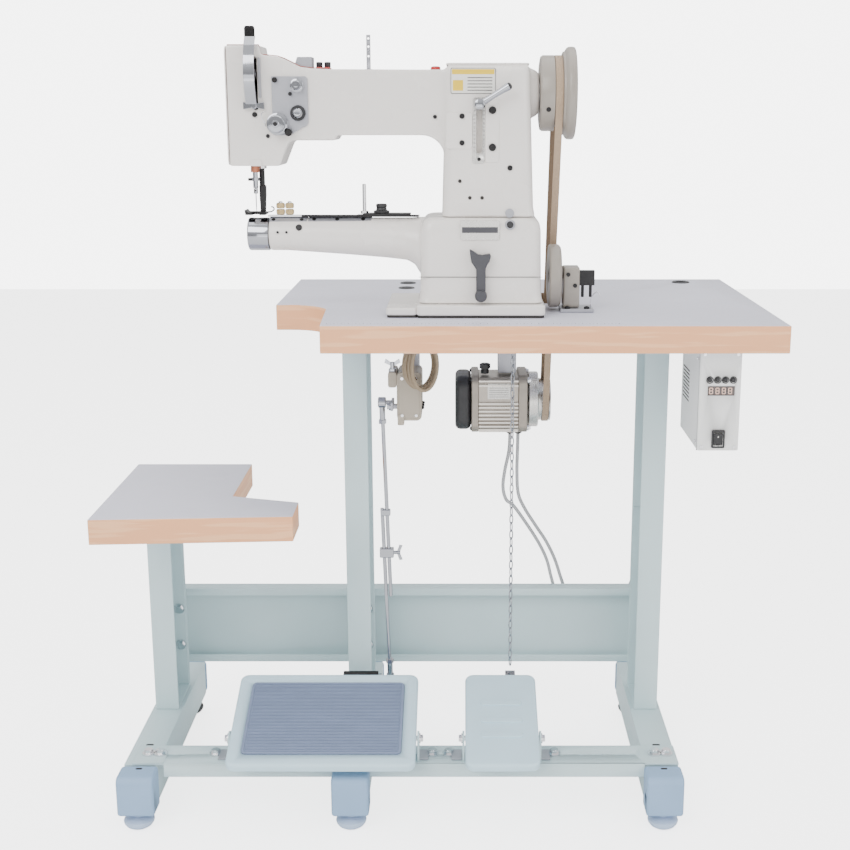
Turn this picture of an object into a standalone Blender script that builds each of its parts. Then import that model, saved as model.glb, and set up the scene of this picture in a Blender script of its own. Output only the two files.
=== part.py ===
"""Cylinder-arm sewing machine on a treadle stand, with a side table, a motor and a control box.

Metres, +Z up. The origin is on the floor, at the centre of the overall box. +X runs from the
needle end to the handwheel, and -Y is the side where the operator sits.
"""

import math

import bmesh
import bpy
from mathutils import Matrix, Vector

CLEAR = 0.0003          # gap between pieces that touch
RUNNING = 0.0005        # radial clearance of a shaft in its bore
MERGE = 0.00001         # weld distance
ROUND_SIDES = 24
SMALL_SIDES = 12

# Tables
TABLE_WIDTH = 0.725
TABLE_DEPTH = 0.515
TABLE_HEIGHT = 0.768
BOARD = 0.038
UNDER_TABLE = TABLE_HEIGHT - BOARD
TABLE_RIGHT = 0.492
NOTCH_WIDTH = 0.086
NOTCH_DEPTH = 0.201
NOTCH_BEND = 0.060
SLOT_FRONT, SLOT_REAR = -0.040, 0.082
SLOT_WIDTH = 0.025
CORD_HOLE_X, CORD_HOLE_Y = 0.417, 0.2125
CORD_HOLE_RADIUS = 0.011
CHAIN_HOLE_RADIUS = 0.009
CHAIN_HOLE_ROOF = 0.004
SIDE_HEIGHT = 0.480
SIDE_LEFT = -0.492
SIDE_WIDTH = 0.293
SIDE_DEPTH = 0.311
SIDE_FRONT = -0.2135
SIDE_TAB = 0.122
SIDE_NOTCH = 0.104
SIDE_SKEW = 0.017       # the right end of the front edge stands back by this much
SIDE_STEP = 0.072

# Stand
POST_X = {"left": -0.441, "middle": -0.121, "right": 0.349}
POST_WIDTH = 0.038
POST_DEPTH = 0.098
POST_FRONT = -0.0075
SHEET = 0.003
RAIL_WIDTH = 0.050
RAIL_TOP = 0.088
RAIL_HEIGHT = 0.060
RAIL_FRONT = -0.1965
RAIL_REAR = 0.1875
CAP_WIDTH = 0.056
CAP_BOTTOM = 0.025
CAP_FRONT = -0.2425
GLIDE_RADIUS = 0.023
STUD_RADIUS = 0.005
STUD_TOP = 0.046
FRONT_GLIDE_Y = -0.2215
REAR_GLIDE_Y = 0.166
BEAM_BOTTOM = 0.130
BEAM_TOP = 0.263
BEAM_DEPTH = 0.026
BEAM_LIP = 0.013
BAR_FRONT = -0.1996
BAR_REAR = -0.1415
BAR_DROP = 0.020
SLOT_HALF = 0.004

# Treadle and pedal
PIVOT_Y = -0.1825
PIVOT_Z = 0.124
TILT = math.radians(20.1)
PLATE_FRONT = 0.069     # pivot to the front edge, along the slope
PLATE_REAR = 0.122      # pivot to the rear edge, along the slope
PLATE_THICK = 0.016
TREADLE_LEFT, TREADLE_RIGHT = -0.304, -0.023
PEDAL_LEFT, PEDAL_RIGHT = 0.051, 0.162
MAT_MARGIN = 0.021
MAT_DEPTH = 0.002
MAT_RISE = 0.002
PIN_RADIUS = 0.004
EAR_THICK = 0.003
LINK_Y = -0.053         # pitman and chain line, behind the plates
LINK_Z = 0.165
PITMAN_X = -0.069
CHAIN_X = 0.123
CHAIN_LINK = 0.004
ROD_RADIUS = 0.003

# Drive under the table
CONTROLLER_LOW = (-0.051, -0.1075, UNDER_TABLE - 0.129)
CONTROLLER_HIGH = (-0.014, -0.0425, UNDER_TABLE - 0.055)
SIDE_UNIT_WIDTH = 0.013
SIDE_UNIT_LOW = UNDER_TABLE - 0.079
LEVER_PIVOT = (-0.0585, -0.1000, UNDER_TABLE - 0.108)
LEVER_BALL = (-0.0750, -0.0725, UNDER_TABLE - 0.108)
LEVER_HALF = 0.0062
BALL_HALF = 0.006
BALL_RADIUS = 0.008
MOTOR_SIZE = 0.094
MOTOR_LEFT, MOTOR_RIGHT = 0.061, 0.151
MOTOR_Y, MOTOR_Z = 0.0825, UNDER_TABLE - 0.136
MOTOR_COVER = 0.026
FIN_PITCH = 0.008
FIN_GAP = 0.003
MOTOR_BORE = 0.030
PULLEY_OFFSET = 0.002
FLANGE_THICK = 0.016
FLANGE_RADIUS = 0.045
SHAFT_RADIUS = 0.006
BOX_LOW = (0.376, -0.2275, UNDER_TABLE - 0.144)
BOX_HIGH = (0.434, -0.0795, UNDER_TABLE - CLEAR)
BUTTON_X = (0.3902, 0.4010, 0.4118, 0.4226)
BUTTON_Z = UNDER_TABLE - 0.0424
BUTTON_RADIUS = 0.003
ROCKER_X, ROCKER_Z = 0.405, UNDER_TABLE - 0.1267
ROCKER_WIDTH = 0.0126
ROCKER_HEIGHT = 0.0164

# Sewing head, from its own datum at the middle of the pedestal, on the table top
HEAD_X = 0.0725
HEAD_Y = -0.1075
PLINTH_WIDTH = 0.181
PLINTH_DEPTH = 0.166
PLINTH_HEIGHT = 0.018
EXTENSION_WIDTH = 0.043
EXTENSION_HEIGHT = 0.014
PEDESTAL_WIDTH = 0.171
PEDESTAL_DEPTH = 0.130
BED_TOP = 0.134         # top of the cylinder arm above the table
PEDESTAL_TOP = 0.138
CYLINDER = 0.047        # diameter of the cylinder arm's free end
CYLINDER_LEFT = -0.3335
CAP_LENGTH = 0.030
PILLAR_LEFT, PILLAR_RIGHT = -0.0535, 0.0725
PILLAR_DEPTH = 0.104
ARM_DEPTH = 0.080
ARM_TOP = 0.338
ARM_BOTTOM = 0.250
SHAFT_Z = 0.307
HEAD_LEFT = -0.3595
HEAD_BOTTOM = 0.208
HEAD_TOP = 0.371
COVER = 0.002
CAVITY_RIGHT = -0.304
BOSS_RIGHT = 0.0815
TENSION_PLATE = 0.003
PLATE_GAP = TENSION_PLATE + 3 * CLEAR
NEEDLE_X, NEEDLE_Y = -0.321, -0.004
NEEDLE_BAR_RADIUS = 0.0036
NEEDLE_BAR_BOTTOM, NEEDLE_BAR_TOP = 0.176, 0.325
NEEDLE_TIP = 0.142
PRESSER_X, PRESSER_Y = -0.3135, 0.010
PRESSER_RADIUS = 0.004
PRESSER_TOP = 0.340
TAKEUP_X = -0.3115
HOOK_RADIUS = 0.018
HOOK_WIDTH = 0.018
CAP_WALL = 0.0025
GUIDE_RISE = 0.0011     # the guide strip lies this much above the cylinder arm's top line
GUIDE_STRIP = 0.0028
DRUM_RADIUS = 0.052
WHEEL_RADIUS = 0.0635
WHEEL_LEFT = 0.0845
WHEEL_RIGHT = 0.1365
BELT_X = 0.108
BELT_WIDTH = 0.010
BELT_THICK = 0.006
BELT_TOP_RADIUS = 0.049
BELT_LOW_RADIUS = 0.033
GROOVE = 0.011
BELT_STEPS = 14         # facets of the belt round each pulley
STITCH_X = -0.0025
STITCH_TOP = 0.292
STITCH_TRAVEL = 0.060
REVERSE_X, REVERSE_Z = 0.003, 0.079
REVERSE_KNOB_Z = 0.030
WINDER_RADIUS = 0.0455
WINDER_GAP = 0.003
WINDER_HEIGHT = 0.050   # its axle above the table
WINDER_AXLE = 0.004
WINDER_LEFT = 0.171
WINDER_RIGHT = 0.189

# Cords
MOTOR_CORD = 0.0058
MOTOR_CORD_A = [
    (0.1250, 0.0825, 0.5440), (0.1235, 0.0825, 0.5080), (0.1170, 0.0825, 0.4740), (0.1140, 0.0830, 0.4450),
    (0.1195, 0.0860, 0.4220), (0.1330, 0.0930, 0.4080), (0.1600, 0.1130, 0.3640), (0.1790, 0.1240, 0.3300),
    (0.1920, 0.1280, 0.3000), (0.2010, 0.1270, 0.2650), (0.2150, 0.1250, 0.2250), (0.2500, 0.1240, 0.2000),
    (0.3050, 0.1240, 0.2150), (0.3380, 0.1200, 0.2700), (0.3440, 0.1100, 0.3500), (0.3450, 0.1030, 0.4400),
    (0.3450, 0.1000, 0.5400), (0.3500, 0.1000, 0.6200), (0.3660, 0.0990, 0.6800), (0.3850, 0.0850, 0.7080),
    (0.3920, 0.0300, 0.7120), (0.3920, -0.0300, 0.7060), (0.3920, -0.0660, 0.7000), (0.3920, -0.0790, 0.7000),
]
MOTOR_CORD_B = [
    (0.1380, 0.0825, 0.5440), (0.1375, 0.0835, 0.5100), (0.1370, 0.0860, 0.4700), (0.1400, 0.0930, 0.4300),
    (0.1520, 0.1040, 0.4000), (0.1720, 0.1180, 0.3650), (0.1900, 0.1270, 0.3350), (0.2060, 0.1330, 0.3000),
    (0.2190, 0.1350, 0.2600), (0.2350, 0.1350, 0.2200), (0.2650, 0.1350, 0.1980), (0.3150, 0.1350, 0.2080),
    (0.3480, 0.1280, 0.2600), (0.3560, 0.1140, 0.3500), (0.3570, 0.1060, 0.4400), (0.3570, 0.1030, 0.5400),
    (0.3620, 0.1045, 0.6100), (0.3790, 0.1030, 0.6650), (0.4000, 0.0850, 0.6950), (0.4090, 0.0300, 0.7000),
    (0.4110, -0.0300, 0.6960), (0.4120, -0.0660, 0.6900), (0.4120, -0.0790, 0.6900),
]
SIGNAL_CORD = 0.0055
COIL_CENTRE = (-0.0140, -0.1240, 0.6930)
COIL_RADIUS = 0.0270    # middle of the turns
COIL_HALF_WIDTH = 0.0088
COIL_HALF_THICK = 0.0065
COIL_LEAN = math.radians(28)
CORD_SPACING = 2.4      # cord points, in cord diameters
SIGNAL_CORD_ROUTE = [
    (0.0160, -0.1180, 0.7160), (0.0300, -0.1100, 0.7240), (0.0650, -0.1000, 0.7260),
    (0.1200, -0.0960, 0.7262), (0.1900, -0.0980, 0.7262), (0.2600, -0.1000, 0.7262),
    (0.3200, -0.0900, 0.7262), (0.3600, -0.0640, 0.7230),
    (0.3850, -0.0520, 0.7120), (0.4000, -0.0620, 0.7080), (0.4020, -0.0790, 0.7080),
]

PALETTE = {             # colour, roughness, metallic
    "enamel": ((0.80, 0.77, 0.74), 0.30, 0.0),
    "wheel_grey": ((0.42, 0.39, 0.35), 0.35, 0.0),
    "belt_tan": ((0.50, 0.38, 0.28), 0.80, 0.0),
    "laminate": ((0.55, 0.55, 0.60), 0.45, 0.0),
    "stand_paint": ((0.58, 0.70, 0.72), 0.40, 0.0),
    "cap_plastic": ((0.30, 0.44, 0.60), 0.50, 0.0),
    "treadle_paint": ((0.58, 0.75, 0.84), 0.40, 0.0),
    "mat_rubber": ((0.24, 0.30, 0.45), 0.80, 0.0),
    "panel_white": ((0.86, 0.86, 0.85), 0.45, 0.0),
    "motor_alloy": ((0.62, 0.60, 0.57), 0.35, 0.9),
    "black_plastic": ((0.03, 0.03, 0.03), 0.45, 0.0),
    "dark_lever": ((0.10, 0.10, 0.11), 0.50, 0.0),
    "steel": ((0.70, 0.70, 0.72), 0.22, 1.0),
    "controller_grey": ((0.52, 0.48, 0.43), 0.45, 0.0),
    "cable_taupe": ((0.42, 0.36, 0.28), 0.60, 0.0),
}


# ---------------------------------------------------------------- helpers

def clear_scene():
    for obj in list(bpy.data.objects):
        bpy.data.objects.remove(obj, do_unlink=True)


def new_collection(name):
    collection = bpy.data.collections.new(name)
    bpy.context.scene.collection.children.link(collection)
    return collection


def material(name):
    found = bpy.data.materials.get(name)
    if found:
        return found
    colour, roughness, metallic = PALETTE[name]
    made = bpy.data.materials.new(name)
    made.use_nodes = True
    shader = made.node_tree.nodes["Principled BSDF"]
    shader.inputs["Base Color"].default_value = (*colour, 1.0)
    shader.inputs["Roughness"].default_value = roughness
    shader.inputs["Metallic"].default_value = metallic
    return made


def add_object(name, data, finish):
    obj = bpy.data.objects.new(name, data)
    PARTS.objects.link(obj)
    obj.data.materials.clear()
    obj.data.materials.append(material(finish))
    return obj


def from_bmesh(name, bm, finish):
    bmesh.ops.recalc_face_normals(bm, faces=bm.faces)
    mesh = bpy.data.meshes.new(name)
    bm.to_mesh(mesh)
    bm.free()
    mesh.shade_smooth()
    mesh.set_sharp_from_angle(angle=math.radians(35))
    return add_object(name, mesh, finish)


def baked(obj):
    """The object with its modifiers or curve turned into one plain, welded mesh in world space."""
    graph = bpy.context.evaluated_depsgraph_get()
    mesh = bpy.data.meshes.new_from_object(obj.evaluated_get(graph), depsgraph=graph)
    bm = bmesh.new()
    bm.from_mesh(mesh)
    bmesh.ops.transform(bm, matrix=obj.matrix_world, verts=bm.verts)
    bmesh.ops.remove_doubles(bm, verts=bm.verts, dist=MERGE)
    name, finish = obj.name, obj.data.materials[0].name
    bpy.data.objects.remove(obj, do_unlink=True)
    bpy.data.meshes.remove(mesh)
    return from_bmesh(name, bm, finish)


def block(name, low, high, finish, bevel=0.0, segments=2):
    """A box between two corners, its edges rounded where bevel is given."""
    size = Vector(high) - Vector(low)
    bm = bmesh.new()
    bmesh.ops.create_cube(bm, size=1.0)
    bmesh.ops.scale(bm, vec=size, verts=bm.verts)
    bmesh.ops.translate(bm, vec=(Vector(high) + Vector(low)) / 2, verts=bm.verts)
    obj = from_bmesh(name, bm, finish)
    if bevel:
        rounding = obj.modifiers.new("rounding", "BEVEL")
        rounding.width = bevel
        rounding.segments = segments
        obj = baked(obj)
    return obj


def turned(name, profile, start, direction, finish, sides=ROUND_SIDES):
    """A profile of (radius, distance) spun about an axis that leaves start along direction."""
    mesh = bpy.data.meshes.new(name)
    points = [(radius, 0.0, along) for radius, along in reversed(profile)]
    mesh.from_pydata(points, [(i, i + 1) for i in range(len(points) - 1)], [])
    obj = add_object(name, mesh, finish)
    screw = obj.modifiers.new("turning", "SCREW")
    screw.steps = screw.render_steps = sides
    screw.use_merge_vertices = True
    screw.merge_threshold = MERGE
    turn = Vector((0, 0, 1)).rotation_difference(Vector(direction).normalized())
    obj.matrix_world = Matrix.Translation(start) @ turn.to_matrix().to_4x4()
    bpy.context.view_layer.update()
    return baked(obj)


def rod(name, start, end, radius, finish, sides=SMALL_SIDES):
    length = (Vector(end) - Vector(start)).length
    profile = [(0.0, 0.0), (radius, 0.0), (radius, length), (0.0, length)]
    return turned(name, profile, start, Vector(end) - Vector(start), finish, sides)


AXIS_FRAMES = {         # outline plane, as the directions of its first axis, second axis and depth
    "x": ((0, 1, 0), (0, 0, 1), (1, 0, 0)),
    "y": ((1, 0, 0), (0, 0, 1), (0, 1, 0)),
    "z": ((1, 0, 0), (0, 1, 0), (0, 0, 1)),
}


def prism(name, outline, low, high, axis, finish, bevel=0.0, segments=2):
    """A flat outline drawn across an axis and carried from low to high along it."""
    curve = bpy.data.curves.new(name, "CURVE")
    curve.dimensions = "2D"
    curve.fill_mode = "BOTH"
    curve.extrude = (high - low) / 2
    spline = curve.splines.new("POLY")
    spline.points.add(len(outline) - 1)
    for point, (u, v) in zip(spline.points, outline):
        point.co = (u, v, 0.0, 1.0)
    spline.use_cyclic_u = True
    obj = add_object(name, curve, finish)
    first, second, depth = (Vector(direction) for direction in AXIS_FRAMES[axis])
    turn = Matrix((first, second, depth)).transposed().to_4x4()
    obj.matrix_world = Matrix.Translation(depth * (high + low) / 2) @ turn
    bpy.context.view_layer.update()
    obj = baked(obj)
    if bevel:
        rounding = obj.modifiers.new("rounding", "BEVEL")
        rounding.width = bevel
        rounding.segments = segments
        obj = baked(obj)
    return obj


def arc(centre, radius, start, end, steps):
    """Points on a circle, from one angle in degrees to another."""
    angles = [math.radians(start + (end - start) * i / steps) for i in range(steps + 1)]
    return [(centre[0] + radius * math.cos(a), centre[1] + radius * math.sin(a)) for a in angles]


def ring_body(name, rings, finish, closed=False):
    """Skin through rings of points. An open run gets a flat cap at each end."""
    bm = bmesh.new()
    made = [[bm.verts.new(point) for point in ring] for ring in rings]
    pairs = list(zip(made, made[1:]))
    if closed:
        pairs.append((made[-1], made[0]))
    for near, far in pairs:
        for i in range(len(near)):
            j = (i + 1) % len(near)
            bm.faces.new((near[i], near[j], far[j], far[i]))
    if not closed:
        bm.faces.new(made[0])
        bm.faces.new(made[-1])
    return from_bmesh(name, bm, finish)


def tube(name, points, diameter, finish):
    curve = bpy.data.curves.new(name, "CURVE")
    curve.dimensions = "3D"
    curve.bevel_depth = diameter / 2
    curve.bevel_resolution = 2
    curve.use_fill_caps = True
    spline = curve.splines.new("POLY")
    spline.points.add(len(points) - 1)
    for point, place in zip(spline.points, points):
        point.co = (*place, 1.0)
    return baked(add_object(name, curve, finish))


def smooth_route(points, spacing):
    """Points at an even spacing along a smooth curve through the route."""
    route = [Vector(point) for point in points]
    ends = [2 * route[0] - route[1], *route, 2 * route[-1] - route[-2]]
    fine = []
    for a, b, c, d in zip(ends, ends[1:], ends[2:], ends[3:]):
        for step in range(24):
            t = step / 24
            bend = (2 * a - 5 * b + 4 * c - d) + t * (3 * (b - c) + d - a)
            fine.append(b + 0.5 * t * ((c - a) + t * bend))
    fine.append(ends[-2])
    total = sum((q - p).length for p, q in zip(fine, fine[1:]))
    gap = total / round(total / spacing)
    kept, walked = [fine[0]], 0.0
    for p, q in zip(fine, fine[1:]):
        walked += (q - p).length
        if walked >= gap - 1e-9:
            kept.append(q)
            walked -= gap
    kept[-1] = fine[-1]
    return kept


def combine(target, tool, operation):
    """Adds a Boolean to the target and puts its tool among the cutters."""
    cut = target.modifiers.new(operation.lower(), "BOOLEAN")
    cut.operation = operation
    cut.object = tool
    PARTS.objects.unlink(tool)
    CUTTERS.objects.link(tool)
    tool.hide_render = True
    tool.display_type = "WIRE"


def join(target, *tools):
    for tool in tools:
        combine(target, tool, "UNION")
    return target


def cut(target, *tools):
    for tool in tools:
        combine(target, tool, "DIFFERENCE")
    return target


def pivot(obj, point):
    """Moves the object's origin to a point and leaves its shape where it is."""
    shift = Vector(point) - obj.location
    obj.data.transform(Matrix.Translation(-shift))
    obj.location += shift
    return obj


def head(x, y, z):
    """A point of the sewing head, from its datum, as a world position."""
    return Vector((HEAD_X + x, HEAD_Y + y, TABLE_HEIGHT + z))


def head_block(name, low, high, finish, bevel=0.0):
    return block(name, head(*low), head(*high), finish, bevel)


def head_outline(points):
    return [(HEAD_X + u, TABLE_HEIGHT + v) for u, v in points]


# ---------------------------------------------------------------- tables

def table_top():
    """The main board: its front left corner is cut back round the cylinder arm."""
    left, right = TABLE_RIGHT - TABLE_WIDTH, TABLE_RIGHT
    front, rear = -TABLE_DEPTH / 2, TABLE_DEPTH / 2
    inner = left + NOTCH_WIDTH
    corner = left + NOTCH_WIDTH - NOTCH_BEND - 0.004
    outline = [(left, front + NOTCH_DEPTH), (corner, front + NOTCH_DEPTH)]
    outline += arc((corner, front + NOTCH_DEPTH - NOTCH_BEND), NOTCH_BEND, 78, 18, 5)
    outline += [(inner, front), (right, front), (right, rear), (left, rear)]
    board = prism("table_top", outline, UNDER_TABLE, TABLE_HEIGHT, "z", "laminate")
    top, under = TABLE_HEIGHT + 0.01, UNDER_TABLE - 0.01
    belt_x = HEAD_X + BELT_X
    slot_low = (belt_x - SLOT_WIDTH / 2, SLOT_FRONT, under)
    slot = block("belt_slot", slot_low, (belt_x + SLOT_WIDTH / 2, SLOT_REAR, top), "laminate")
    hole_foot, hole_top = (CORD_HOLE_X, CORD_HOLE_Y, under), (CORD_HOLE_X, CORD_HOLE_Y, top)
    cord_hole = rod("cord_hole", hole_foot, hole_top, CORD_HOLE_RADIUS, "laminate")
    roof = (CHAIN_X, LINK_Y, TABLE_HEIGHT - CHAIN_HOLE_ROOF)
    chain_hole = rod("chain_hole", (CHAIN_X, LINK_Y, under), roof, CHAIN_HOLE_RADIUS, "laminate")
    return cut(board, slot, cord_hole, chain_hole)


def side_table():
    left, right = SIDE_LEFT, SIDE_LEFT + SIDE_WIDTH
    front, rear = SIDE_FRONT, SIDE_FRONT + SIDE_DEPTH
    inner = right - SIDE_NOTCH
    outline = [
        (left, front), (right, front + SIDE_SKEW), (right, front + SIDE_SKEW + SIDE_STEP),
        (inner, front + SIDE_TAB), (inner, rear), (left, rear),
    ]
    return prism("side_table", outline, SIDE_HEIGHT - BOARD, SIDE_HEIGHT, "z", "laminate")


# ---------------------------------------------------------------- stand

def foot_rail(side):
    """A folded channel, open below, with a solid rear block for its levelling foot."""
    x = POST_X[side]
    half = RAIL_WIDTH / 2
    bottom = RAIL_TOP - RAIL_HEIGHT
    low, high = (x - half, RAIL_FRONT, bottom), (x + half, RAIL_REAR, RAIL_TOP)
    rail = block(f"foot_rail_{side}", low, high, "stand_paint")
    hollow = block(
        "rail_hollow", (x - half + SHEET, RAIL_FRONT + SHEET, bottom - 0.01),
        (x + half - SHEET, REAR_GLIDE_Y - 0.0175, RAIL_TOP - SHEET), "stand_paint",
    )
    return cut(rail, hollow, stud_hole(x, REAR_GLIDE_Y, bottom))


def stud_hole(x, y, bottom):
    low, high = (x, y, bottom - 0.01), (x, y, STUD_TOP + 0.004)
    return rod("stud_hole", low, high, STUD_RADIUS + RUNNING, "cap_plastic")


def front_cap(side):
    x = POST_X[side]
    half = CAP_WIDTH / 2
    low = (x - half, CAP_FRONT, CAP_BOTTOM)
    high = (x + half, BAR_FRONT - CLEAR, RAIL_TOP)
    cap = block(f"front_cap_{side}", low, high, "cap_plastic", bevel=0.005)
    return cut(cap, stud_hole(x, FRONT_GLIDE_Y, CAP_BOTTOM))


def levelling_foot(name, x, y):
    """A tapered pad under a stud that screws up into the rail or its cap."""
    profile = [
        (0.0, 0.0), (GLIDE_RADIUS - 0.008, 0.0), (GLIDE_RADIUS, 0.008), (GLIDE_RADIUS, 0.012),
        (GLIDE_RADIUS - 0.007, 0.018), (STUD_RADIUS, 0.020), (STUD_RADIUS, STUD_TOP), (0.0, STUD_TOP),
    ]
    foot = turned(name, profile, (x, y, 0.0), (0, 0, 1), "cap_plastic")
    return pivot(foot, (x, y, STUD_TOP))


def post(side, top, opening):
    """An upright channel whose open side faces along X by the sign of opening."""
    x = POST_X[side]
    half = POST_WIDTH / 2
    rear = POST_FRONT + POST_DEPTH
    low, high = RAIL_TOP + CLEAR, top - CLEAR
    upright = block(f"post_{side}", (x - half, POST_FRONT, low), (x + half, rear, high), "stand_paint")
    inner_low = x - half + SHEET if opening > 0 else x - half - 0.01
    inner_high = x + half + 0.01 if opening > 0 else x + half - SHEET
    hollow = block(
        "post_hollow", (inner_low, POST_FRONT + SHEET, low + SHEET),
        (inner_high, rear - SHEET, high - SHEET), "stand_paint",
    )
    return cut(upright, hollow)


def cross_beam():
    """A lipped channel behind the three posts, open to the front."""
    near = POST_FRONT + POST_DEPTH + CLEAR
    far = near + BEAM_DEPTH
    low, high = BEAM_BOTTOM, BEAM_TOP
    outline = [
        (near, low), (far, low), (far, high), (near, high), (near, high - BEAM_LIP),
        (near + SHEET, high - BEAM_LIP), (near + SHEET, high - SHEET), (far - SHEET, high - SHEET),
        (far - SHEET, low + SHEET), (near + SHEET, low + SHEET), (near + SHEET, low + BEAM_LIP),
        (near, low + BEAM_LIP),
    ]
    left = POST_X["left"] - POST_WIDTH / 2
    right = POST_X["right"] + POST_WIDTH / 2
    return prism("cross_beam", outline, left, right, "x", "stand_paint")


def ear(x):
    """An upright plate on the bar that holds one end of a pivot."""
    base = RAIL_TOP + CLEAR
    half = 0.011
    plate = block(
        "ear", (x - EAR_THICK / 2, PIVOT_Y - half, base + 0.001),
        (x + EAR_THICK / 2, PIVOT_Y + half, PIVOT_Z + 0.010), "stand_paint",
    )
    start, end = (x - 0.01, PIVOT_Y, PIVOT_Z), (x + 0.01, PIVOT_Y, PIVOT_Z)
    return cut(plate, rod("ear_hole", start, end, PIN_RADIUS + RUNNING, "steel"))


def ear_places():
    gap = CLEAR + EAR_THICK / 2 + 0.001
    return (TREADLE_LEFT - gap, TREADLE_RIGHT + gap, PEDAL_LEFT - gap, PEDAL_RIGHT + gap)


def treadle_bar():
    """The front angle that carries both pedals, bolted on the rails, with four pivot ears."""
    left = POST_X["left"] - RAIL_WIDTH / 4
    right = POST_X["right"] + RAIL_WIDTH / 2
    base = RAIL_TOP + CLEAR
    bar = block("treadle_bar", (left, BAR_FRONT, base), (right, BAR_REAR, base + SHEET), "stand_paint")
    lip_left = POST_X["left"] + RAIL_WIDTH / 2 + 0.010
    lip_right = POST_X["right"] - RAIL_WIDTH / 2 - 0.002
    lip = block(
        "bar_lip", (lip_left, BAR_FRONT, base - BAR_DROP),
        (lip_right, BAR_FRONT + SHEET - CLEAR, base + SHEET), "stand_paint",
    )
    bar = join(bar, lip, *[ear(x) for x in ear_places()])
    y = (BAR_FRONT + BAR_REAR) / 2
    slots = [(left + 0.030, left + 0.072), (right - 0.150, right - 0.110), (right - 0.098, right - 0.062)]
    for near, far in slots:
        low, high = (near, y - SLOT_HALF, base - 0.01), (far, y + SLOT_HALF, base + 0.01)
        bar = cut(bar, block("bar_slot", low, high, "steel"))
    return bar


# ---------------------------------------------------------------- treadle and pedal

def link_on_slope():
    """The pitman and chain line as a distance up the slope from the pivot, and above the plane."""
    dy, dz = LINK_Y - PIVOT_Y, LINK_Z - PIVOT_Z
    return dy * math.cos(TILT) + dz * math.sin(TILT), dz * math.cos(TILT) - dy * math.sin(TILT)


def tilted(obj):
    """Sets a piece that was built flat about the pivot onto the pedal slope."""
    obj = baked(obj)
    obj.location = (0, PIVOT_Y, PIVOT_Z)
    obj.rotation_euler = (TILT, 0, 0)
    return obj


def pedal_body(name, left, right):
    """A pressed plate with a hollow underside and a pin at each side, flat about its pivot."""
    wall = 0.004
    plate = block(name, (left, -PLATE_FRONT, 0.0), (right, PLATE_REAR, PLATE_THICK), "treadle_paint", 0.005)
    hollow = block(
        "pedal_hollow", (left + wall, -PLATE_FRONT + wall, -0.01),
        (right - wall, PLATE_REAR - wall, PLATE_THICK - 0.006), "treadle_paint",
    )
    plate = cut(plate, hollow)
    reach = 2 * CLEAR + EAR_THICK + 0.002
    pins = [
        rod("pedal_pin", (inner, 0, 0), (outer, 0, 0), PIN_RADIUS, "steel")
        for inner, outer in ((left + 0.012, left - reach), (right - 0.012, right + reach))
    ]
    return join(plate, *pins)


def treadle():
    """The wide treadle, with a tray for its mat and a stud for the pitman rod."""
    body = pedal_body("treadle", TREADLE_LEFT, TREADLE_RIGHT)
    tray = block(
        "mat_tray",
        (TREADLE_LEFT + MAT_MARGIN, -PLATE_FRONT + MAT_MARGIN, PLATE_THICK - MAT_DEPTH),
        (TREADLE_RIGHT - MAT_MARGIN, PLATE_REAR - MAT_MARGIN, PLATE_THICK + 0.01),
        "treadle_paint",
    )
    body = cut(body, tray)
    along, above = link_on_slope()
    bracket = block(
        "stud_bracket", (PITMAN_X - 0.075, PLATE_REAR - 0.006, 0.0015),
        (PITMAN_X - 0.019, along + 0.005, 0.0045), "steel",
    )
    lug = block(
        "stud_lug", (PITMAN_X - 0.026, along - 0.006, above - 0.008),
        (PITMAN_X - 0.019, along + 0.006, 0.0040), "steel",
    )
    stud_start = (PITMAN_X - 0.022, along, above)
    stud_end = (PITMAN_X - BALL_HALF - CLEAR, along, above)
    stud = rod("pitman_stud", stud_start, stud_end, 0.004, "steel")
    return tilted(join(body, bracket, lug, stud))


def treadle_mat():
    gap = CLEAR + 0.0002
    inset = MAT_MARGIN + gap
    low = (TREADLE_LEFT + inset, -PLATE_FRONT + inset, PLATE_THICK - MAT_DEPTH + CLEAR)
    high = (TREADLE_RIGHT - inset, PLATE_REAR - inset, PLATE_THICK + MAT_RISE)
    return tilted(block("treadle_mat", low, high, "mat_rubber"))


def lift_pedal():
    """The narrow pedal that lifts the presser foot, with two raised ridges and a hook tab."""
    body = pedal_body("lift_pedal", PEDAL_LEFT, PEDAL_RIGHT)
    for along in (-0.012, 0.052):
        ridge = block(
            "pedal_ridge", (PEDAL_LEFT + 0.026, along, PLATE_THICK - 0.002),
            (PEDAL_RIGHT - 0.026, along + 0.012, PLATE_THICK + 0.002), "treadle_paint",
        )
        body = join(body, ridge)
    along, _ = link_on_slope()
    low, high = (CHAIN_X - 0.008, PLATE_REAR - 0.006, 0.0015), (CHAIN_X + 0.008, along + 0.006, 0.0045)
    return tilted(join(body, block("chain_tab", low, high, "steel")))


def lift_chain():
    """The envelope of the chain, from the pedal's tab up into the table."""
    low, high = (CHAIN_X, LINK_Y, LINK_Z + 0.0135), (CHAIN_X, LINK_Y, TABLE_HEIGHT - 0.005)
    return pivot(rod("lift_chain", low, high, CHAIN_LINK, "steel", 8), high)


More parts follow.
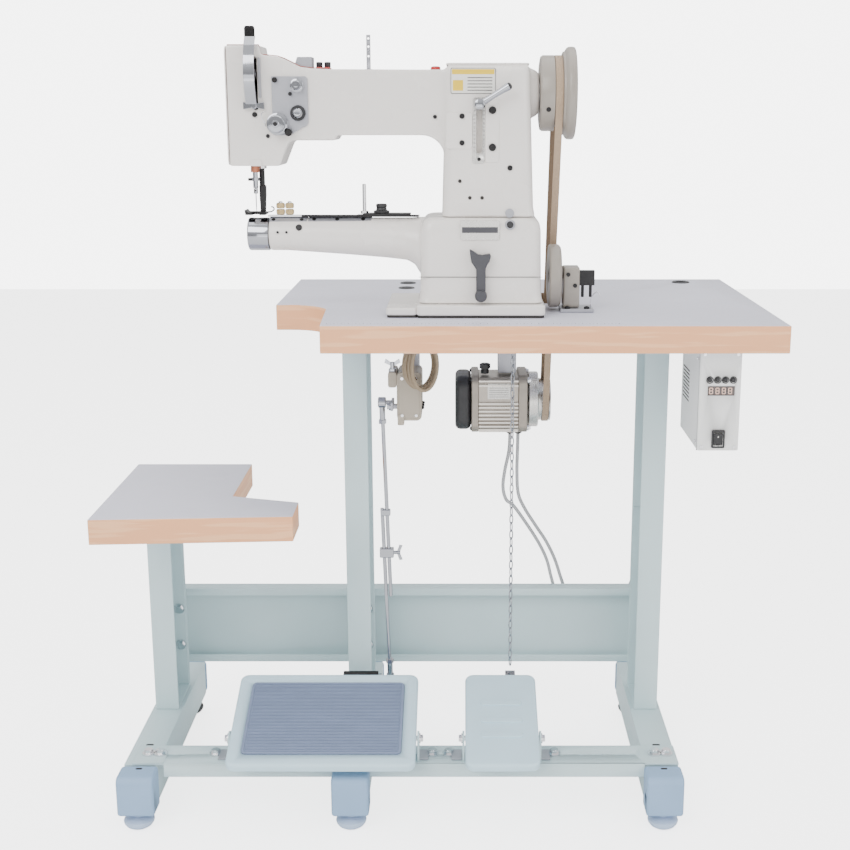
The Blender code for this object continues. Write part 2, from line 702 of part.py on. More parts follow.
def pitman_rod():
    """Two lapped rods with a clamp between the treadle and the speed lever."""
    low = Vector((PITMAN_X, LINK_Y, LINK_Z))
    high = Vector(LEVER_BALL)
    clamp_share, lap = 0.47, 0.16
    middle = low.lerp(high, clamp_share)
    offset = Vector((ROD_RADIUS * 1.6, 0, 0))
    lower = rod("pitman_rod", low, low.lerp(high, clamp_share + lap) - offset, ROD_RADIUS, "steel", 10)
    upper = rod("upper_rod", low.lerp(high, clamp_share - lap) + offset, high, ROD_RADIUS, "steel", 10)
    clamp_low, clamp_high = middle - Vector((0.010, 0.006, 0.008)), middle + Vector((0.012, 0.006, 0.008))
    clamp = block("rod_clamp", clamp_low, clamp_high, "steel")
    reach = Vector((BALL_HALF, 0, 0))
    balls = [rod("ball_end", end - reach, end + reach, BALL_RADIUS, "steel") for end in (low, high)]
    return pivot(join(lower, upper, clamp, *balls), low)


# ---------------------------------------------------------------- drive

def speed_controller():
    """The speed unit: a box with a smaller one beside it, hung from the table by a plate."""
    low, high = Vector(CONTROLLER_LOW), Vector(CONTROLLER_HIGH)
    body = block("speed_controller", low, high, "controller_grey", 0.003)
    side = block(
        "side_unit", (low.x - SIDE_UNIT_WIDTH, low.y + 0.004, SIDE_UNIT_LOW),
        (low.x + 0.004, high.y - 0.004, high.z - 0.001), "controller_grey", 0.002,
    )
    hanger = block(
        "hanger", (low.x + 0.008, high.y - 0.012, high.z - 0.004),
        (high.x - 0.004, high.y - 0.007, UNDER_TABLE - CLEAR), "steel",
    )
    body = join(body, side, hanger)
    x, y, z = LEVER_PIVOT
    bore = rod("lever_bore", (low.x - 0.004, y, z), (low.x + 0.012, y, z), PIN_RADIUS + RUNNING, "steel")
    return cut(body, bore)


def speed_lever():
    """The crank that the pitman rod turns: a shaft in the speed unit, an arm and a ball stud."""
    x, y, z = LEVER_PIVOT
    ball_x, ball_y, ball_z = LEVER_BALL
    low = (x - 0.002, y - LEVER_HALF, z - LEVER_HALF)
    high = (x + 0.002, ball_y + LEVER_HALF, z + LEVER_HALF)
    arm = block("speed_lever", low, high, "steel", 0.001)
    shaft = rod("lever_shaft", (x - 0.003, y, z), (CONTROLLER_LOW[0] + 0.010, y, z), PIN_RADIUS, "steel")
    stud_end = (ball_x + BALL_HALF + CLEAR, ball_y, ball_z)
    stud = rod("ball_stud", (x + 0.001, ball_y, ball_z), stud_end, 0.0035, "steel")
    return pivot(join(arm, shaft, stud), LEVER_PIVOT)


def motor():
    """The motor's finned body with a bore for its shaft."""
    half = MOTOR_SIZE / 2
    low = (MOTOR_LEFT, MOTOR_Y - half, MOTOR_Z - half)
    high = (MOTOR_RIGHT, MOTOR_Y + half, MOTOR_Z + half)
    body = block("motor_body", low, high, "motor_alloy", 0.004)
    for step in range(5):
        z = low[2] + FIN_PITCH * (step + 1)
        near = (MOTOR_LEFT + 0.012, low[1] - 0.01, z)
        far = (MOTOR_RIGHT - 0.012, low[1] + FIN_GAP, z + FIN_GAP)
        body = cut(body, block("fin_gap", near, far, "motor_alloy"))
    start, end = (MOTOR_RIGHT - MOTOR_BORE, MOTOR_Y, MOTOR_Z), (MOTOR_RIGHT + 0.01, MOTOR_Y, MOTOR_Z)
    return cut(body, rod("motor_bore", start, end, SHAFT_RADIUS + RUNNING, "steel"))


def motor_end_cover():
    half = MOTOR_SIZE / 2 - 0.004
    low = (MOTOR_LEFT - MOTOR_COVER, MOTOR_Y - half, MOTOR_Z - half)
    high = (MOTOR_LEFT - CLEAR, MOTOR_Y + half, MOTOR_Z + half)
    return block("motor_end_cover", low, high, "black_plastic", 0.006)


def motor_bracket():
    """A post from the motor's top to a plate under the table."""
    top = UNDER_TABLE - CLEAR
    bottom = MOTOR_Z + MOTOR_SIZE / 2 + CLEAR
    low, high = (MOTOR_LEFT + 0.043, MOTOR_Y - 0.022, bottom), (MOTOR_RIGHT - 0.018, MOTOR_Y + 0.022, top)
    upright = block("motor_bracket", low, high, "motor_alloy")
    low = (MOTOR_LEFT - 0.001, MOTOR_Y - 0.040, top - 0.006)
    high = (MOTOR_RIGHT - 0.006, MOTOR_Y + 0.030, top)
    plate = block("bracket_plate", low, high, "motor_alloy")
    return join(upright, plate)


def motor_pulley():
    """The shaft, the bright flange and the belt groove, turned as one."""
    start = MOTOR_RIGHT - MOTOR_BORE + 0.004
    face = MOTOR_RIGHT + PULLEY_OFFSET - start
    groove_from = HEAD_X + BELT_X - GROOVE / 2 - start
    groove_to = groove_from + GROOVE
    groove_radius = BELT_LOW_RADIUS - BELT_THICK / 2 - CLEAR
    profile = [
        (0.0, 0.0), (SHAFT_RADIUS, 0.0), (SHAFT_RADIUS, face), (FLANGE_RADIUS, face),
        (FLANGE_RADIUS, face + FLANGE_THICK), (groove_radius + 0.004, face + FLANGE_THICK + 0.0005),
        (groove_radius + 0.004, groove_from), (groove_radius, groove_from), (groove_radius, groove_to),
        (groove_radius + 0.005, groove_to), (groove_radius + 0.005, groove_to + 0.003),
        (0.0, groove_to + 0.003),
    ]
    axis_start = (start, MOTOR_Y, MOTOR_Z)
    return pivot(turned("motor_pulley", profile, axis_start, (1, 0, 0), "motor_alloy"), axis_start)


def belt_path():
    """Centre line of the belt in Y and Z: an arc on each pulley, joined by tangents."""
    top = Vector((HEAD_Y, TABLE_HEIGHT + SHAFT_Z))
    low = Vector((MOTOR_Y, MOTOR_Z))
    gap = low - top
    lean = math.atan2(gap.y, gap.x)
    spread = math.acos((BELT_TOP_RADIUS - BELT_LOW_RADIUS) / gap.length)
    path = []
    for centre, radius, start, end in (
        (top, BELT_TOP_RADIUS, lean + spread, lean + 2 * math.pi - spread),
        (low, BELT_LOW_RADIUS, lean - spread, lean + spread),
    ):
        for i in range(BELT_STEPS + 1):
            angle = start + (end - start) * i / BELT_STEPS
            direction = Vector((math.cos(angle), math.sin(angle)))
            path.append((centre + direction * radius, direction))
    return path


def belt():
    x = HEAD_X + BELT_X
    half = BELT_WIDTH / 2
    rings = []
    for point, outward in belt_path():
        inner = point - outward * BELT_THICK / 2
        outer = point + outward * BELT_THICK / 2
        rings.append([
            (x - half, inner.x, inner.y), (x + half, inner.x, inner.y),
            (x + half, outer.x, outer.y), (x - half, outer.x, outer.y),
        ])
    return ring_body("drive_belt", rings, "belt_tan", closed=True)


# ---------------------------------------------------------------- control box

def control_box():
    """The motor's control box, with wells for its buttons and its switch."""
    body = block("control_box", BOX_LOW, BOX_HIGH, "panel_white", 0.002)
    front = BOX_LOW[1]
    for x in BUTTON_X:
        start, end = (x, front - 0.01, BUTTON_Z), (x, front + 0.007, BUTTON_Z)
        body = cut(body, rod("button_well", start, end, BUTTON_RADIUS + RUNNING, "black_plastic"))
    half_x, half_z = ROCKER_WIDTH / 2 + RUNNING, ROCKER_HEIGHT / 2 + 0.0023
    well = block(
        "switch_well", (ROCKER_X - half_x, front - 0.01, ROCKER_Z - half_z),
        (ROCKER_X + half_x, front + 0.014, ROCKER_Z + half_z), "black_plastic",
    )
    return cut(body, well)


def panel_button(number, x):
    front = BOX_LOW[1]
    start, end = (x, front - 0.0015, BUTTON_Z), (x, front + 0.0045, BUTTON_Z)
    button = rod(f"panel_button_{number}", start, end, BUTTON_RADIUS, "black_plastic")
    return pivot(button, (x, front, BUTTON_Z))


def rocker_switch():
    """A rocker that turns about a pin across its well."""
    front = BOX_LOW[1]
    reach, half = ROCKER_HEIGHT / 2, ROCKER_WIDTH / 2
    outline = [
        (front - 0.0030, ROCKER_Z + reach), (front - 0.0006, ROCKER_Z), (front - 0.0006, ROCKER_Z - reach),
        (front + 0.0070, ROCKER_Z - reach + 0.002), (front + 0.0070, ROCKER_Z + reach - 0.002),
    ]
    rocker = prism("rocker_switch", outline, ROCKER_X - half, ROCKER_X + half, "x", "black_plastic")
    return pivot(rocker, (ROCKER_X, front + 0.0040, ROCKER_Z))


# ---------------------------------------------------------------- sewing head: bed

def bed_plinth():
    """The foot of the bed on the table, with its extension plate."""
    half_x, half_y = PLINTH_WIDTH / 2, PLINTH_DEPTH / 2
    low, high = (-half_x, -half_y, CLEAR), (half_x, half_y, PLINTH_HEIGHT)
    plinth = head_block("bed_plinth", low, high, "enamel", 0.002)
    low = (-half_x - EXTENSION_WIDTH, -half_y + 0.004, CLEAR)
    high = (-half_x + 0.01, half_y, EXTENSION_HEIGHT)
    plate = head_block("extension", low, high, "enamel", 0.002)
    return join(plinth, plate)


def oval(x, low, high, half_width, sides=20):
    """One rounded section of the cylinder arm, from its lowest to its highest height."""
    middle, half = (low + high) / 2, (high - low) / 2
    ring = []
    for i in range(sides):
        angle = 2 * math.pi * (i + 0.5) / sides
        ring.append(head(x, half_width * math.cos(angle), middle + half * math.sin(angle)))
    return ring


def bed_casting():
    """The pedestal and the cylinder arm in one casting, bored for the hook shaft."""
    half_x, half_y = PEDESTAL_WIDTH / 2, PEDESTAL_DEPTH / 2
    bottom = PLINTH_HEIGHT + CLEAR
    low, high = (-half_x, -half_y, bottom), (half_x, half_y, PEDESTAL_TOP)
    pedestal = head_block("bed_casting", low, high, "enamel", 0.008)
    radius = CYLINDER / 2
    left = CYLINDER_LEFT + CAP_LENGTH + CLEAR
    round_bottom = BED_TOP - CYLINDER
    sections = [
        (left, round_bottom, BED_TOP, radius), (left + 0.0252, round_bottom, BED_TOP, radius + 0.001),
        (left + 0.1132, round_bottom - 0.006, BED_TOP, radius + 0.004),
        (-half_x - 0.020, round_bottom - 0.013, BED_TOP, radius + 0.009),
        (-half_x - 0.008, round_bottom - 0.020, BED_TOP + 0.0005, radius + 0.012),
        (-half_x - 0.001, round_bottom - 0.036, BED_TOP + 0.001, radius + 0.016),
        (-half_x + 0.012, round_bottom - 0.040, BED_TOP + 0.001, radius + 0.016),
    ]
    arm = ring_body("cylinder_arm", [oval(*section) for section in sections], "enamel")
    axis_z = BED_TOP - radius
    start, end = head(left - 0.01, 0, axis_z), head(left + 0.016, 0, axis_z)
    hook_room = rod("hook_room", start, end, HOOK_RADIUS + 0.0015, "steel", ROUND_SIDES)
    start, end = head(left, 0, axis_z), head(-half_x + 0.030, 0, axis_z)
    shaft_bore = rod("hook_bore", start, end, SHAFT_RADIUS + RUNNING, "steel")
    return cut(join(pedestal, arm), hook_room, shaft_bore)


def hook_cap():
    """The bright cup that closes the cylinder arm, with the needle opening in its top."""
    radius = CYLINDER / 2
    axis_z = BED_TOP - radius
    profile = [
        (0.0, 0.0), (radius - 0.002, 0.0), (radius, 0.002), (radius, CAP_LENGTH),
        (radius - CAP_WALL, CAP_LENGTH), (radius - CAP_WALL, CAP_WALL), (0.0, CAP_WALL),
    ]
    cap = turned("hook_cap", profile, head(CYLINDER_LEFT, 0, axis_z), (1, 0, 0), "steel")
    low, high = (NEEDLE_X - 0.005, -0.010, BED_TOP - 0.012), (NEEDLE_X + 0.005, 0.006, BED_TOP + 0.01)
    return cut(cap, head_block("needle_opening", low, high, "steel"))


def hook_shaft():
    """The rotating hook on the lower shaft."""
    axis_z = BED_TOP - CYLINDER / 2
    start = NEEDLE_X + 0.0045
    end = -PEDESTAL_WIDTH / 2 + 0.025
    profile = [
        (0.0, 0.0), (HOOK_RADIUS, 0.0), (HOOK_RADIUS, HOOK_WIDTH), (SHAFT_RADIUS, HOOK_WIDTH + 0.002),
        (SHAFT_RADIUS, end - start), (0.0, end - start),
    ]
    return turned("hook_shaft", profile, head(start, 0, axis_z), (1, 0, 0), "steel")


def guide_bar():
    """The edge guide on top of the cylinder arm: bar, post, knob and rollers on one strip."""
    z = BED_TOP + GUIDE_RISE + CLEAR
    end = -PEDESTAL_WIDTH / 2 - 0.002
    bar = head_block("edge_guide", (-0.3045, -0.008, z), (end, 0.002, z + GUIDE_STRIP - CLEAR), "steel")
    plate = head_block("guide_plate", (-0.168, -0.012, z), (-0.100, 0.010, z + 0.004), "black_plastic")
    pillar = rod("guide_post", head(-0.1665, 0.0, z + 0.001), head(-0.1665, 0.0, 0.180), 0.003, "steel")
    knob_low, knob_high = head(-0.142, 0.0, z + 0.001), head(-0.142, 0.0, z + 0.016)
    knob = rod("guide_knob", knob_low, knob_high, 0.0095, "black_plastic")
    rollers = [
        rod("guide_roller", head(x, -0.003, z + 0.001), head(x, -0.003, z + 0.019), 0.0045, "steel")
        for x in (-0.2855, -0.2735)
    ]
    return join(bar, plate, pillar, knob, *rollers)


# ---------------------------------------------------------------- sewing head: arm

def arm_outline():
    """Front view of the arm, with the head at its left and the pillar at its right."""
    neck = 0.028
    inset = 0.0015          # the arm ends just inside the pillar's own block
    left, right = PILLAR_LEFT + inset, PILLAR_RIGHT - inset
    bottom = PEDESTAL_TOP + 0.020
    outline = [
        (HEAD_LEFT + COVER + CLEAR, HEAD_BOTTOM), (-0.2855, HEAD_BOTTOM), (-0.2695, ARM_BOTTOM - 0.009),
        (-0.2660, ARM_BOTTOM - 0.006), (-0.2045, ARM_BOTTOM - 0.006), (-0.2045, ARM_BOTTOM),
    ]
    outline += arc((left - neck, ARM_BOTTOM - neck), neck, 90, 0, 5)
    outline += [(left, bottom), (right, bottom), (right, ARM_TOP + 0.008)]
    outline += [(left + 0.004, ARM_TOP + 0.008), (left, ARM_TOP), (-0.2135, ARM_TOP)]
    outline += [(-0.2400, ARM_TOP + 0.0035), (-0.2580, ARM_TOP + 0.011), (-0.2720, ARM_TOP + 0.0155)]
    outline += [(-0.2880, ARM_TOP + 0.0165)]
    outline += [(-0.2880, HEAD_TOP), (HEAD_LEFT + COVER + CLEAR, HEAD_TOP)]
    return outline


def arm_casting():
    """Head, arm and pillar in one casting, bored for the main shaft and the two bars."""
    half = ARM_DEPTH / 2
    low, high = HEAD_Y - half, HEAD_Y + half
    arm = prism("arm_casting", head_outline(arm_outline()), low, high, "y", "enamel", 0.008)
    low = (PILLAR_LEFT, -PILLAR_DEPTH / 2, PEDESTAL_TOP + CLEAR)
    pillar = head_block("pillar", low, (PILLAR_RIGHT, PILLAR_DEPTH / 2, ARM_TOP + 0.004), "enamel", 0.010)
    start, end = head(PILLAR_RIGHT - 0.01, 0, SHAFT_Z), head(BOSS_RIGHT, 0, SHAFT_Z)
    arm = join(arm, pillar, rod("shaft_boss", start, end, 0.026, "enamel", ROUND_SIDES))
    cavity_low, cavity_high = (HEAD_LEFT - 0.01, -0.030, 0.220), (CAVITY_RIGHT, 0.030, 0.360)
    cavity = head_block("head_cavity", cavity_low, cavity_high, "enamel")
    start, end = head(CAVITY_RIGHT - 0.01, 0, SHAFT_Z), head(BOSS_RIGHT + 0.01, 0, SHAFT_Z)
    shaft_bore = rod("main_bore", start, end, SHAFT_RADIUS + RUNNING, "steel")
    needle_bore = bar_bore(NEEDLE_X, NEEDLE_Y, NEEDLE_BAR_RADIUS)
    presser_bore = bar_bore(PRESSER_X, PRESSER_Y, PRESSER_RADIUS)
    slot_low, slot_high = (TAKEUP_X - 0.0033, -half - 0.01, 0.284), (TAKEUP_X + 0.0033, -0.025, 0.356)
    lever_slot = head_block("lever_slot", slot_low, slot_high, "enamel")
    front, reach = -PILLAR_DEPTH / 2, STITCH_TOP - STITCH_TRAVEL
    slot_low = (STITCH_X - 0.004, front - 0.01, reach - 0.006)
    slot_high = (STITCH_X + 0.004, front + 0.014, STITCH_TOP + 0.006)
    stitch_slot = head_block("stitch_slot", slot_low, slot_high, "enamel")
    return cut(arm, cavity, shaft_bore, needle_bore, presser_bore, lever_slot, stitch_slot)


def bar_bore(x, y, radius):
    """The guide hole of a bar through the head's floor."""
    low, high = head(x, y, HEAD_BOTTOM - 0.008), head(x, y, HEAD_BOTTOM + 0.022)
    return rod("bar_bore", low, high, radius + RUNNING, "steel")


def face_cover():
    """The end cover that closes the head's left side."""
    half = ARM_DEPTH / 2
    low, high = (HEAD_LEFT, -half, HEAD_BOTTOM + 0.001), (HEAD_LEFT + COVER, half, HEAD_TOP - 0.001)
    return head_block("face_cover", low, high, "enamel")


def tension_plate():
    half = ARM_DEPTH / 2
    outline = head_outline([
        (-0.2910, 0.327), (-0.2860, 0.332), (-0.2470, 0.332), (-0.2425, 0.327), (-0.2425, 0.262),
        (-0.2520, 0.250), (-0.2910, 0.250),
    ])
    front = HEAD_Y - half - CLEAR
    return prism("tension_plate", outline, front - TENSION_PLATE, front, "y", "steel")


def tension_dial():
    """The main thread tension: two discs, a spring and a knurled nut on one stud."""
    front = -ARM_DEPTH / 2 - PLATE_GAP
    profile = [
        (0.0, 0.0), (0.0145, 0.0), (0.0145, 0.004), (0.0080, 0.005), (0.0080, 0.008), (0.0125, 0.009),
        (0.0125, 0.017), (0.0040, 0.019), (0.0040, 0.024), (0.0, 0.024),
    ]
    centre = head(-0.2817, front, 0.2654)
    return pivot(turned("tension_dial", profile, centre, (0, -1, 0), "steel"), centre)


def takeup_guard():
    """A bright strip that bows out in front of the thread lever."""
    half = ARM_DEPTH / 2
    foot_low, foot_high = 0.292, 0.382
    bow = 0.024
    outer, inner = [], []
    steps = 10
    for i in range(steps + 1):
        t = i / steps
        z = foot_low + (foot_high - foot_low) * t
        y = -half - CLEAR - 0.0015 - bow * math.sin(math.pi * min(1.0, 0.08 + 0.92 * t)) ** 0.7
        outer.append((HEAD_Y + y - 0.0008, TABLE_HEIGHT + z))
        inner.append((HEAD_Y + y + 0.0010, TABLE_HEIGHT + z))
    outline = outer + inner[::-1]
    left = HEAD_X - 0.3315
    return prism("takeup_guard", outline, left, left + 0.017, "x", "steel")


def takeup_lever():
    """The thread lever: a flat arm on a pin across the head, with an eye at its tip."""
    pin_y, pin_z = -0.012, 0.312
    tip_y, tip_z = -0.055, 0.336
    x = TAKEUP_X
    half = 0.0020
    low, high = Vector((pin_y, pin_z)), Vector((tip_y, tip_z))
    across = Vector((-(high - low).y, (high - low).x)).normalized() * 0.004
    corners = [low + across, high + across * 0.8, high - across * 0.8, low - across]
    outline = [(HEAD_Y + c.x, TABLE_HEIGHT + c.y) for c in corners]
    arm = prism("takeup_lever", outline, HEAD_X + x - half, HEAD_X + x + half, "x", "steel")
    hub = rod("lever_hub", head(x - half, pin_y, pin_z), head(x + half, pin_y, pin_z), 0.006, "steel")
    start, end = head(x - 0.01, tip_y + 0.005, tip_z - 0.003), head(x + 0.01, tip_y + 0.005, tip_z - 0.003)
    eye = rod("thread_eye", start, end, 0.0013, "steel", 8)
    return pivot(cut(join(arm, hub), eye), head(x, pin_y, pin_z))


def stitch_block():
    """The block that slides in the pillar's slot to set the stitch length."""
    front = -PILLAR_DEPTH / 2
    low = (STITCH_X - 0.0035, front - 0.003, STITCH_TOP - 0.005)
    high = (STITCH_X + 0.0035, front + 0.010, STITCH_TOP + 0.005)
    body = head_block("stitch_block", low, high, "steel")
    start, end = head(STITCH_X, front - CLEAR, STITCH_TOP), head(STITCH_X, front - 0.006, STITCH_TOP)
    collar = rod("block_collar", start, end, 0.0075, "steel")
    return pivot(join(body, collar), head(STITCH_X, front, STITCH_TOP))


def stitch_lever():
    """The clamp lever on the stitch block."""
    front = -PILLAR_DEPTH / 2 - 0.006 - CLEAR
    start, end = head(STITCH_X, front, STITCH_TOP), head(STITCH_X, front - 0.014, STITCH_TOP)
    hub = rod("stitch_lever", start, end, 0.0085, "steel")
    tip = head(STITCH_X + 0.046, front - 0.016, STITCH_TOP + 0.027)
    arm = rod("lever_arm", head(STITCH_X, front - 0.008, STITCH_TOP), tip, 0.0040, "steel")
    return pivot(join(hub, arm), head(STITCH_X, front, STITCH_TOP))


def reverse_lever():
    """The feed reversing lever: a claw above its pivot and a round knob below."""
    front = HEAD_Y - PEDESTAL_DEPTH / 2 - CLEAR
    outline = head_outline([
        (-0.0155, 0.0945), (-0.0075, 0.0885), (0.0060, 0.0835), (0.0135, 0.0830), (0.0100, 0.0775),
        (0.0080, 0.0740), (0.0055, 0.0300), (-0.0065, 0.0300), (-0.0075, 0.0680), (-0.0125, 0.0720),
    ])
    arm = prism("reverse_lever", outline, front - 0.018, front - 0.004, "y", "dark_lever")
    face = -PEDESTAL_DEPTH / 2
    start, end = head(-0.0005, face - 0.003, REVERSE_KNOB_Z), head(-0.0005, face - 0.021, REVERSE_KNOB_Z)
    knob = rod("lever_knob", start, end, 0.0085, "dark_lever")
    start, end = head(REVERSE_X, face - CLEAR, REVERSE_Z), head(REVERSE_X, face - 0.005, REVERSE_Z)
    collar = rod("lever_collar", start, end, 0.0045, "dark_lever")
    return pivot(join(arm, knob, collar), head(REVERSE_X, face, REVERSE_Z))


def handwheel():
    """The handwheel, its belt groove and the main shaft with its crank disc, as they turn together."""
    start = CAVITY_RIGHT - 0.0045
    groove_from, groove_to = BELT_X - GROOVE / 2, BELT_X + GROOVE / 2
    groove_radius = BELT_TOP_RADIUS - BELT_THICK / 2 - CLEAR
    disc_end = CAVITY_RIGHT - CLEAR - RUNNING
    profile = [
        (0.0, start), (0.016, start), (0.016, disc_end), (SHAFT_RADIUS, disc_end),
        (SHAFT_RADIUS, WHEEL_LEFT), (DRUM_RADIUS - 0.004, WHEEL_LEFT), (DRUM_RADIUS, WHEEL_LEFT + 0.004),
        (DRUM_RADIUS, groove_from), (groove_radius, groove_from), (groove_radius, groove_to),
        (WHEEL_RADIUS - 0.007, groove_to), (WHEEL_RADIUS, groove_to + 0.007),
        (WHEEL_RADIUS, WHEEL_RIGHT - 0.003), (WHEEL_RADIUS - 0.003, WHEEL_RIGHT),
        (WHEEL_RADIUS - 0.014, WHEEL_RIGHT), (WHEEL_RADIUS - 0.018, WHEEL_RIGHT - 0.008),
        (0.018, WHEEL_RIGHT - 0.008), (0.016, WHEEL_RIGHT - 0.002), (0.0, WHEEL_RIGHT - 0.002),
    ]
    profile = [(radius, along - start) for radius, along in profile]
    wheel = turned("handwheel", profile, head(start, 0, SHAFT_Z), (1, 0, 0), "wheel_grey", 36)
    return pivot(wheel, head(start, 0, SHAFT_Z))


def needle_bar():
    """The needle bar with its clamp and needle."""
    low, high = head(NEEDLE_X, NEEDLE_Y, NEEDLE_BAR_BOTTOM), head(NEEDLE_X, NEEDLE_Y, NEEDLE_BAR_TOP)
    bar = rod("needle_bar", low, high, NEEDLE_BAR_RADIUS, "steel")
    tip, shank = head(NEEDLE_X, NEEDLE_Y, NEEDLE_TIP), low + Vector((0, 0, 0.002))
    needle = rod("needle", tip, shank, 0.0009, "steel", 8)
    screw_in = low + Vector((0, 0, 0.012))
    screw = rod("needle_screw", screw_in, screw_in - Vector((0.010, 0, 0)), 0.002, "steel", 8)
    return pivot(join(bar, needle, screw), low)


def presser_bar():
    """The presser bar with its forked foot, down on the needle opening."""
    sole_z = BED_TOP + GUIDE_RISE + CLEAR + GUIDE_STRIP
    top = head(PRESSER_X, PRESSER_Y, PRESSER_TOP)
    bar = rod("presser_bar", head(PRESSER_X, PRESSER_Y, sole_z + 0.004), top, PRESSER_RADIUS, "steel")
    shank = head_block(
        "foot_shank", (PRESSER_X - 0.0034, PRESSER_Y - 0.0055, sole_z + 0.001),
        (PRESSER_X + 0.0034, PRESSER_Y + 0.0055, sole_z + 0.040), "steel",
    )
    low, high = (NEEDLE_X - 0.016, -0.014, sole_z), (NEEDLE_X + 0.0145, 0.014, sole_z + 0.004)
    sole = head_block("foot_sole", low, high, "black_plastic")
    low, high = (NEEDLE_X - 0.005, -0.02, sole_z - 0.01), (NEEDLE_X + 0.005, 0.002, sole_z + 0.01)
    fork = head_block("foot_fork", low, high, "black_plastic")
    return pivot(cut(join(bar, shank, sole), fork), top)


# ---------------------------------------------------------------- bobbin winder

def front_strand():
    """The low and the high end of the belt's strand on the operator's side, in Y and Z."""
    points = [point for point, _ in belt_path()]
    strands = [(points[-1], points[0]), (points[BELT_STEPS + 1], points[BELT_STEPS])]
    return min(strands, key=lambda strand: strand[0].x)


def winder_centre():
    """Wheel centre, set so that its rim stands just clear of the belt's front strand."""
    low, high = front_strand()
    z = TABLE_HEIGHT + WINDER_HEIGHT
    belt_y = low.lerp(high, (z - low.y) / (high.y - low.y)).x
    away = WINDER_RADIUS + BELT_THICK / 2 + WINDER_GAP
    return belt_y - away / abs((high - low).normalized().y), z


def winder_wheel():
    """The winder's wheel with its axle, which carries the bobbin."""
    y, z = winder_centre()
    width = WINDER_RIGHT - WINDER_LEFT
    axle_end = 0.044
    profile = [
        (0.0, 0.004), (0.012, 0.004), (0.014, 0.0), (WINDER_RADIUS - 0.012, 0.0), (WINDER_RADIUS, 0.002),
        (WINDER_RADIUS, width - 0.003), (WINDER_RADIUS - 0.003, width), (WINDER_AXLE, width),
        (WINDER_AXLE, axle_end), (0.0, axle_end),
    ]
    start = (WINDER_LEFT, y, z)
    return pivot(turned("winder_wheel", profile, start, (1, 0, 0), "wheel_grey"), start)


def winder_bracket():
    """The winder's frame on the table: a base, a bored body and a thread tension block."""
    y, z = winder_centre()
    x = WINDER_RIGHT + 0.003
    base_top = TABLE_HEIGHT + 0.006
    low, high = (x, y - 0.020, TABLE_HEIGHT + 0.004), (x + 0.033, y + 0.018, z + 0.014)
    frame = block("winder_bracket", low, high, "wheel_grey", 0.003)
    low, high = (x - 0.004, y - 0.030, TABLE_HEIGHT + CLEAR), (x + 0.044, y + 0.018, base_top)
    base = block("winder_base", low, high, "wheel_grey")
    low, high = (x + 0.028, y - 0.008, z - 0.010), (x + 0.052, y + 0.004, z + 0.009)
    tension = block("winder_tension", low, high, "wheel_grey")
    bore = rod("winder_bore", (x - 0.01, y, z), (x + 0.027, y, z), WINDER_AXLE + RUNNING, "steel")
    return cut(join(frame, base, tension), bore)


# ---------------------------------------------------------------- cords

def signal_coil():
    """The outer shape of the coiled signal cord, hanging in front of the speed unit."""
    steps = 8
    section = []
    for i in range(steps):
        angle = -2 * math.pi * i / steps
        out = COIL_RADIUS + COIL_HALF_WIDTH * math.cos(angle)
        section.append((out, COIL_HALF_THICK * math.sin(angle)))
    rings = []
    sides = 20
    lean = Matrix.Rotation(COIL_LEAN, 3, "Z")
    for i in range(sides):
        angle = 2 * math.pi * i / sides
        ring = []
        for out, along in section:
            point = Vector((out * math.cos(angle), along, out * math.sin(angle)))
            ring.append(Vector(COIL_CENTRE) + lean @ point)
        rings.append(ring)
    return ring_body("signal_coil", rings, "cable_taupe", closed=True)


def cords():
    for name, route, diameter, finish in (
        ("motor_cord_a", MOTOR_CORD_A, MOTOR_CORD, "controller_grey"),
        ("motor_cord_b", MOTOR_CORD_B, MOTOR_CORD, "controller_grey"),
        ("signal_cord", SIGNAL_CORD_ROUTE, SIGNAL_CORD, "cable_taupe"),
    ):
        tube(name, smooth_route(route, diameter * CORD_SPACING), diameter, finish)
    signal_coil()


# ---------------------------------------------------------------- assembly

def stand():
    for side, top, opening in (
        ("left", SIDE_HEIGHT - BOARD, 1), ("middle", UNDER_TABLE, 1), ("right", UNDER_TABLE, -1),
    ):
        foot_rail(side)
        front_cap(side)
        post(side, top, opening)
        levelling_foot(f"front_foot_{side}", POST_X[side], FRONT_GLIDE_Y)
        levelling_foot(f"rear_foot_{side}", POST_X[side], REAR_GLIDE_Y)
    cross_beam()
    treadle_bar()
    table_top()
    side_table()


def pedals():
    treadle()
    treadle_mat()
    lift_pedal()
    lift_chain()
    pitman_rod()


def drive():
    speed_controller()
    speed_lever()
    motor()
    motor_end_cover()
    motor_bracket()
    motor_pulley()
    belt()
    control_box()
    rocker_switch()
    for number, x in enumerate(BUTTON_X, 1):
        panel_button(number, x)


def sewing_head():
    bed_plinth()
    bed_casting()
    hook_cap()
    hook_shaft()
    guide_bar()
    arm_casting()
    face_cover()
    tension_plate()
    tension_dial()
    takeup_guard()
    takeup_lever()
    stitch_block()
    stitch_lever()
    reverse_lever()
    handwheel()
    needle_bar()
    presser_bar()
    winder_wheel()
    winder_bracket()


clear_scene()
PARTS = new_collection("sewing_machine")
CUTTERS = new_collection("cutters")
CUTTERS.hide_render = True
stand()
pedals()
drive()
sewing_head()
cords()
bpy.context.view_layer.update()
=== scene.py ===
"""Cylinder-arm sewing machine on its treadle stand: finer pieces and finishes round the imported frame."""

import math

import bmesh
import bpy
from mathutils import Matrix, Vector


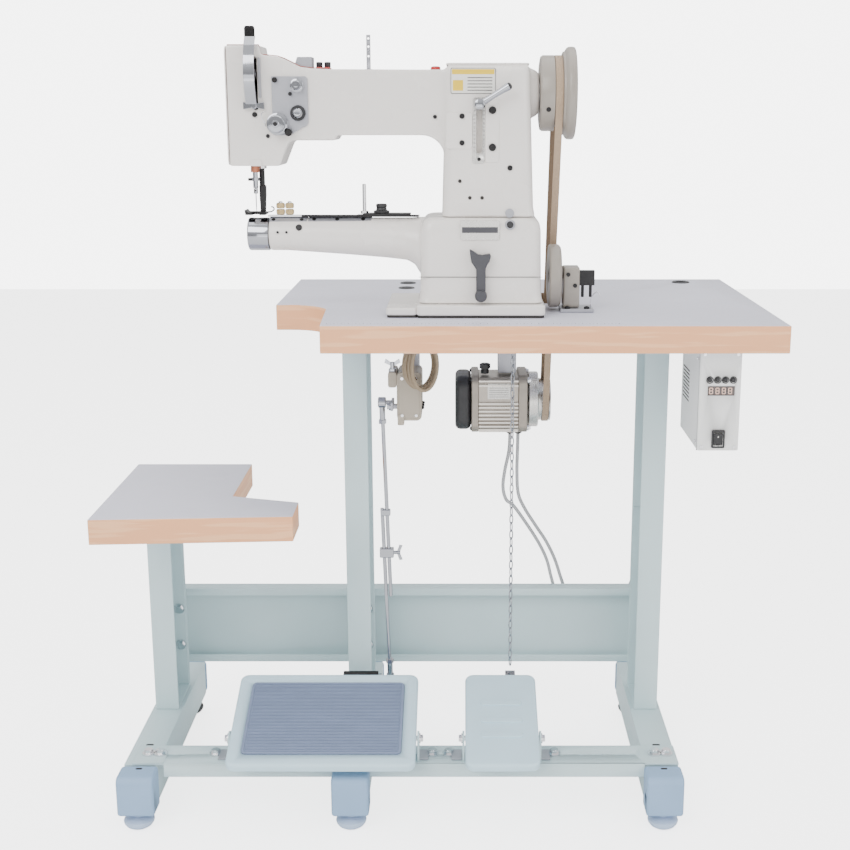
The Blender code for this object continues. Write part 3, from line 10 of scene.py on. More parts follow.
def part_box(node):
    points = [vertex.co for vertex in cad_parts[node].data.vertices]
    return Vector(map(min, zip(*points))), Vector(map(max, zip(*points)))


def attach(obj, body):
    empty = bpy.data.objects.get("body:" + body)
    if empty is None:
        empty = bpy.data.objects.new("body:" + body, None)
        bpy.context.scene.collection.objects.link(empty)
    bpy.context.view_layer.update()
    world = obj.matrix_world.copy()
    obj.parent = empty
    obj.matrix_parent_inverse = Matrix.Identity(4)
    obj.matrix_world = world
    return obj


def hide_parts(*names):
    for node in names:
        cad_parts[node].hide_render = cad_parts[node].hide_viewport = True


bl_info = {"name": "Sewing Machine Workshop", "version": (1, 0, 0), "blender": (4, 5, 0),
    "location": "View3D > Sidebar > Sewing Machine",
    "description": "Builds the pieces and finishes of a cylinder-arm sewing machine on its stand",
    "category": "Add Mesh"}

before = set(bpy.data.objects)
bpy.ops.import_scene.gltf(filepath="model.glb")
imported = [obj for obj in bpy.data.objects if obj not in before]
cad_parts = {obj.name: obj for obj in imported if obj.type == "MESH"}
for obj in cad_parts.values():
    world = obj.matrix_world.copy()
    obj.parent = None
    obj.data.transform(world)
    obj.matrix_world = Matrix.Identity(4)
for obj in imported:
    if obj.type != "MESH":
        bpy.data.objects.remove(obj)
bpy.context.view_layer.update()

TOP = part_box("table_top")[1].z
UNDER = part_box("table_top")[0].z
HEAD = Vector((0.0725, -0.1075, TOP))     # middle of the pedestal, on the table
POSTS = ("left", "middle", "right")
X, Y, Z = Vector((1, 0, 0)), Vector((0, 1, 0)), Vector((0, 0, 1))


def at(x, y, z):
    """A point of the sewing head, from its own datum."""
    return HEAD + Vector((x, y, z))


def tone(red, green, blue):
    """A colour given in screen values from 0 to 255, as the shader's own values."""
    return tuple(((c / 255 + 0.055) / 1.055) ** 2.4 if c > 10 else c / 3294 for c in (red, green, blue))


# ---------------------------------------------------------------- settings

def colour_setting(name, about, value):
    return bpy.props.FloatVectorProperty(name=name, description=about, subtype="COLOR", size=3, min=0.0,
        max=1.0, default=value)


def length_setting(name, about, value):
    return bpy.props.FloatProperty(name=name, description=about, default=value, min=0.0, unit="LENGTH",
        precision=4)


class FinishSettings(bpy.types.PropertyGroup):
    enamel: colour_setting("Enamel", "Gloss enamel of the castings", tone(238, 233, 228))
    stand: colour_setting("Stand paint", "Satin paint of the stand", tone(196, 217, 220))
    treadle: colour_setting("Treadle paint", "Paint of the treadle and the pedal", tone(198, 226, 238))
    mat: colour_setting("Mat rubber", "Ribbed rubber mat", tone(122, 136, 164))
    cap: colour_setting("Cap plastic", "Rail caps and levelling feet", tone(142, 172, 204))
    laminate: colour_setting("Laminate", "Table tops", tone(214, 214, 226))
    edge: colour_setting("Edge band", "Wood-grain band round the boards", tone(248, 190, 142))
    wheel: colour_setting("Wheel enamel", "Handwheel and winder", tone(152, 145, 136))
    belt: colour_setting("Belt", "Fabric-faced flat belt", tone(172, 149, 125))
    panel: colour_setting("Panel paint", "Control box", tone(238, 238, 236))
    speed_unit: colour_setting("Speed unit paint", "Speed unit housing", tone(172, 162, 146))


class StandSettings(bpy.types.PropertyGroup):
    fold: length_setting("Fold radius", "Rounding of the folded sheet edges", 0.0012)
    cap_round: length_setting("Cap rounding", "Rounding of the rail caps", 0.0055)
    bolt_across: length_setting("Bolt size", "Across the flats of the frame bolts", 0.01)
    board_round: length_setting("Board rounding", "Rounding of the boards' edges", 0.0012)


class TreadleSettings(bpy.types.PropertyGroup):
    tilt: bpy.props.FloatProperty(name="Pedal slope", description="Slope of both pedals at rest",
        default=math.radians(20.1), subtype="ANGLE")
    rib_pitch: length_setting("Rib pitch", "Distance between the ribs of the mat", 0.003)
    link_pitch: length_setting("Chain pitch", "Length of one chain link inside", 0.0125)
    link_wire: length_setting("Chain wire", "Wire radius of the chain", 0.001)


class DriveSettings(bpy.types.PropertyGroup):
    motor_lead: length_setting("Motor lead", "Diameter of the motor's leads", 0.0058)
    signal_lead: length_setting("Signal lead", "Diameter of the speed unit's lead", 0.0055)
    fin_pitch: length_setting("Fin pitch", "Distance between the motor's fins", 0.0062)
    wheel_sides: bpy.props.IntProperty(name="Wheel facets", description="Facets of the turned wheels",
        default=96, min=24)


class HeadSettings(bpy.types.PropertyGroup):
    grain: length_setting("Casting grain", "Mesh size of the blended castings", 0.0021)
    soften: bpy.props.IntProperty(name="Softening", description="Smoothing passes on the castings",
        default=7, min=0)
    screw_radius: length_setting("Screw radius", "Head radius of the small screws", 0.0036)


def setting(group):
    return getattr(bpy.context.scene, group)


# ---------------------------------------------------------------- mesh helpers


def add_skin(bm, rings):
    """Faces from each ring of vertices to the next."""
    for near, far in zip(rings, rings[1:]):
        for i in range(len(near)):
            j = (i + 1) % len(near)
            bm.faces.new((near[i], near[j], far[j], far[i]))


def mm(*points):
    """Points written in millimetres."""
    return [tuple(value * 0.001 for value in point) for point in points]


def add_box(bm, low, high):
    """A box between two corners."""
    places = [(x, y, z) for x in (low[0], high[0]) for y in (low[1], high[1]) for z in (low[2], high[2])]
    v = [bm.verts.new(place) for place in places]
    for a, b, c, d in ((0, 1, 3, 2), (4, 6, 7, 5), (0, 4, 5, 1), (2, 3, 7, 6), (0, 2, 6, 4), (1, 5, 7, 3)):
        bm.faces.new((v[a], v[b], v[c], v[d]))


def add_turned(bm, profile, start, direction, sides=48):
    """A profile of (radius, distance) spun about an axis. Ends on the axis close it."""
    turn = Z.rotation_difference(Vector(direction).normalized()).to_matrix()
    start = Vector(start)
    rings = []
    for radius, along in profile:
        if radius < 1e-7:
            rings.append([bm.verts.new(start + turn @ Vector((0, 0, along)))])
            continue
        ring = []
        for i in range(sides):
            angle = 2 * math.pi * i / sides
            place = Vector((radius * math.cos(angle), radius * math.sin(angle), along))
            ring.append(bm.verts.new(start + turn @ place))
        rings.append(ring)
    for near, far in zip(rings, rings[1:]):
        for i in range(sides):
            j = (i + 1) % sides
            if len(near) == 1 and len(far) == 1:
                continue
            if len(near) == 1:
                bm.faces.new((near[0], far[i], far[j]))
            elif len(far) == 1:
                bm.faces.new((near[i], far[0], near[j]))
            else:
                bm.faces.new((near[i], far[i], far[j], near[j]))


def add_rod(bm, start, end, radius, sides=24, ease=0.0):
    """A round bar with eased ends."""
    run = Vector(end) - Vector(start)
    if ease:
        profile = [(0, 0), (radius - ease, 0), (radius, ease), (radius, run.length - ease),
            (radius - ease, run.length), (0, run.length)]
    else:
        profile = [(0, 0), (radius, 0), (radius, run.length), (0, run.length)]
    add_turned(bm, profile, start, run, sides)


PLANES = {"x": (Y, Z, X), "y": (X, Z, Y), "z": (X, Y, Z)}


def add_slab(bm, outline, low, high, axis):
    """A flat outline across an axis, carried from low to high along it."""
    first, second, depth = PLANES[axis]
    faces = []
    for level in (low, high):
        faces.append([bm.verts.new(first * u + second * v + depth * level) for u, v in outline])
    near, far = faces
    bm.faces.new(near[::-1])
    bm.faces.new(far)
    for i in range(len(outline)):
        j = (i + 1) % len(outline)
        bm.faces.new((near[i], near[j], far[j], far[i]))


def add_pipe(bm, points, radius, sides=12, closed=False):
    """A round bar along a path, with a flat end at each side where it isn't closed."""
    points = [Vector(p) for p in points]
    rings = []
    side = None
    count = len(points)
    for i, point in enumerate(points):
        before = points[i - 1] if i or closed else points[0]
        after = points[(i + 1) % count] if i < count - 1 or closed else points[-1]
        along = (after - before).normalized()
        if side is None:
            side = along.orthogonal().normalized()
        side = (side - along * side.dot(along)).normalized()
        across = along.cross(side)
        width = radius[i] if isinstance(radius, (list, tuple)) else radius
        ring = []
        for k in range(sides):
            angle = 2 * math.pi * k / sides
            ring.append(bm.verts.new(point + (side * math.cos(angle) + across * math.sin(angle)) * width))
        rings.append(ring)
    pairs = list(zip(rings, rings[1:]))
    if closed:
        pairs.append((rings[-1], rings[0]))
    for near, far in pairs:
        for k in range(sides):
            j = (k + 1) % sides
            bm.faces.new((near[k], near[j], far[j], far[k]))
    if not closed:
        bm.faces.new(rings[0][::-1])
        bm.faces.new(rings[-1])


def arc(centre, radius, start, end, steps):
    angles = [math.radians(start + (end - start) * i / steps) for i in range(steps + 1)]
    return [(centre[0] + radius * math.cos(a), centre[1] + radius * math.sin(a)) for a in angles]


def rounded(low, high, radius, steps=6):
    """A rectangle's outline with round corners."""
    (x0, y0), (x1, y1) = low, high
    corners = (((x1 - radius, y1 - radius), 0), ((x0 + radius, y1 - radius), 90),
        ((x0 + radius, y0 + radius), 180), ((x1 - radius, y0 + radius), 270))
    outline = []
    for centre, angle in corners:
        outline += arc(centre, radius, angle, angle + 90, steps)
    return outline


def smooth_route(points, steps=8):
    """Points on a smooth curve through a cord's own route."""
    route = [Vector(p) for p in points]
    ends = [2 * route[0] - route[1], *route, 2 * route[-1] - route[-2]]
    fine = []
    for a, b, c, d in zip(ends, ends[1:], ends[2:], ends[3:]):
        for step in range(steps):
            t = step / steps
            bend = (2 * a - 5 * b + 4 * c - d) + t * (3 * (b - c) + d - a)
            fine.append(b + 0.5 * t * ((c - a) + t * bend))
    return fine + [route[-1]]


def shaped(name, build, ease=0.0, segments=2, sharp=32):
    """A new object from a function that fills a bmesh, with its edges eased and its normals outward."""
    bm = bmesh.new()
    build(bm)
    bmesh.ops.recalc_face_normals(bm, faces=bm.faces)
    mesh = bpy.data.meshes.new(name)
    bm.to_mesh(mesh)
    bm.free()
    obj = bpy.data.objects.new(name, mesh)
    bpy.context.scene.collection.objects.link(obj)
    mesh.shade_smooth()
    if ease:
        rounding = obj.modifiers.new("easing", "BEVEL")
        rounding.width = ease
        rounding.segments = segments
        rounding.limit_method = "ANGLE"
        rounding.angle_limit = math.radians(28)
        rounding.use_clamp_overlap = True
        rounding.harden_normals = True
        obj = settled(obj)
    else:
        mesh.set_sharp_from_angle(angle=math.radians(sharp))
    return obj


def made_of(add, *sizes):
    """A builder that adds one shape."""
    return lambda bm: add(bm, *sizes)


def settled(obj):
    """The object with its modifiers worked into its own mesh."""
    bpy.context.view_layer.update()
    graph = bpy.context.evaluated_depsgraph_get()
    mesh = bpy.data.meshes.new_from_object(obj.evaluated_get(graph), depsgraph=graph)
    old = obj.data
    obj.modifiers.clear()
    obj.data = mesh
    if old.users == 0:
        bpy.data.meshes.remove(old)
    mesh.name = obj.name
    return obj


def carve(obj, build, operation="DIFFERENCE", solver="EXACT"):
    """Takes a tool's shape away from the object, or adds it."""
    tool = shaped("tool", build)
    cut = obj.modifiers.new("carving", "BOOLEAN")
    cut.operation = operation
    cut.solver = solver
    cut.object = tool
    obj = settled(obj)
    bpy.data.objects.remove(tool)
    return obj


def placed(obj, finish, body, *nodes):
    """Gives a piece its finish and its body, and hides the nodes that it stands for."""
    obj.data.materials.clear()
    obj.data.materials.append(bpy.data.materials[finish])
    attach(obj, body)
    if nodes:
        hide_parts(*nodes)
    return obj


def piece(name, build, finish, body, *nodes, ease=0.0, segments=2, sharp=32):
    return placed(shaped(name, build, ease, segments, sharp), finish, body, *nodes)


def eased_node(name, node, finish, body, ease, segments=2):
    """A piece with the frame node's own shape and eased edges."""
    def build(bm):
        bm.from_mesh(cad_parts[node].data)
        bmesh.ops.remove_doubles(bm, verts=bm.verts, dist=1e-5)
        flat = math.radians(1.0)
        bmesh.ops.dissolve_limit(bm, angle_limit=flat, verts=bm.verts, edges=bm.edges)
    return piece(name, build, finish, body, node, ease=ease, segments=segments)


# ---------------------------------------------------------------- repeated pieces

def tree_with(name, inputs):
    """An empty Geometry Nodes tree with named inputs, and a mesh in and out."""
    tree = bpy.data.node_groups.new(name, "GeometryNodeTree")
    tree.interface.new_socket("Geometry", in_out="INPUT", socket_type="NodeSocketGeometry")
    for label, kind, value in inputs:
        socket = tree.interface.new_socket(label, in_out="INPUT", socket_type=f"NodeSocket{kind}")
        if value is not None:
            socket.default_value = value
    tree.interface.new_socket("Geometry", in_out="OUTPUT", socket_type="NodeSocketGeometry")
    return tree, tree.nodes.new("NodeGroupInput"), tree.nodes.new("NodeGroupOutput")


def step(tree, kind, links=(), **values):
    """A node with its inputs set or linked by name. A name is a socket's name or its number."""
    node = tree.nodes.new(kind)
    for key, value in values.items():
        setattr(node, key, value)
    for key, source in links:
        socket = node.inputs[key]
        if hasattr(source, "is_linked"):
            tree.links.new(source, socket)
        else:
            socket.default_value = source
    return node


def finish_tree(tree, source, material, out):
    real = step(tree, "GeometryNodeRealizeInstances", [("Geometry", source)])
    painted = step(tree, "GeometryNodeSetMaterial", [("Geometry", real.outputs[0]), ("Material", material)])
    tree.links.new(painted.outputs[0], out.inputs[0])


def bar_row_tree():
    """A straight row of equal bars."""
    tree, given, out = tree_with("bar_row", (("Count", "Int", 10), ("Start", "Vector", None),
        ("Pitch", "Vector", None), ("Bar", "Vector", None), ("Material", "Material", None)))
    line = step(tree, "GeometryNodeMeshLine", [("Count", given.outputs["Count"]),
        ("Start Location", given.outputs["Start"]), ("Offset", given.outputs["Pitch"])], mode="OFFSET")
    bar = step(tree, "GeometryNodeMeshCube", [("Size", given.outputs["Bar"])])
    row = step(tree, "GeometryNodeInstanceOnPoints", [("Points", line.outputs[0]),
        ("Instance", bar.outputs[0])])
    finish_tree(tree, row.outputs[0], given.outputs["Material"], out)
    return tree


def ridge_ring_tree():
    """Small round ridges in a ring about Z, as on a knurled knob."""
    tree, given, out = tree_with("ridge_ring", (("Count", "Int", 32), ("Radius", "Float", 0.01),
        ("Ridge Radius", "Float", 0.0005), ("Ridge Length", "Float", 0.005),
        ("Material", "Material", None)))
    ring = step(tree, "GeometryNodeMeshCircle", [("Vertices", given.outputs["Count"]),
        ("Radius", given.outputs["Radius"])])
    ridge = step(tree, "GeometryNodeMeshCylinder",
        [("Vertices", 6), ("Radius", given.outputs["Ridge Radius"]),
        ("Depth", given.outputs["Ridge Length"])])
    row = step(tree, "GeometryNodeInstanceOnPoints", [("Points", ring.outputs[0]),
        ("Instance", ridge.outputs[0])])
    finish_tree(tree, row.outputs[0], given.outputs["Material"], out)
    return tree


def facing_rotation(tree):
    facing = step(tree, "GeometryNodeInputNamedAttribute", [("Name", "facing")], data_type="FLOAT_VECTOR")
    return step(tree, "FunctionNodeAlignRotationToVector", [("Vector", facing.outputs[0])], axis="Z")


def raised(tree, mesh, height):
    """A mesh moved along Z by a height socket."""
    lift = step(tree, "ShaderNodeCombineXYZ", [("Z", height)])
    return step(tree, "GeometryNodeTransform", [("Geometry", mesh), ("Translation", lift.outputs[0])])


def scaled_value(tree, value, factor):
    return step(tree, "ShaderNodeMath", [(0, value), (1, factor)], operation="MULTIPLY").outputs[0]


def bolt_tree():
    """Hex bolts with washers on points, each along the point's own facing."""
    tree, given, out = tree_with("hex_bolts", (("Across Flats", "Float", 0.01),
        ("Head Height", "Float", 0.005), ("Washer Radius", "Float", 0.009),
        ("Washer Height", "Float", 0.0015), ("Material", "Material", None)))
    across, height = given.outputs["Across Flats"], given.outputs["Head Height"]
    washer = step(tree, "GeometryNodeMeshCylinder",
        [("Vertices", 24), ("Radius", given.outputs["Washer Radius"]),
        ("Depth", given.outputs["Washer Height"])])
    hexagon = step(tree, "GeometryNodeMeshCylinder",
        [("Vertices", 6), ("Radius", scaled_value(tree, across, 0.577)), ("Depth", height)])
    crown = step(tree, "GeometryNodeMeshCylinder",
        [("Vertices", 24), ("Radius", scaled_value(tree, across, 0.46)),
        ("Depth", scaled_value(tree, height, 1.2))])
    lifted = [raised(tree, mesh.outputs[0], scaled_value(tree, height, 0.5)) for mesh in (hexagon, crown)]
    join = tree.nodes.new("GeometryNodeJoinGeometry")
    for mesh in (washer, *lifted):
        tree.links.new(mesh.outputs[0], join.inputs[0])
    row = step(tree, "GeometryNodeInstanceOnPoints", [("Points", given.outputs["Geometry"]),
        ("Instance", join.outputs[0]), ("Rotation", facing_rotation(tree).outputs[0])])
    finish_tree(tree, row.outputs[0], given.outputs["Material"], out)
    return tree


def screw_tree():
    """Round screw heads with a crown on points, each along the point's own facing."""
    tree, given, out = tree_with("screw_heads", (("Head Radius", "Float", 0.0036),
        ("Head Height", "Float", 0.0016), ("Socket Radius", "Float", 0.0014),
        ("Material", "Material", None)))
    radius, height = given.outputs["Head Radius"], given.outputs["Head Height"]
    head = step(tree, "GeometryNodeMeshCylinder", [("Vertices", 28), ("Radius", radius), ("Depth", height)])
    crown = step(tree, "GeometryNodeMeshCylinder",
        [("Vertices", 28), ("Radius", scaled_value(tree, radius, 0.82)),
        ("Depth", scaled_value(tree, height, 1.5))])
    rim = step(tree, "GeometryNodeMeshCylinder",
        [("Vertices", 6), ("Radius", given.outputs["Socket Radius"]),
        ("Depth", scaled_value(tree, height, 1.9))])
    join = tree.nodes.new("GeometryNodeJoinGeometry")
    for mesh in (head, crown, rim):
        tree.links.new(mesh.outputs[0], join.inputs[0])
    row = step(tree, "GeometryNodeInstanceOnPoints", [("Points", given.outputs["Geometry"]),
        ("Instance", join.outputs[0]), ("Rotation", facing_rotation(tree).outputs[0])])
    finish_tree(tree, row.outputs[0], given.outputs["Material"], out)
    return tree


def chain_tree():
    """A hanging run of oval links, each turned a quarter from the last."""
    tree, given, out = tree_with("chain_run", (("Links", "Int", 10), ("Start", "Vector", None),
        ("Pitch", "Float", 0.0125), ("Wire Radius", "Float", 0.001), ("Link Width", "Float", 0.0072),
        ("Material", "Material", None)))
    drop = step(tree, "ShaderNodeCombineXYZ", [("Z", scaled_value(tree, given.outputs["Pitch"], -1.0))])
    line = step(tree, "GeometryNodeMeshLine", [("Count", given.outputs["Links"]),
        ("Start Location", given.outputs["Start"]), ("Offset", drop.outputs[0])], mode="OFFSET")
    wire = given.outputs["Wire Radius"]
    centre_width = step(tree, "ShaderNodeMath", [(0, given.outputs["Link Width"]),
        (1, scaled_value(tree, wire, 2.0))], operation="SUBTRACT")
    centre_length = step(tree, "ShaderNodeMath", [(0, given.outputs["Pitch"]),
        (1, scaled_value(tree, wire, 2.0))], operation="ADD")
    size = step(tree, "ShaderNodeCombineXYZ", [("X", scaled_value(tree, centre_width.outputs[0], 0.5)),
        ("Y", scaled_value(tree, centre_length.outputs[0], 0.5)), ("Z", 1.0)])
    circle = step(tree, "GeometryNodeCurvePrimitiveCircle", [("Resolution", 20), ("Radius", 1.0)])
    oval = step(tree, "GeometryNodeTransform", [("Geometry", circle.outputs[0]),
        ("Scale", size.outputs[0])])
    upright = step(tree, "GeometryNodeTransform", [("Geometry", oval.outputs[0]),
        ("Rotation", (math.pi / 2, 0, 0))])
    section = step(tree, "GeometryNodeCurvePrimitiveCircle", [("Resolution", 8), ("Radius", wire)])
    link = step(tree, "GeometryNodeCurveToMesh", [("Curve", upright.outputs[0]),
        ("Profile Curve", section.outputs[0])])
    index = step(tree, "GeometryNodeInputIndex")
    odd = step(tree, "ShaderNodeMath", [(0, index.outputs[0]), (1, 2.0)], operation="MODULO")
    quarter = scaled_value(tree, odd.outputs[0], math.pi / 2)
    lean = step(tree, "ShaderNodeMath", [(0, quarter), (1, 0.55)], operation="ADD")
    turn = step(tree, "ShaderNodeCombineXYZ", [("Z", lean.outputs[0])])
    row = step(tree, "GeometryNodeInstanceOnPoints", [("Points", line.outputs[0]),
        ("Instance", link.outputs[0]), ("Rotation", turn.outputs[0])])
    finish_tree(tree, row.outputs[0], given.outputs["Material"], out)
    return tree


TREES = {"bar_row": bar_row_tree, "ridge_ring": ridge_ring_tree, "hex_bolts": bolt_tree,
    "screw_heads": screw_tree, "chain_run": chain_tree}


def grown(name, tree_name, values, body, points=(), place=None):
    """A plain mesh from one of the trees, for one body. Points are pairs of place and facing."""
    tree = bpy.data.node_groups.get(tree_name) or TREES[tree_name]()
    seed = bpy.data.meshes.new(name)
    seed.from_pydata([point for point, _ in points], [], [])
    if points:
        facing = seed.attributes.new("facing", "FLOAT_VECTOR", "POINT")
        facing.data.foreach_set("vector", [c for _, way in points for c in way])
    obj = bpy.data.objects.new(name, seed)
    bpy.context.scene.collection.objects.link(obj)
    growth = obj.modifiers.new("growth", "NODES")
    growth.node_group = tree
    for item in tree.interface.items_tree:
        if item.in_out == "INPUT" and item.name in values:
            growth[item.identifier] = values[item.name]
    obj = settled(obj)
    if place:
        obj.data.transform(place)
    bm = bmesh.new()
    bm.from_mesh(obj.data)
    bmesh.ops.recalc_face_normals(bm, faces=bm.faces)
    bm.to_mesh(obj.data)
    bm.free()
    obj.data.set_sharp_from_angle(angle=math.radians(40))
    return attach(obj, body)


def bolts(name, points, body, finish="bright_steel", across=None, height=0.0045, washer=0.0085):
    across = across or setting("stand_settings").bolt_across
    return grown(name, "hex_bolts", {"Across Flats": across, "Head Height": height, "Washer Radius": washer,
        "Washer Height": 0.003, "Material": bpy.data.materials[finish]}, body, points)


def screws(name, points, body, finish="black_oxide", radius=None, height=0.0022):
    radius = radius or setting("head_settings").screw_radius
    return grown(name, "screw_heads", {"Head Radius": radius, "Head Height": height,
        "Socket Radius": radius * 0.4, "Material": bpy.data.materials[finish]}, body, points)


def bars(name, count, start, pitch, bar, finish, body, place=None):
    return grown(name, "bar_row", {"Count": count, "Start": start, "Pitch": pitch, "Bar": bar,
        "Material": bpy.data.materials[finish]}, body, place=place)


def knurl(name, centre, direction, radius, length, count, finish, body, ridge=0.0006):
    """Ridges round a knob, centred at a point and lying along a direction."""
    turn = Z.rotation_difference(Vector(direction).normalized()).to_matrix().to_4x4()
    return grown(name, "ridge_ring", {"Count": count, "Radius": radius, "Ridge Radius": ridge,
        "Ridge Length": length, "Material": bpy.data.materials[finish]}, body,
        place=Matrix.Translation(centre) @ turn)


# ---------------------------------------------------------------- finishes

def new_group(name, inputs, outputs):
    group = bpy.data.node_groups.new(name, "ShaderNodeTree")
    for label, kind in inputs:
        group.interface.new_socket(label, in_out="INPUT", socket_type=f"NodeSocket{kind}")
    for label, kind in outputs:
        group.interface.new_socket(label, in_out="OUTPUT", socket_type=f"NodeSocket{kind}")
    return group, group.nodes.new("NodeGroupInput"), group.nodes.new("NodeGroupOutput")


def object_noise(tree, scale, detail=3.0, stretch=None):
    """Noise on object coordinates, stretched per axis where a vector socket or value is given."""
    place = tree.nodes.new("ShaderNodeTexCoord").outputs["Object"]
    if stretch is not None:
        mapping = step(tree, "ShaderNodeVectorMath", [(0, place), (1, stretch)], operation="MULTIPLY")
        place = mapping.outputs[0]
    noise = step(tree, "ShaderNodeTexNoise", [("Vector", place), ("Scale", scale), ("Detail", detail)])
    return noise.outputs[0]


def tone_drift():
    """A colour that wanders a little in value over the surface."""
    group, given, out = new_group("tone_drift", (("Color", "Color"), ("Amount", "Float"),
        ("Scale", "Float"), ("Stretch", "Vector")), (("Color", "Color"),))
    noise = object_noise(group, given.outputs["Scale"], 4.0, given.outputs["Stretch"])
    low = step(group, "ShaderNodeMath", [(0, 1.0), (1, given.outputs["Amount"])], operation="SUBTRACT")
    high = step(group, "ShaderNodeMath", [(0, 1.0), (1, given.outputs["Amount"])], operation="ADD")
    value = step(group, "ShaderNodeMapRange", [("Value", noise), ("From Min", 0.3), ("From Max", 0.7),
        ("To Min", low.outputs[0]), ("To Max", high.outputs[0])])
    shade = step(group, "ShaderNodeVectorMath", [(0, given.outputs["Color"]), ("Scale", value.outputs[0])],
        operation="SCALE")
    group.links.new(shade.outputs[0], out.inputs[0])
    return group


def fine_relief():
    """A normal with fine relief, such as orange peel, grain or brushing."""
    group, given, out = new_group("fine_relief", (("Scale", "Float"), ("Height", "Float"),
        ("Stretch", "Vector")), (("Normal", "Vector"),))
    noise = object_noise(group, given.outputs["Scale"], 2.0, given.outputs["Stretch"])
    bump = step(group, "ShaderNodeBump", [("Strength", given.outputs["Height"]), ("Distance", 0.001),
        ("Height", noise)])
    group.links.new(bump.outputs[0], out.inputs[0])
    return group


def handled_gloss():
    """Roughness with soft smudges."""
    group, given, out = new_group("handled_gloss", (("Roughness", "Float"), ("Spread", "Float"),
        ("Scale", "Float"), ("Stretch", "Vector")), (("Roughness", "Float"),))
    noise = object_noise(group, given.outputs["Scale"], 5.0, given.outputs["Stretch"])
    low = step(group, "ShaderNodeMath", [(0, given.outputs["Roughness"]), (1, given.outputs["Spread"])],
        operation="SUBTRACT")
    high = step(group, "ShaderNodeMath", [(0, given.outputs["Roughness"]), (1, given.outputs["Spread"])],
        operation="ADD")
    value = step(group, "ShaderNodeMapRange", [("Value", noise), ("From Min", 0.3), ("From Max", 0.7),
        ("To Min", low.outputs[0]), ("To Max", high.outputs[0])])
    group.links.new(value.outputs[0], out.inputs[0])
    return group


def speckles():
    """A base colour with small flecks of a second one."""
    group, given, out = new_group("speckles", (("Color", "Color"), ("Fleck", "Color"), ("Scale", "Float"),
        ("Share", "Float"), ("Stretch", "Vector")), (("Color", "Color"),))
    noise = object_noise(group, given.outputs["Scale"], 2.0, given.outputs["Stretch"])
    edge = step(group, "ShaderNodeMath", [(0, given.outputs["Share"]), (1, 0.08)], operation="ADD")
    mask = step(group, "ShaderNodeMapRange", [("Value", noise), ("From Min", given.outputs["Share"]),
        ("From Max", edge.outputs[0])])
    mix = step(group, "ShaderNodeMix", [(0, mask.outputs[0]), (6, given.outputs["Color"]),
        (7, given.outputs["Fleck"])], data_type="RGBA")
    group.links.new(mix.outputs[2], out.inputs[0])
    return group


GROUPS = {"tone_drift": tone_drift, "fine_relief": fine_relief, "handled_gloss": handled_gloss,
    "speckles": speckles}


def use_group(tree, name, links):
    node = tree.nodes.new("ShaderNodeGroup")
    node.node_tree = bpy.data.node_groups.get(name) or GROUPS[name]()
    for key, source in links:
        if hasattr(source, "is_linked"):
            tree.links.new(source, node.inputs[key])
        else:
            node.inputs[key].default_value = source
    return node.outputs[0]


def paint(name, colour, roughness, metallic=0.0, drift=0.03, scale=30.0, relief=(600.0, 0.04), spread=0.05,
        stretch=(1.0, 1.0, 1.0), coat=0.0, fleck=None, sheen=0.0, glow=0.0):
    """A finish from the shared effects, ending in one Principled shader."""
    made = bpy.data.materials.new(name)
    made.use_nodes = True
    tree = made.node_tree
    shader = tree.nodes["Principled BSDF"]
    base = (*colour, 1.0)
    if fleck:
        fleck_colour, fleck_scale, share, fleck_stretch = fleck
        base = use_group(tree, "speckles", [("Color", base), ("Fleck", (*fleck_colour, 1.0)),
            ("Scale", fleck_scale), ("Share", share), ("Stretch", fleck_stretch)])
    toned = use_group(tree, "tone_drift", [("Color", base), ("Amount", drift), ("Scale", scale),
        ("Stretch", stretch)])
    tree.links.new(toned, shader.inputs["Base Color"])
    gloss = use_group(tree, "handled_gloss", [("Roughness", roughness), ("Spread", spread),
        ("Scale", scale * 1.7), ("Stretch", stretch)])
    tree.links.new(gloss, shader.inputs["Roughness"])
    bumped = use_group(tree, "fine_relief", [("Scale", relief[0]), ("Height", relief[1]),
        ("Stretch", stretch)])
    tree.links.new(bumped, shader.inputs["Normal"])
    shader.inputs["Metallic"].default_value = metallic
    shader.inputs["Coat Weight"].default_value = coat
    shader.inputs["Coat Roughness"].default_value = 0.08
    shader.inputs["Sheen Weight"].default_value = sheen
    if glow:
        shader.inputs["Emission Color"].default_value = (*colour, 1.0)
        shader.inputs["Emission Strength"].default_value = glow
    return made


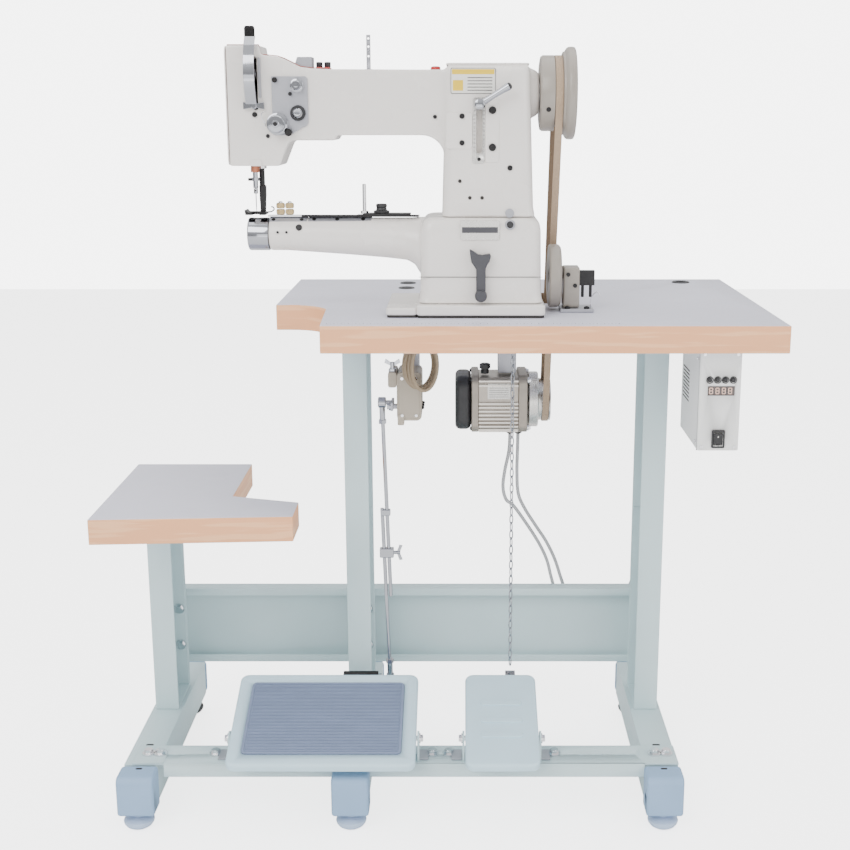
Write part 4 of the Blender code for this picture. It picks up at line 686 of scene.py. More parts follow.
def make_finishes():
    given = setting("finish_settings")
    white = tuple(given.enamel)
    paint("enamel_gloss", white, 0.26, drift=0.012, scale=9, relief=(420, 0.035), coat=0.35)
    paint("stand_satin", tuple(given.stand), 0.4, drift=0.02, scale=14, relief=(700, 0.06))
    paint("treadle_satin", tuple(given.treadle), 0.36, drift=0.025, scale=16, relief=(650, 0.05))
    paint("cap_moulded", tuple(given.cap), 0.48, drift=0.03, scale=22, relief=(1500, 0.1))
    paint("glide_moulded", tone(178, 196, 222), 0.4, drift=0.02, scale=22, relief=(1500, 0.08))
    paint("mat_ribbed", tuple(given.mat), 0.7, drift=0.05, scale=60, relief=(1800, 0.15), sheen=0.1,
        stretch=(0.25, 1.0, 1.0))
    paint("laminate_top", tuple(given.laminate), 0.42, drift=0.015, scale=24, relief=(900, 0.1),
        fleck=(tone(200, 200, 214), 900.0, 0.5, (1.0, 1.0, 1.0)))
    paint("edge_grain", tuple(given.edge), 0.5, drift=0.025, scale=20, relief=(700, 0.12),
        stretch=(0.1, 0.1, 1.0), fleck=(tone(240, 174, 126), 130.0, 0.4, (0.06, 0.06, 1.0)))
    paint("board_core", tone(120, 100, 80), 0.8, drift=0.15, scale=260, relief=(900, 0.5))
    paint("wheel_enamel", tuple(given.wheel), 0.32, drift=0.015, scale=18, relief=(500, 0.04), coat=0.15)
    paint("belt_weave", tuple(given.belt), 0.86, drift=0.1, scale=500, relief=(1400, 0.6), sheen=0.2)
    paint("belt_shade", tone(128, 108, 88), 0.88, drift=0.1, scale=500, relief=(1400, 0.6))
    paint("panel_powder", tuple(given.panel), 0.46, drift=0.012, scale=20, relief=(1600, 0.1))
    paint("speed_powder", tuple(given.speed_unit), 0.44, drift=0.02, scale=30, relief=(1300, 0.15))
    paint("motor_cast", tone(158, 150, 140), 0.42, 0.75, drift=0.06, scale=80, relief=(900, 0.2))
    paint("motor_smooth", tone(178, 170, 160), 0.34, 0.7, drift=0.04, scale=50, relief=(500, 0.06))
    paint("fin_bright", tone(214, 208, 200), 0.3, 0.85, drift=0.05, scale=60, relief=(700, 0.1),
        stretch=(0.2, 1.0, 1.0))
    paint("flange_turned", tone(214, 212, 208), 0.28, 0.95, drift=0.05, scale=240, relief=(1400, 0.16),
        stretch=(1.0, 0.3, 0.3))
    paint("bright_steel", tone(180, 181, 186), 0.2, 1.0, drift=0.04, scale=120, relief=(900, 0.06),
        spread=0.06)
    paint("chrome", tone(172, 174, 180), 0.08, 1.0, drift=0.02, scale=60, relief=(400, 0.02), spread=0.03)
    paint("brushed_steel", tone(172, 172, 172), 0.34, 1.0, drift=0.07, scale=260, relief=(1500, 0.14),
        stretch=(0.08, 1.0, 1.0))
    paint("plate_satin", tone(172, 173, 180), 0.38, 0.6, drift=0.03, scale=90, relief=(1100, 0.08))
    paint("black_oxide", tone(44, 43, 44), 0.34, 0.6, drift=0.1, scale=120, relief=(900, 0.12))
    paint("black_moulded", tone(40, 40, 42), 0.44, drift=0.08, scale=60, relief=(1300, 0.14))
    paint("lever_grey", tone(68, 68, 73), 0.42, 0.15, drift=0.05, scale=60, relief=(900, 0.12))
    # Dark colour of seams and gaskets; also painted shade where holes, slots and vents are drawn as dark
    # sheets instead of being cut.
    paint("dark_gap", tone(52, 48, 46), 0.85, drift=0.1, scale=80, relief=(700, 0.2))
    paint("gasket_red", tone(160, 92, 82), 0.75, drift=0.06, scale=90, relief=(900, 0.2))
    paint("red_plastic", tone(192, 44, 44), 0.3, drift=0.05, scale=60, relief=(700, 0.05), coat=0.3)
    paint("copper_collar", tone(178, 112, 86), 0.34, 0.9, drift=0.08, scale=120, relief=(900, 0.1))
    paint("brass_knurled", tone(206, 184, 140), 0.34, 0.85, drift=0.06, scale=160, relief=(900, 0.1))
    paint("cord_grey", tone(176, 176, 178), 0.55, drift=0.04, scale=200, relief=(1100, 0.12))
    paint("cord_taupe", tone(150, 132, 108), 0.56, drift=0.05, scale=200, relief=(1100, 0.12))
    paint("label_white", tone(236, 234, 228), 0.4, drift=0.01, scale=40, relief=(500, 0.02))
    paint("label_yellow", tone(235, 198, 50), 0.4, drift=0.02, scale=60, relief=(500, 0.02))
    paint("label_ink", tone(70, 66, 66), 0.5, drift=0.05, scale=80, relief=(500, 0.02))
    paint("name_silver", tone(214, 212, 208), 0.28, 0.55, drift=0.03, scale=100, relief=(800, 0.05))
    paint("display_glass", tone(58, 40, 38), 0.1, drift=0.05, scale=90, relief=(300, 0.01), coat=0.6)
    paint("display_lit", tone(236, 196, 176), 0.4, drift=0.02, scale=90, relief=(300, 0.01), glow=0.7)
    paint("thread_cream", tone(226, 214, 190), 0.7, drift=0.05, scale=400, relief=(900, 0.3))


NODE_FINISH = {"enamel": "enamel_gloss", "stand_paint": "stand_satin", "treadle_paint": "treadle_satin",
    "cap_plastic": "cap_moulded", "mat_rubber": "mat_ribbed", "laminate": "laminate_top",
    "wheel_grey": "wheel_enamel", "belt_tan": "belt_weave", "panel_white": "panel_powder",
    "controller_grey": "speed_powder", "motor_alloy": "motor_cast", "bright_steel": "bright_steel",
    "black_plastic": "black_moulded", "dark_lever": "lever_grey", "cable_grey": "cord_grey",
    "cable_taupe": "cord_taupe"}


# ---------------------------------------------------------------- stage and cords

def make_camera():
    data = bpy.data.cameras.new("view")
    data.lens = 56.03
    data.sensor_width = 36
    data.shift_x = -0.0435
    camera = bpy.data.objects.new("view", data)
    camera.location = (0.046, -2.0285, 1.0495)
    camera.rotation_euler = (math.radians(76.69), 0, 0)
    bpy.context.scene.collection.objects.link(camera)
    bpy.context.scene.camera = camera


def make_light(name, place, aim, size, power, tint=(1.0, 1.0, 1.0)):
    data = bpy.data.lights.new(name, "AREA")
    data.shape = "RECTANGLE"
    data.size, data.size_y = size
    data.energy = power
    data.color = tint
    light = bpy.data.objects.new(name, data)
    light.location = place
    light.rotation_euler = (Vector(aim) - Vector(place)).to_track_quat("-Z", "Y").to_euler()
    bpy.context.scene.collection.objects.link(light)
    return light


def make_floor():
    floor = shaped("floor", made_of(add_box, (-6, -5, -0.02), (6, 6, 0.0)))
    made = bpy.data.materials.new("floor_white")
    made.use_nodes = True
    shader = made.node_tree.nodes["Principled BSDF"]
    shader.inputs["Base Color"].default_value = (0.92, 0.92, 0.92, 1)
    shader.inputs["Roughness"].default_value = 0.7
    shader.inputs["Emission Color"].default_value = (1, 1, 1, 1)
    seen = made.node_tree.nodes.new("ShaderNodeLightPath")
    bright = step(made.node_tree, "ShaderNodeMapRange", [("Value", seen.outputs["Is Camera Ray"]),
        ("To Min", 0.05), ("To Max", 3.0)])
    made.node_tree.links.new(bright.outputs[0], shader.inputs["Emission Strength"])
    floor.data.materials.append(made)


def make_lights():
    key = make_light("key", (-1.6, -2.6, 2.7), (0.0, 0.0, 0.6), (2.0, 2.0), 64)
    fill = make_light("fill", (2.6, -2.2, 1.5), (0.0, 0.0, 0.5), (2.2, 2.2), 32)
    top = make_light("top", (0.0, 0.3, 3.2), (0.0, 0.0, 0.5), (3.0, 2.4), 34)
    low = make_light("low", (0.0, -3.0, 0.5), (0.0, 0.0, 0.35), (2.6, 0.9), 14)
    world = bpy.data.worlds.new("studio")
    world.use_nodes = True
    tree = world.node_tree
    background = tree.nodes["Background"]
    background.inputs["Color"].default_value = (1.0, 1.0, 1.0, 1)
    path = tree.nodes.new("ShaderNodeLightPath")
    place = tree.nodes.new("ShaderNodeTexCoord")
    upward = tree.nodes.new("ShaderNodeSeparateXYZ")
    tree.links.new(place.outputs["Generated"], upward.inputs[0])
    around = step(tree, "ShaderNodeMapRange", [("Value", upward.outputs["Z"]), ("From Min", -0.25),
        ("From Max", 0.45), ("To Min", 0.35), ("To Max", 1.25)])
    strength = step(tree, "ShaderNodeMix", [("Factor", path.outputs["Is Camera Ray"]),
        ("A", around.outputs[0]), ("B", 6.0)])
    tree.links.new(strength.outputs[0], background.inputs["Strength"])
    bpy.context.scene.world = world


MOTOR_CORD_A = [(0.125, 0.0825, 0.544), (0.1235, 0.0825, 0.508), (0.117, 0.0825, 0.474),
    (0.114, 0.083, 0.445), (0.1195, 0.086, 0.422), (0.133, 0.093, 0.408), (0.16, 0.113, 0.364),
    (0.179, 0.124, 0.33), (0.192, 0.128, 0.3), (0.201, 0.127, 0.265), (0.215, 0.125, 0.225),
    (0.25, 0.124, 0.2), (0.305, 0.124, 0.215), (0.338, 0.12, 0.27), (0.344, 0.11, 0.35),
    (0.345, 0.103, 0.44), (0.345, 0.1, 0.54), (0.35, 0.1, 0.62), (0.366, 0.099, 0.68),
    (0.385, 0.085, 0.708), (0.392, 0.03, 0.712), (0.392, -0.03, 0.706), (0.392, -0.066, 0.7),
    (0.392, -0.079, 0.7)]
MOTOR_CORD_B = [(0.138, 0.0825, 0.544), (0.1375, 0.0835, 0.51), (0.137, 0.086, 0.47), (0.14, 0.093, 0.43),
    (0.152, 0.104, 0.4), (0.172, 0.118, 0.365), (0.19, 0.127, 0.335), (0.206, 0.133, 0.3),
    (0.219, 0.135, 0.26), (0.235, 0.135, 0.22), (0.265, 0.135, 0.198), (0.315, 0.135, 0.208),
    (0.348, 0.128, 0.26), (0.356, 0.114, 0.35), (0.357, 0.106, 0.44), (0.357, 0.103, 0.54),
    (0.362, 0.1045, 0.61), (0.379, 0.103, 0.665), (0.4, 0.085, 0.695), (0.409, 0.03, 0.7),
    (0.411, -0.03, 0.696), (0.412, -0.066, 0.69), (0.412, -0.079, 0.69)]
SIGNAL_RUN = [(0.065, -0.1, 0.726), (0.09, -0.097, 0.7262), (0.12, -0.096, 0.7262), (0.19, -0.098, 0.7262),
    (0.26, -0.1, 0.7262), (0.32, -0.09, 0.7262), (0.36, -0.064, 0.723), (0.385, -0.052, 0.712),
    (0.4, -0.062, 0.708), (0.402, -0.079, 0.708)]
COIL_CENTRE = Vector((-0.014, -0.124, 0.6895))
COIL_TURNS = 4


def make_lead(name, points, diameter, finish, *nodes):
    """A cord as one smooth open tube along its points."""
    obj = piece(name, made_of(add_pipe, points, diameter / 2, 12), finish, "stand", *nodes, sharp=50)


def signal_points():
    """From the top of the speed unit round four hanging turns, then under the table to the control box."""
    lean = Matrix.Rotation(math.radians(28), 3, "Z")
    points = [Vector((-0.04, -0.095, 0.675)), Vector((-0.0385, -0.0975, 0.696)),
        Vector((-0.032, -0.105, 0.715))]
    steps = 22
    total = COIL_TURNS * steps
    for i in range(total + 1):
        angle = math.pi / 2 - 2 * math.pi * i / steps
        share = i / total
        half_width = 0.0235 + 0.0025 * math.sin(5 * share)
        half_height = 0.0335 + 0.003 * share + 0.002 * math.sin(9 * share) * (1 - share)
        place = Vector((half_width * math.cos(angle), 0.01 - 0.025 * share, half_height * math.sin(angle)))
        points.append(COIL_CENTRE + lean @ place)
    points += [Vector((0.008, -0.133, 0.724)), Vector((0.03, -0.118, 0.725))]
    points += [Vector(p) for p in SIGNAL_RUN]
    return smooth_route(points, 3)


def make_cords():
    given = setting("drive_settings")
    make_lead("motor_lead_a", smooth_route(MOTOR_CORD_A), given.motor_lead, "cord_grey", "motor_cord_a")
    make_lead("motor_lead_b", smooth_route(MOTOR_CORD_B), given.motor_lead, "cord_grey", "motor_cord_b")
    make_lead("signal_lead", signal_points(), given.signal_lead, "cord_taupe", "signal_cord", "signal_coil")


# ---------------------------------------------------------------- tables

def board(name, node):
    """A laminated board: pale faces, a wood-grain band round its edges, bare core inside its openings."""
    obj = eased_node(name, node, "laminate_top", "stand", setting("stand_settings").board_round)
    for finish in ("edge_grain", "board_core"):
        obj.data.materials.append(bpy.data.materials[finish])
    for face in obj.data.polygons:
        if abs(face.normal.z) > 0.8:
            continue
        x, y = face.center.x, face.center.y
        in_slot = 0.16 < x < 0.2 and -0.046 < y < 0.088
        in_hole = 0.4 < x < 0.435 and 0.195 < y < 0.23
        in_chain_hole = 0.11 < x < 0.136 and -0.066 < y < -0.04
        face.material_index = 2 if in_slot or in_hole or in_chain_hole else 1


def make_tables():
    board("main_board", "table_top")
    board("side_board", "side_table")

    piece("cord_grommet", made_of(add_turned, mm((8.5, -10), (10, -10), (10, 0), (15, 0), (15, 0.8),
        (13.5, 1.8), (9.8, 1.8), (8.5, 0.8), (8.5, -10)), (0.417, 0.2125, TOP + 0.0001), Z),
        "black_moulded", "stand")

    def cups(bm):
        for y in (0.1385, 0.2025):
            profile = mm((0, 0.2), (7, 0.2), (8.5, 1.4), (12.5, 1.4), (13.5, 0.2), (13.5, 0), (0, 0))
            add_turned(bm, profile, (-0.045, y, TOP + 0.0001), Z)
    piece("table_cups", cups, "black_moulded", "stand")
    bars("ruler_ticks", 81, (-0.139, -0.2375, TOP + 0.0001), (0.005, 0, 0), (0.0004, 0.0026, 0.0002),
        "label_ink", "stand")
    bars("ruler_marks", 41, (-0.139, -0.2368, TOP + 0.0001), (0.01, 0, 0), (0.0007, 0.0042, 0.0003),
        "label_ink", "stand")


# ---------------------------------------------------------------- stand

def make_stand():
    fold = setting("stand_settings").fold
    for side in POSTS:
        eased_node(f"upright_{side}", f"post_{side}", "stand_satin", "stand", fold)
        eased_node(f"runner_{side}", f"foot_rail_{side}", "stand_satin", "stand", fold)
        make_cap(side)
        make_glides(side)
    eased_node("rear_beam", "cross_beam", "stand_satin", "stand", fold)
    make_front_bar()
    make_post_sleeves()
    make_frame_bolts()


def make_cap(side):
    """A moulded cap with a rounded nose and a chamfered top."""
    low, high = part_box(f"front_cap_{side}")
    middle = (low.x + high.x) / 2

    def build(bm):
        outline = [(high.y, low.z), (high.y, high.z)]
        outline += arc((low.y + 0.011, high.z - 0.011), 0.011, 90, 180, 6)
        outline += arc((low.y + 0.005, low.z + 0.005), 0.005, 180, 270, 4)
        add_slab(bm, outline, low.x, high.x, "x")
    obj = shaped(f"moulded_cap_{side}", build, setting("stand_settings").cap_round, 4)

    placed(carve(obj, made_of(add_rod, (middle, -0.2215, low.z - 0.01), (middle, -0.2215, 0.05), 0.0056)),
        "cap_moulded", "stand", f"front_cap_{side}")


def make_glides(side):
    profile = mm((0, 0), (10, 0), (15, 1.2), (19.5, 4.2), (22.2, 8), (23, 11), (22.4, 13), (19.5, 14.8),
        (12, 16.5), (8, 18), (6.8, 20.5), (6.8, 24.2), (5, 24.6), (5, 45.8), (0, 45.8))
    for end, finish in (("front", "glide_moulded"), ("rear", "black_moulded")):
        low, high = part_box(f"{end}_foot_{side}")
        centre = ((low.x + high.x) / 2, (low.y + high.y) / 2, 0.0)

        def build(bm, centre=centre):
            add_turned(bm, profile, centre, Z, 56)
        piece(f"{end}_glide_{side}", build, finish, "stand", f"{end}_foot_{side}")


def make_front_bar():
    """The angle that carries both pedals, with its pivot ears and its adjusting slots."""
    low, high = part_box("treadle_bar")
    base = 0.0883

    def build(bm):
        outline = [(low.y, 0.0683), (low.y + 0.0027, 0.0683), (low.y + 0.0027, base), (high.y, base),
            (high.y, base + 0.003), (low.y, base + 0.003)]
        add_slab(bm, outline, -0.406, 0.322, "x")
        add_box(bm, (low.x, low.y, base), (-0.406, high.y, base + 0.003))
        add_box(bm, (0.322, low.y, base), (high.x, high.y, base + 0.003))
        bmesh.ops.remove_doubles(bm, verts=bm.verts, dist=1e-6)
    obj = shaped("front_bar", build, 0.0005, 1)

    def slots(bm):
        for x0, x1 in ((-0.4235 + 0.018, -0.382 + 0.006), (0.224, 0.264), (0.276, 0.312), (-0.01, 0.034)):
            add_slab(bm, rounded((x0, -0.1735), (x1, -0.1695), 0.0018, 4), base - 0.01, base + 0.01, "z")
    placed(carve(obj, slots), "stand_satin", "stand", "treadle_bar")
    for k, x in enumerate((-0.3068, -0.0202, 0.0482, 0.1648)):
        def ear(bm, x=x):
            shape = [(-0.1935, base + 0.0028), (-0.1715, base + 0.0028), (-0.1715, 0.124)]
            shape += arc((-0.1825, 0.124), 0.011, 0, 180, 10) + [(-0.1935, 0.124)]
            add_slab(bm, shape, x - 0.0015, x + 0.0015, "x")
        part = shaped(f"pivot_ear_{k}", ear, 0.0003, 1)

        def hole(bm, x=x):
            add_rod(bm, (x - 0.01, -0.1825, 0.124), (x + 0.01, -0.1825, 0.124), 0.0045)
        placed(carve(part, hole), "stand_satin", "stand")

    def blocks(bm):
        for x in (-0.317, -0.013, 0.038, 0.172):
            add_box(bm, (x - 0.008, -0.1905, base + 0.0031), (x + 0.008, -0.16, base + 0.006))
    piece("pivot_feet", blocks, "plate_satin", "stand", ease=0.0006)


def make_post_sleeves():
    """The lower legs inside the posts, with their slanting top edges, and the rails' rear covers."""
    def build(bm):
        for side in POSTS:
            low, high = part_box(f"post_{side}")
            way = -1 if side == "right" else 1
            web = high.x - 0.0033 if way < 0 else low.x + 0.0033
            front, rear = low.y + 0.0033, high.y - 0.0033
            foot = low.z + 0.0033
            tall = 0.0 if side != "left" else -0.06
            shape = [(front, foot), (rear, foot), (rear, 0.411 + tall), (front, 0.343 + tall)]
            add_slab(bm, shape, min(web, web + way * 0.002), max(web, web + way * 0.002), "x")
            for y0, top in ((front, 0.343 + tall), (rear - 0.002, 0.409 + tall)):
                add_box(bm, (min(web + way * 0.002, web + way * 0.0325), y0, foot),
                    (max(web + way * 0.002, web + way * 0.0325), y0 + 0.002, top))
    piece("leg_sleeves", build, "stand_satin", "stand")

    def covers(bm):
        for side in POSTS:
            low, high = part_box(f"foot_rail_{side}")
            add_slab(bm, rounded((low.x - 0.0015, low.z - 0.0005), (high.x + 0.0015, high.z + 0.0015), 0.01,
                6), high.y + 0.0003, high.y + 0.0075, "y")
    piece("rail_covers", covers, "cap_moulded", "stand", ease=0.0022, segments=3)

    # Painted shade: thin dark sheets on the rails stand for the shaded inside of their slots, which are not
    # cut.
    def slots(bm):
        for x in (-0.441, 0.349):
            add_slab(bm, rounded((x - 0.006, -0.136), (x + 0.006, -0.131), 0.0024, 4), 0.0878, 0.0884, "z")
            add_slab(bm, rounded((x - 0.004, -0.213), (x + 0.006, -0.2085), 0.002, 4), 0.0878, 0.0884, "z")
    piece("rail_slots", slots, "dark_gap", "stand")


def make_frame_bolts():
    points = []
    for x in (-0.331, 0.0, 0.026, 0.187):
        points.append(((x, -0.17, 0.0926), Z))
    for x in (-0.434, 0.341):
        for gap in (0.0, 0.018):
            points.append(((x + gap, -0.17, 0.0926), Z))
    bolts("bar_bolts", points, "stand", across=0.0125, height=0.0065, washer=0.01)
    beam = [((x + 0.008, 0.083, z), -Y) for x in (-0.441, -0.121, 0.349) for z in (0.165, 0.23)]
    bolts("beam_bolts", beam, "stand", across=0.011, height=0.005, washer=0.0085)
    ears = [((x, -0.1825, 0.124), way) for x, way in ((-0.3085, -X), (-0.0185, X), (0.0465, -X), (0.1665, X))]
    bolts("ear_nuts", ears, "stand", across=0.01, height=0.005, washer=0.0075)


# ---------------------------------------------------------------- treadle, pedal, chain, pitman rod

def slope():
    """From flat about the pivot onto the pedals' slope."""
    return Matrix.Translation((0, -0.1825, 0.124)) @ Matrix.Rotation(setting("treadle_settings").tilt, 4, "X")


def pedal_plate(name, left, right, node, body, tray):
    """A pressed plate with round corners and a hollow underside, set on the slope."""
    obj = shaped(name, made_of(add_slab, rounded((left, -0.069), (right, 0.122), 0.013, 7), 0.0, 0.016,
        "z"), 0.0048, 4)

    obj = carve(obj, made_of(add_slab, rounded((left + 0.0045, -0.0645), (right - 0.0045, 0.1175), 0.009,
        7), -0.01, 0.0095, "z"))
    if tray:
        def mat_tray(bm):
            add_slab(bm, rounded((left + 0.021, -0.048), (right - 0.021, 0.101), 0.007, 5), 0.014, 0.03, "z")
        obj = carve(obj, mat_tray)
    obj.data.transform(slope())
    return placed(obj, "treadle_satin", body, node)


def on_slope(name, build, finish, body, ease=0.0, segments=2):
    obj = shaped(name, build, ease, segments)
    obj.data.transform(slope())
    return placed(obj, finish, body)


def make_treadle():
    left, right = -0.304, -0.023
    pedal_plate("treadle_plate", left, right, "treadle", "treadle", True)

    def pins(bm):
        for inner, outer in ((left + 0.012, left - 0.0056), (right - 0.012, right + 0.0056)):
            add_rod(bm, (inner, 0, 0), (outer, 0, 0), 0.004, 20)
    on_slope("treadle_pins", pins, "bright_steel", "treadle")

    dy, dz = -0.053 + 0.1825, 0.165 - 0.124
    tilt = setting("treadle_settings").tilt
    along = dy * math.cos(tilt) + dz * math.sin(tilt)
    above = dz * math.cos(tilt) - dy * math.sin(tilt)

    def bracket(bm):
        add_box(bm, (-0.144, 0.116, 0.0015), (-0.088, along + 0.005, 0.0045))
        add_box(bm, (-0.095, along - 0.006, above - 0.008), (-0.088, along + 0.006, 0.0018))
        add_box(bm, (-0.238, 0.1165, 0.002), (-0.144, 0.129, 0.005))
    on_slope("stud_plate", bracket, "black_oxide", "treadle", 0.0008)

    def stud(bm):
        add_rod(bm, (-0.0955, along, above), (-0.0754, along, above), 0.004, 24, 0.0004)
        add_turned(bm, mm((0, 0), (7.2, 0), (7.2, 5), (0, 5)), (-0.0878, along, above), X, 6)
    on_slope("stud_bolt", stud, "chrome", "treadle")
    make_mat(left, right)


def make_mat(left, right):
    """A rubber mat with a raised border and fine ribs across."""
    low, high = Vector((left + 0.0217, -0.0473)), Vector((right - 0.0217, 0.1003))

    obj = shaped("mat_sheet", made_of(add_slab, rounded(low, high, 0.0065, 5), 0.0144, 0.0168, "z"), 0.0006,
        2)
    obj.data.transform(slope())
    placed(obj, "mat_ribbed", "treadle", "treadle_mat")

    def border(bm):
        outer, inner = rounded(low, high, 0.0065, 5), rounded(low + Vector((0.0032, 0.0032)),
            high - Vector((0.0032, 0.0032)), 0.004, 5)
        rings = [[bm.verts.new((u, v, z)) for u, v in line] for line, z in ((outer, 0.0169), (outer, 0.018),
            (inner, 0.018), (inner, 0.0169))]
        add_skin(bm, rings + rings[:1])
    on_slope("mat_border", border, "mat_ribbed", "treadle")
    pitch = setting("treadle_settings").rib_pitch
    room = high.y - low.y - 0.011
    count = int(room / pitch) + 1
    start = ((low.x + high.x) / 2, low.y + 0.0055 + (room - (count - 1) * pitch) / 2, 0.0172)
    bars("mat_ribs", count, start, (0, pitch, 0), (high.x - low.x - 0.01, pitch * 0.55, 0.0008),
        "mat_ribbed", "treadle", slope())


def make_pedal():
    left, right = 0.051, 0.162
    pedal_plate("pedal_plate", left, right, "lift_pedal", "lift_pedal", False)

    def ridges(bm):
        for along in (-0.014, 0.016, 0.052):
            add_slab(bm, rounded((left + 0.024, along), (right - 0.024, along + 0.01), 0.0045, 4), 0.015,
                0.0184, "z")
    on_slope("pedal_ridges", ridges, "treadle_satin", "lift_pedal", 0.0014, 3)

    def pins(bm):
        for inner, outer in ((left + 0.012, left - 0.0056), (right - 0.012, right + 0.0056)):
            add_rod(bm, (inner, 0, 0), (outer, 0, 0), 0.004, 20)
    on_slope("pedal_pins", pins, "bright_steel", "lift_pedal")

    on_slope("chain_tab", made_of(add_box, (0.115, 0.116, 0.0015), (0.131, 0.1417, 0.0045)), "chrome",
        "lift_pedal", 0.0008)

    def hook(bm):
        base = Vector((0.123, -0.053, 0.1648))
        path = [base + Vector((0.0042 * math.sin(a), 0.0,
            0.0052 - 0.006 * math.cos(a))) for a in [2 * math.pi * i / 20 for i in range(20)]]
        add_pipe(bm, path, 0.0011, 10, True)
    piece("hook_ring", hook, "chrome", "lift_pedal")


def make_chain():
    given = setting("treadle_settings")
    start = 0.756
    links = int((start - 0.185) / given.link_pitch) + 1
    obj = grown("chain_links", "chain_run", {"Links": links, "Start": (0.123, -0.053, start),
        "Pitch": given.link_pitch, "Wire Radius": given.link_wire, "Link Width": 0.0074,
        "Material": bpy.data.materials["chrome"]}, "lift_chain")
    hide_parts("lift_chain")


def make_pitman():
    low, high = Vector((-0.069, -0.053, 0.165)), Vector((-0.075, -0.0725, UNDER - 0.108))
    side = Vector((0.0048, 0, 0))
    middle = low.lerp(high, 0.47)
    run = (high - low).normalized()

    def rods(bm):
        add_rod(bm, low + run * 0.009, low.lerp(high, 0.63) - side, 0.003, 24, 0.0005)
        add_rod(bm, low.lerp(high, 0.31) + side, high - run * 0.009, 0.003, 24, 0.0005)
    piece("pitman_bars", rods, "chrome", "pitman", "pitman_rod")

    def sockets(bm):
        for centre, way in ((low, 1), (high, -1)):
            add_turned(bm, mm((0, -6), (7.2, -6), (8.2, -4.8), (8.2, 4.8), (7.2, 6), (0, 6)), centre, X, 40)
            neck = centre + run * way * 0.007
            add_turned(bm, mm((0, 0), (4.4, 0), (4.4, 20), (0, 20)), neck, run * way, 24)
            add_turned(bm, mm((0, 0), (6.2, 0), (6.2, 6), (0, 6)), neck + run * way * 0.02, run * way, 6)
    piece("pitman_sockets", sockets, "chrome", "pitman")

    def clamp(bm):
        add_box(bm, middle + Vector((-0.0105, -0.006, -0.0075)), middle + Vector((0.0115, 0.006, 0.0075)))
        top = low.lerp(high, 0.615)
        add_box(bm, top + Vector((-0.007, -0.005, -0.005)), top + Vector((0.008, 0.005, 0.005)))
    piece("pitman_clamps", clamp, "chrome", "pitman", ease=0.0016, segments=3)

    def wing(bm):
        centre = middle + Vector((0.0116, 0, 0))
        add_rod(bm, centre, centre + Vector((0.01, 0, 0)), 0.0028, 20, 0.0003)
        for tilt in (-1, 1):
            add_slab(bm, [(centre.x + 0.004, centre.z), (centre.x + 0.009, centre.z),
                (centre.x + 0.0135, centre.z + tilt * 0.0115),
                (centre.x + 0.0085, centre.z + tilt * 0.0125)], centre.y - 0.0011, centre.y + 0.0011, "y")
    piece("pitman_wing", wing, "chrome", "pitman", ease=0.0004, segments=2)


# ---------------------------------------------------------------- speed unit

def make_speed_unit():
    low, high = Vector((-0.051, -0.1075, UNDER - 0.129)), Vector((-0.014, -0.0425, UNDER - 0.055))
    pivot = Vector((-0.0585, -0.1, UNDER - 0.108))

    obj = shaped("speed_housing", made_of(add_slab, rounded((low.x, low.z), (high.x, high.z), 0.0075, 6),
        low.y, high.y, "y"), 0.0028, 3)

    placed(carve(obj, made_of(add_rod, (low.x - 0.004, pivot.y, pivot.z), (low.x + 0.012, pivot.y, pivot.z),
        0.0046)), "speed_powder", "stand", "speed_controller")

    def side(bm):
        add_slab(bm, rounded((low.x - 0.013, UNDER - 0.079), (low.x - 0.0002, high.z - 0.001), 0.0035, 4),
            low.y + 0.004, high.y - 0.004, "y")
        add_slab(bm, rounded((low.x + 0.001, low.z - 0.006), (low.x + 0.011, low.z + 0.01), 0.002, 3),
            low.y - 0.003, low.y + 0.009, "y")
    piece("speed_side_unit", side, "speed_powder", "stand", ease=0.0016, segments=3)

    piece("speed_lid", made_of(add_slab, rounded((low.x + 0.0035, low.z + 0.0045),
        (high.x - 0.0035, high.z - 0.0045), 0.005, 5), low.y - 0.0012, low.y + 0.001, "y"), "speed_powder",
        "stand", ease=0.0005)

    def hanger(bm):
        add_box(bm, (low.x + 0.008, high.y - 0.012, high.z - 0.004), (high.x - 0.004, high.y - 0.007,
            UNDER - 0.0004))
        add_box(bm, (low.x + 0.002, high.y - 0.03, UNDER - 0.0034), (high.x + 0.002, high.y + 0.004,
            UNDER - 0.0004))
    piece("speed_hanger", hanger, "plate_satin", "stand", ease=0.0006)

    def wing_bolt(bm):
        foot = Vector((low.x - 0.0065, low.y + 0.014, high.z - 0.001))
        add_rod(bm, foot, foot + Vector((0, 0, 0.014)), 0.0034, 20, 0.0004)
        add_turned(bm, mm((0, 0), (5.8, 0), (5.8, 4), (0, 4)), foot, Z, 6)
        for way in (-1, 1):
            add_slab(bm, [(foot.x, foot.z + 0.007), (foot.x, foot.z + 0.012),
                (foot.x + way * 0.01, foot.z + 0.019), (foot.x + way * 0.012, foot.z + 0.013)],
                foot.y - 0.0011, foot.y + 0.0011, "y")
    piece("wing_bolt", wing_bolt, "chrome", "stand", ease=0.0004)
    screws("speed_screws",
        [((x, low.y - 0.0022, z), -Y) for x in (low.x + 0.008, high.x - 0.008) for z in (low.z + 0.009,
        high.z - 0.009)], "stand", "bright_steel", 0.0022)
    screws("speed_tips", [((high.x + 0.001, low.y + 0.012 + 0.018 * i, low.z + 0.018),
        X) for i in range(3)], "stand", "black_oxide", 0.0024, 0.003)
    eased_node("speed_arm", "speed_lever", "plate_satin", "speed_lever", 0.0004)
    bolts("speed_arm_nuts", [((pivot.x - 0.003, pivot.y, pivot.z), -X)], "speed_lever", "chrome", 0.0085,
        0.0042, 0.0064)


# ---------------------------------------------------------------- motor

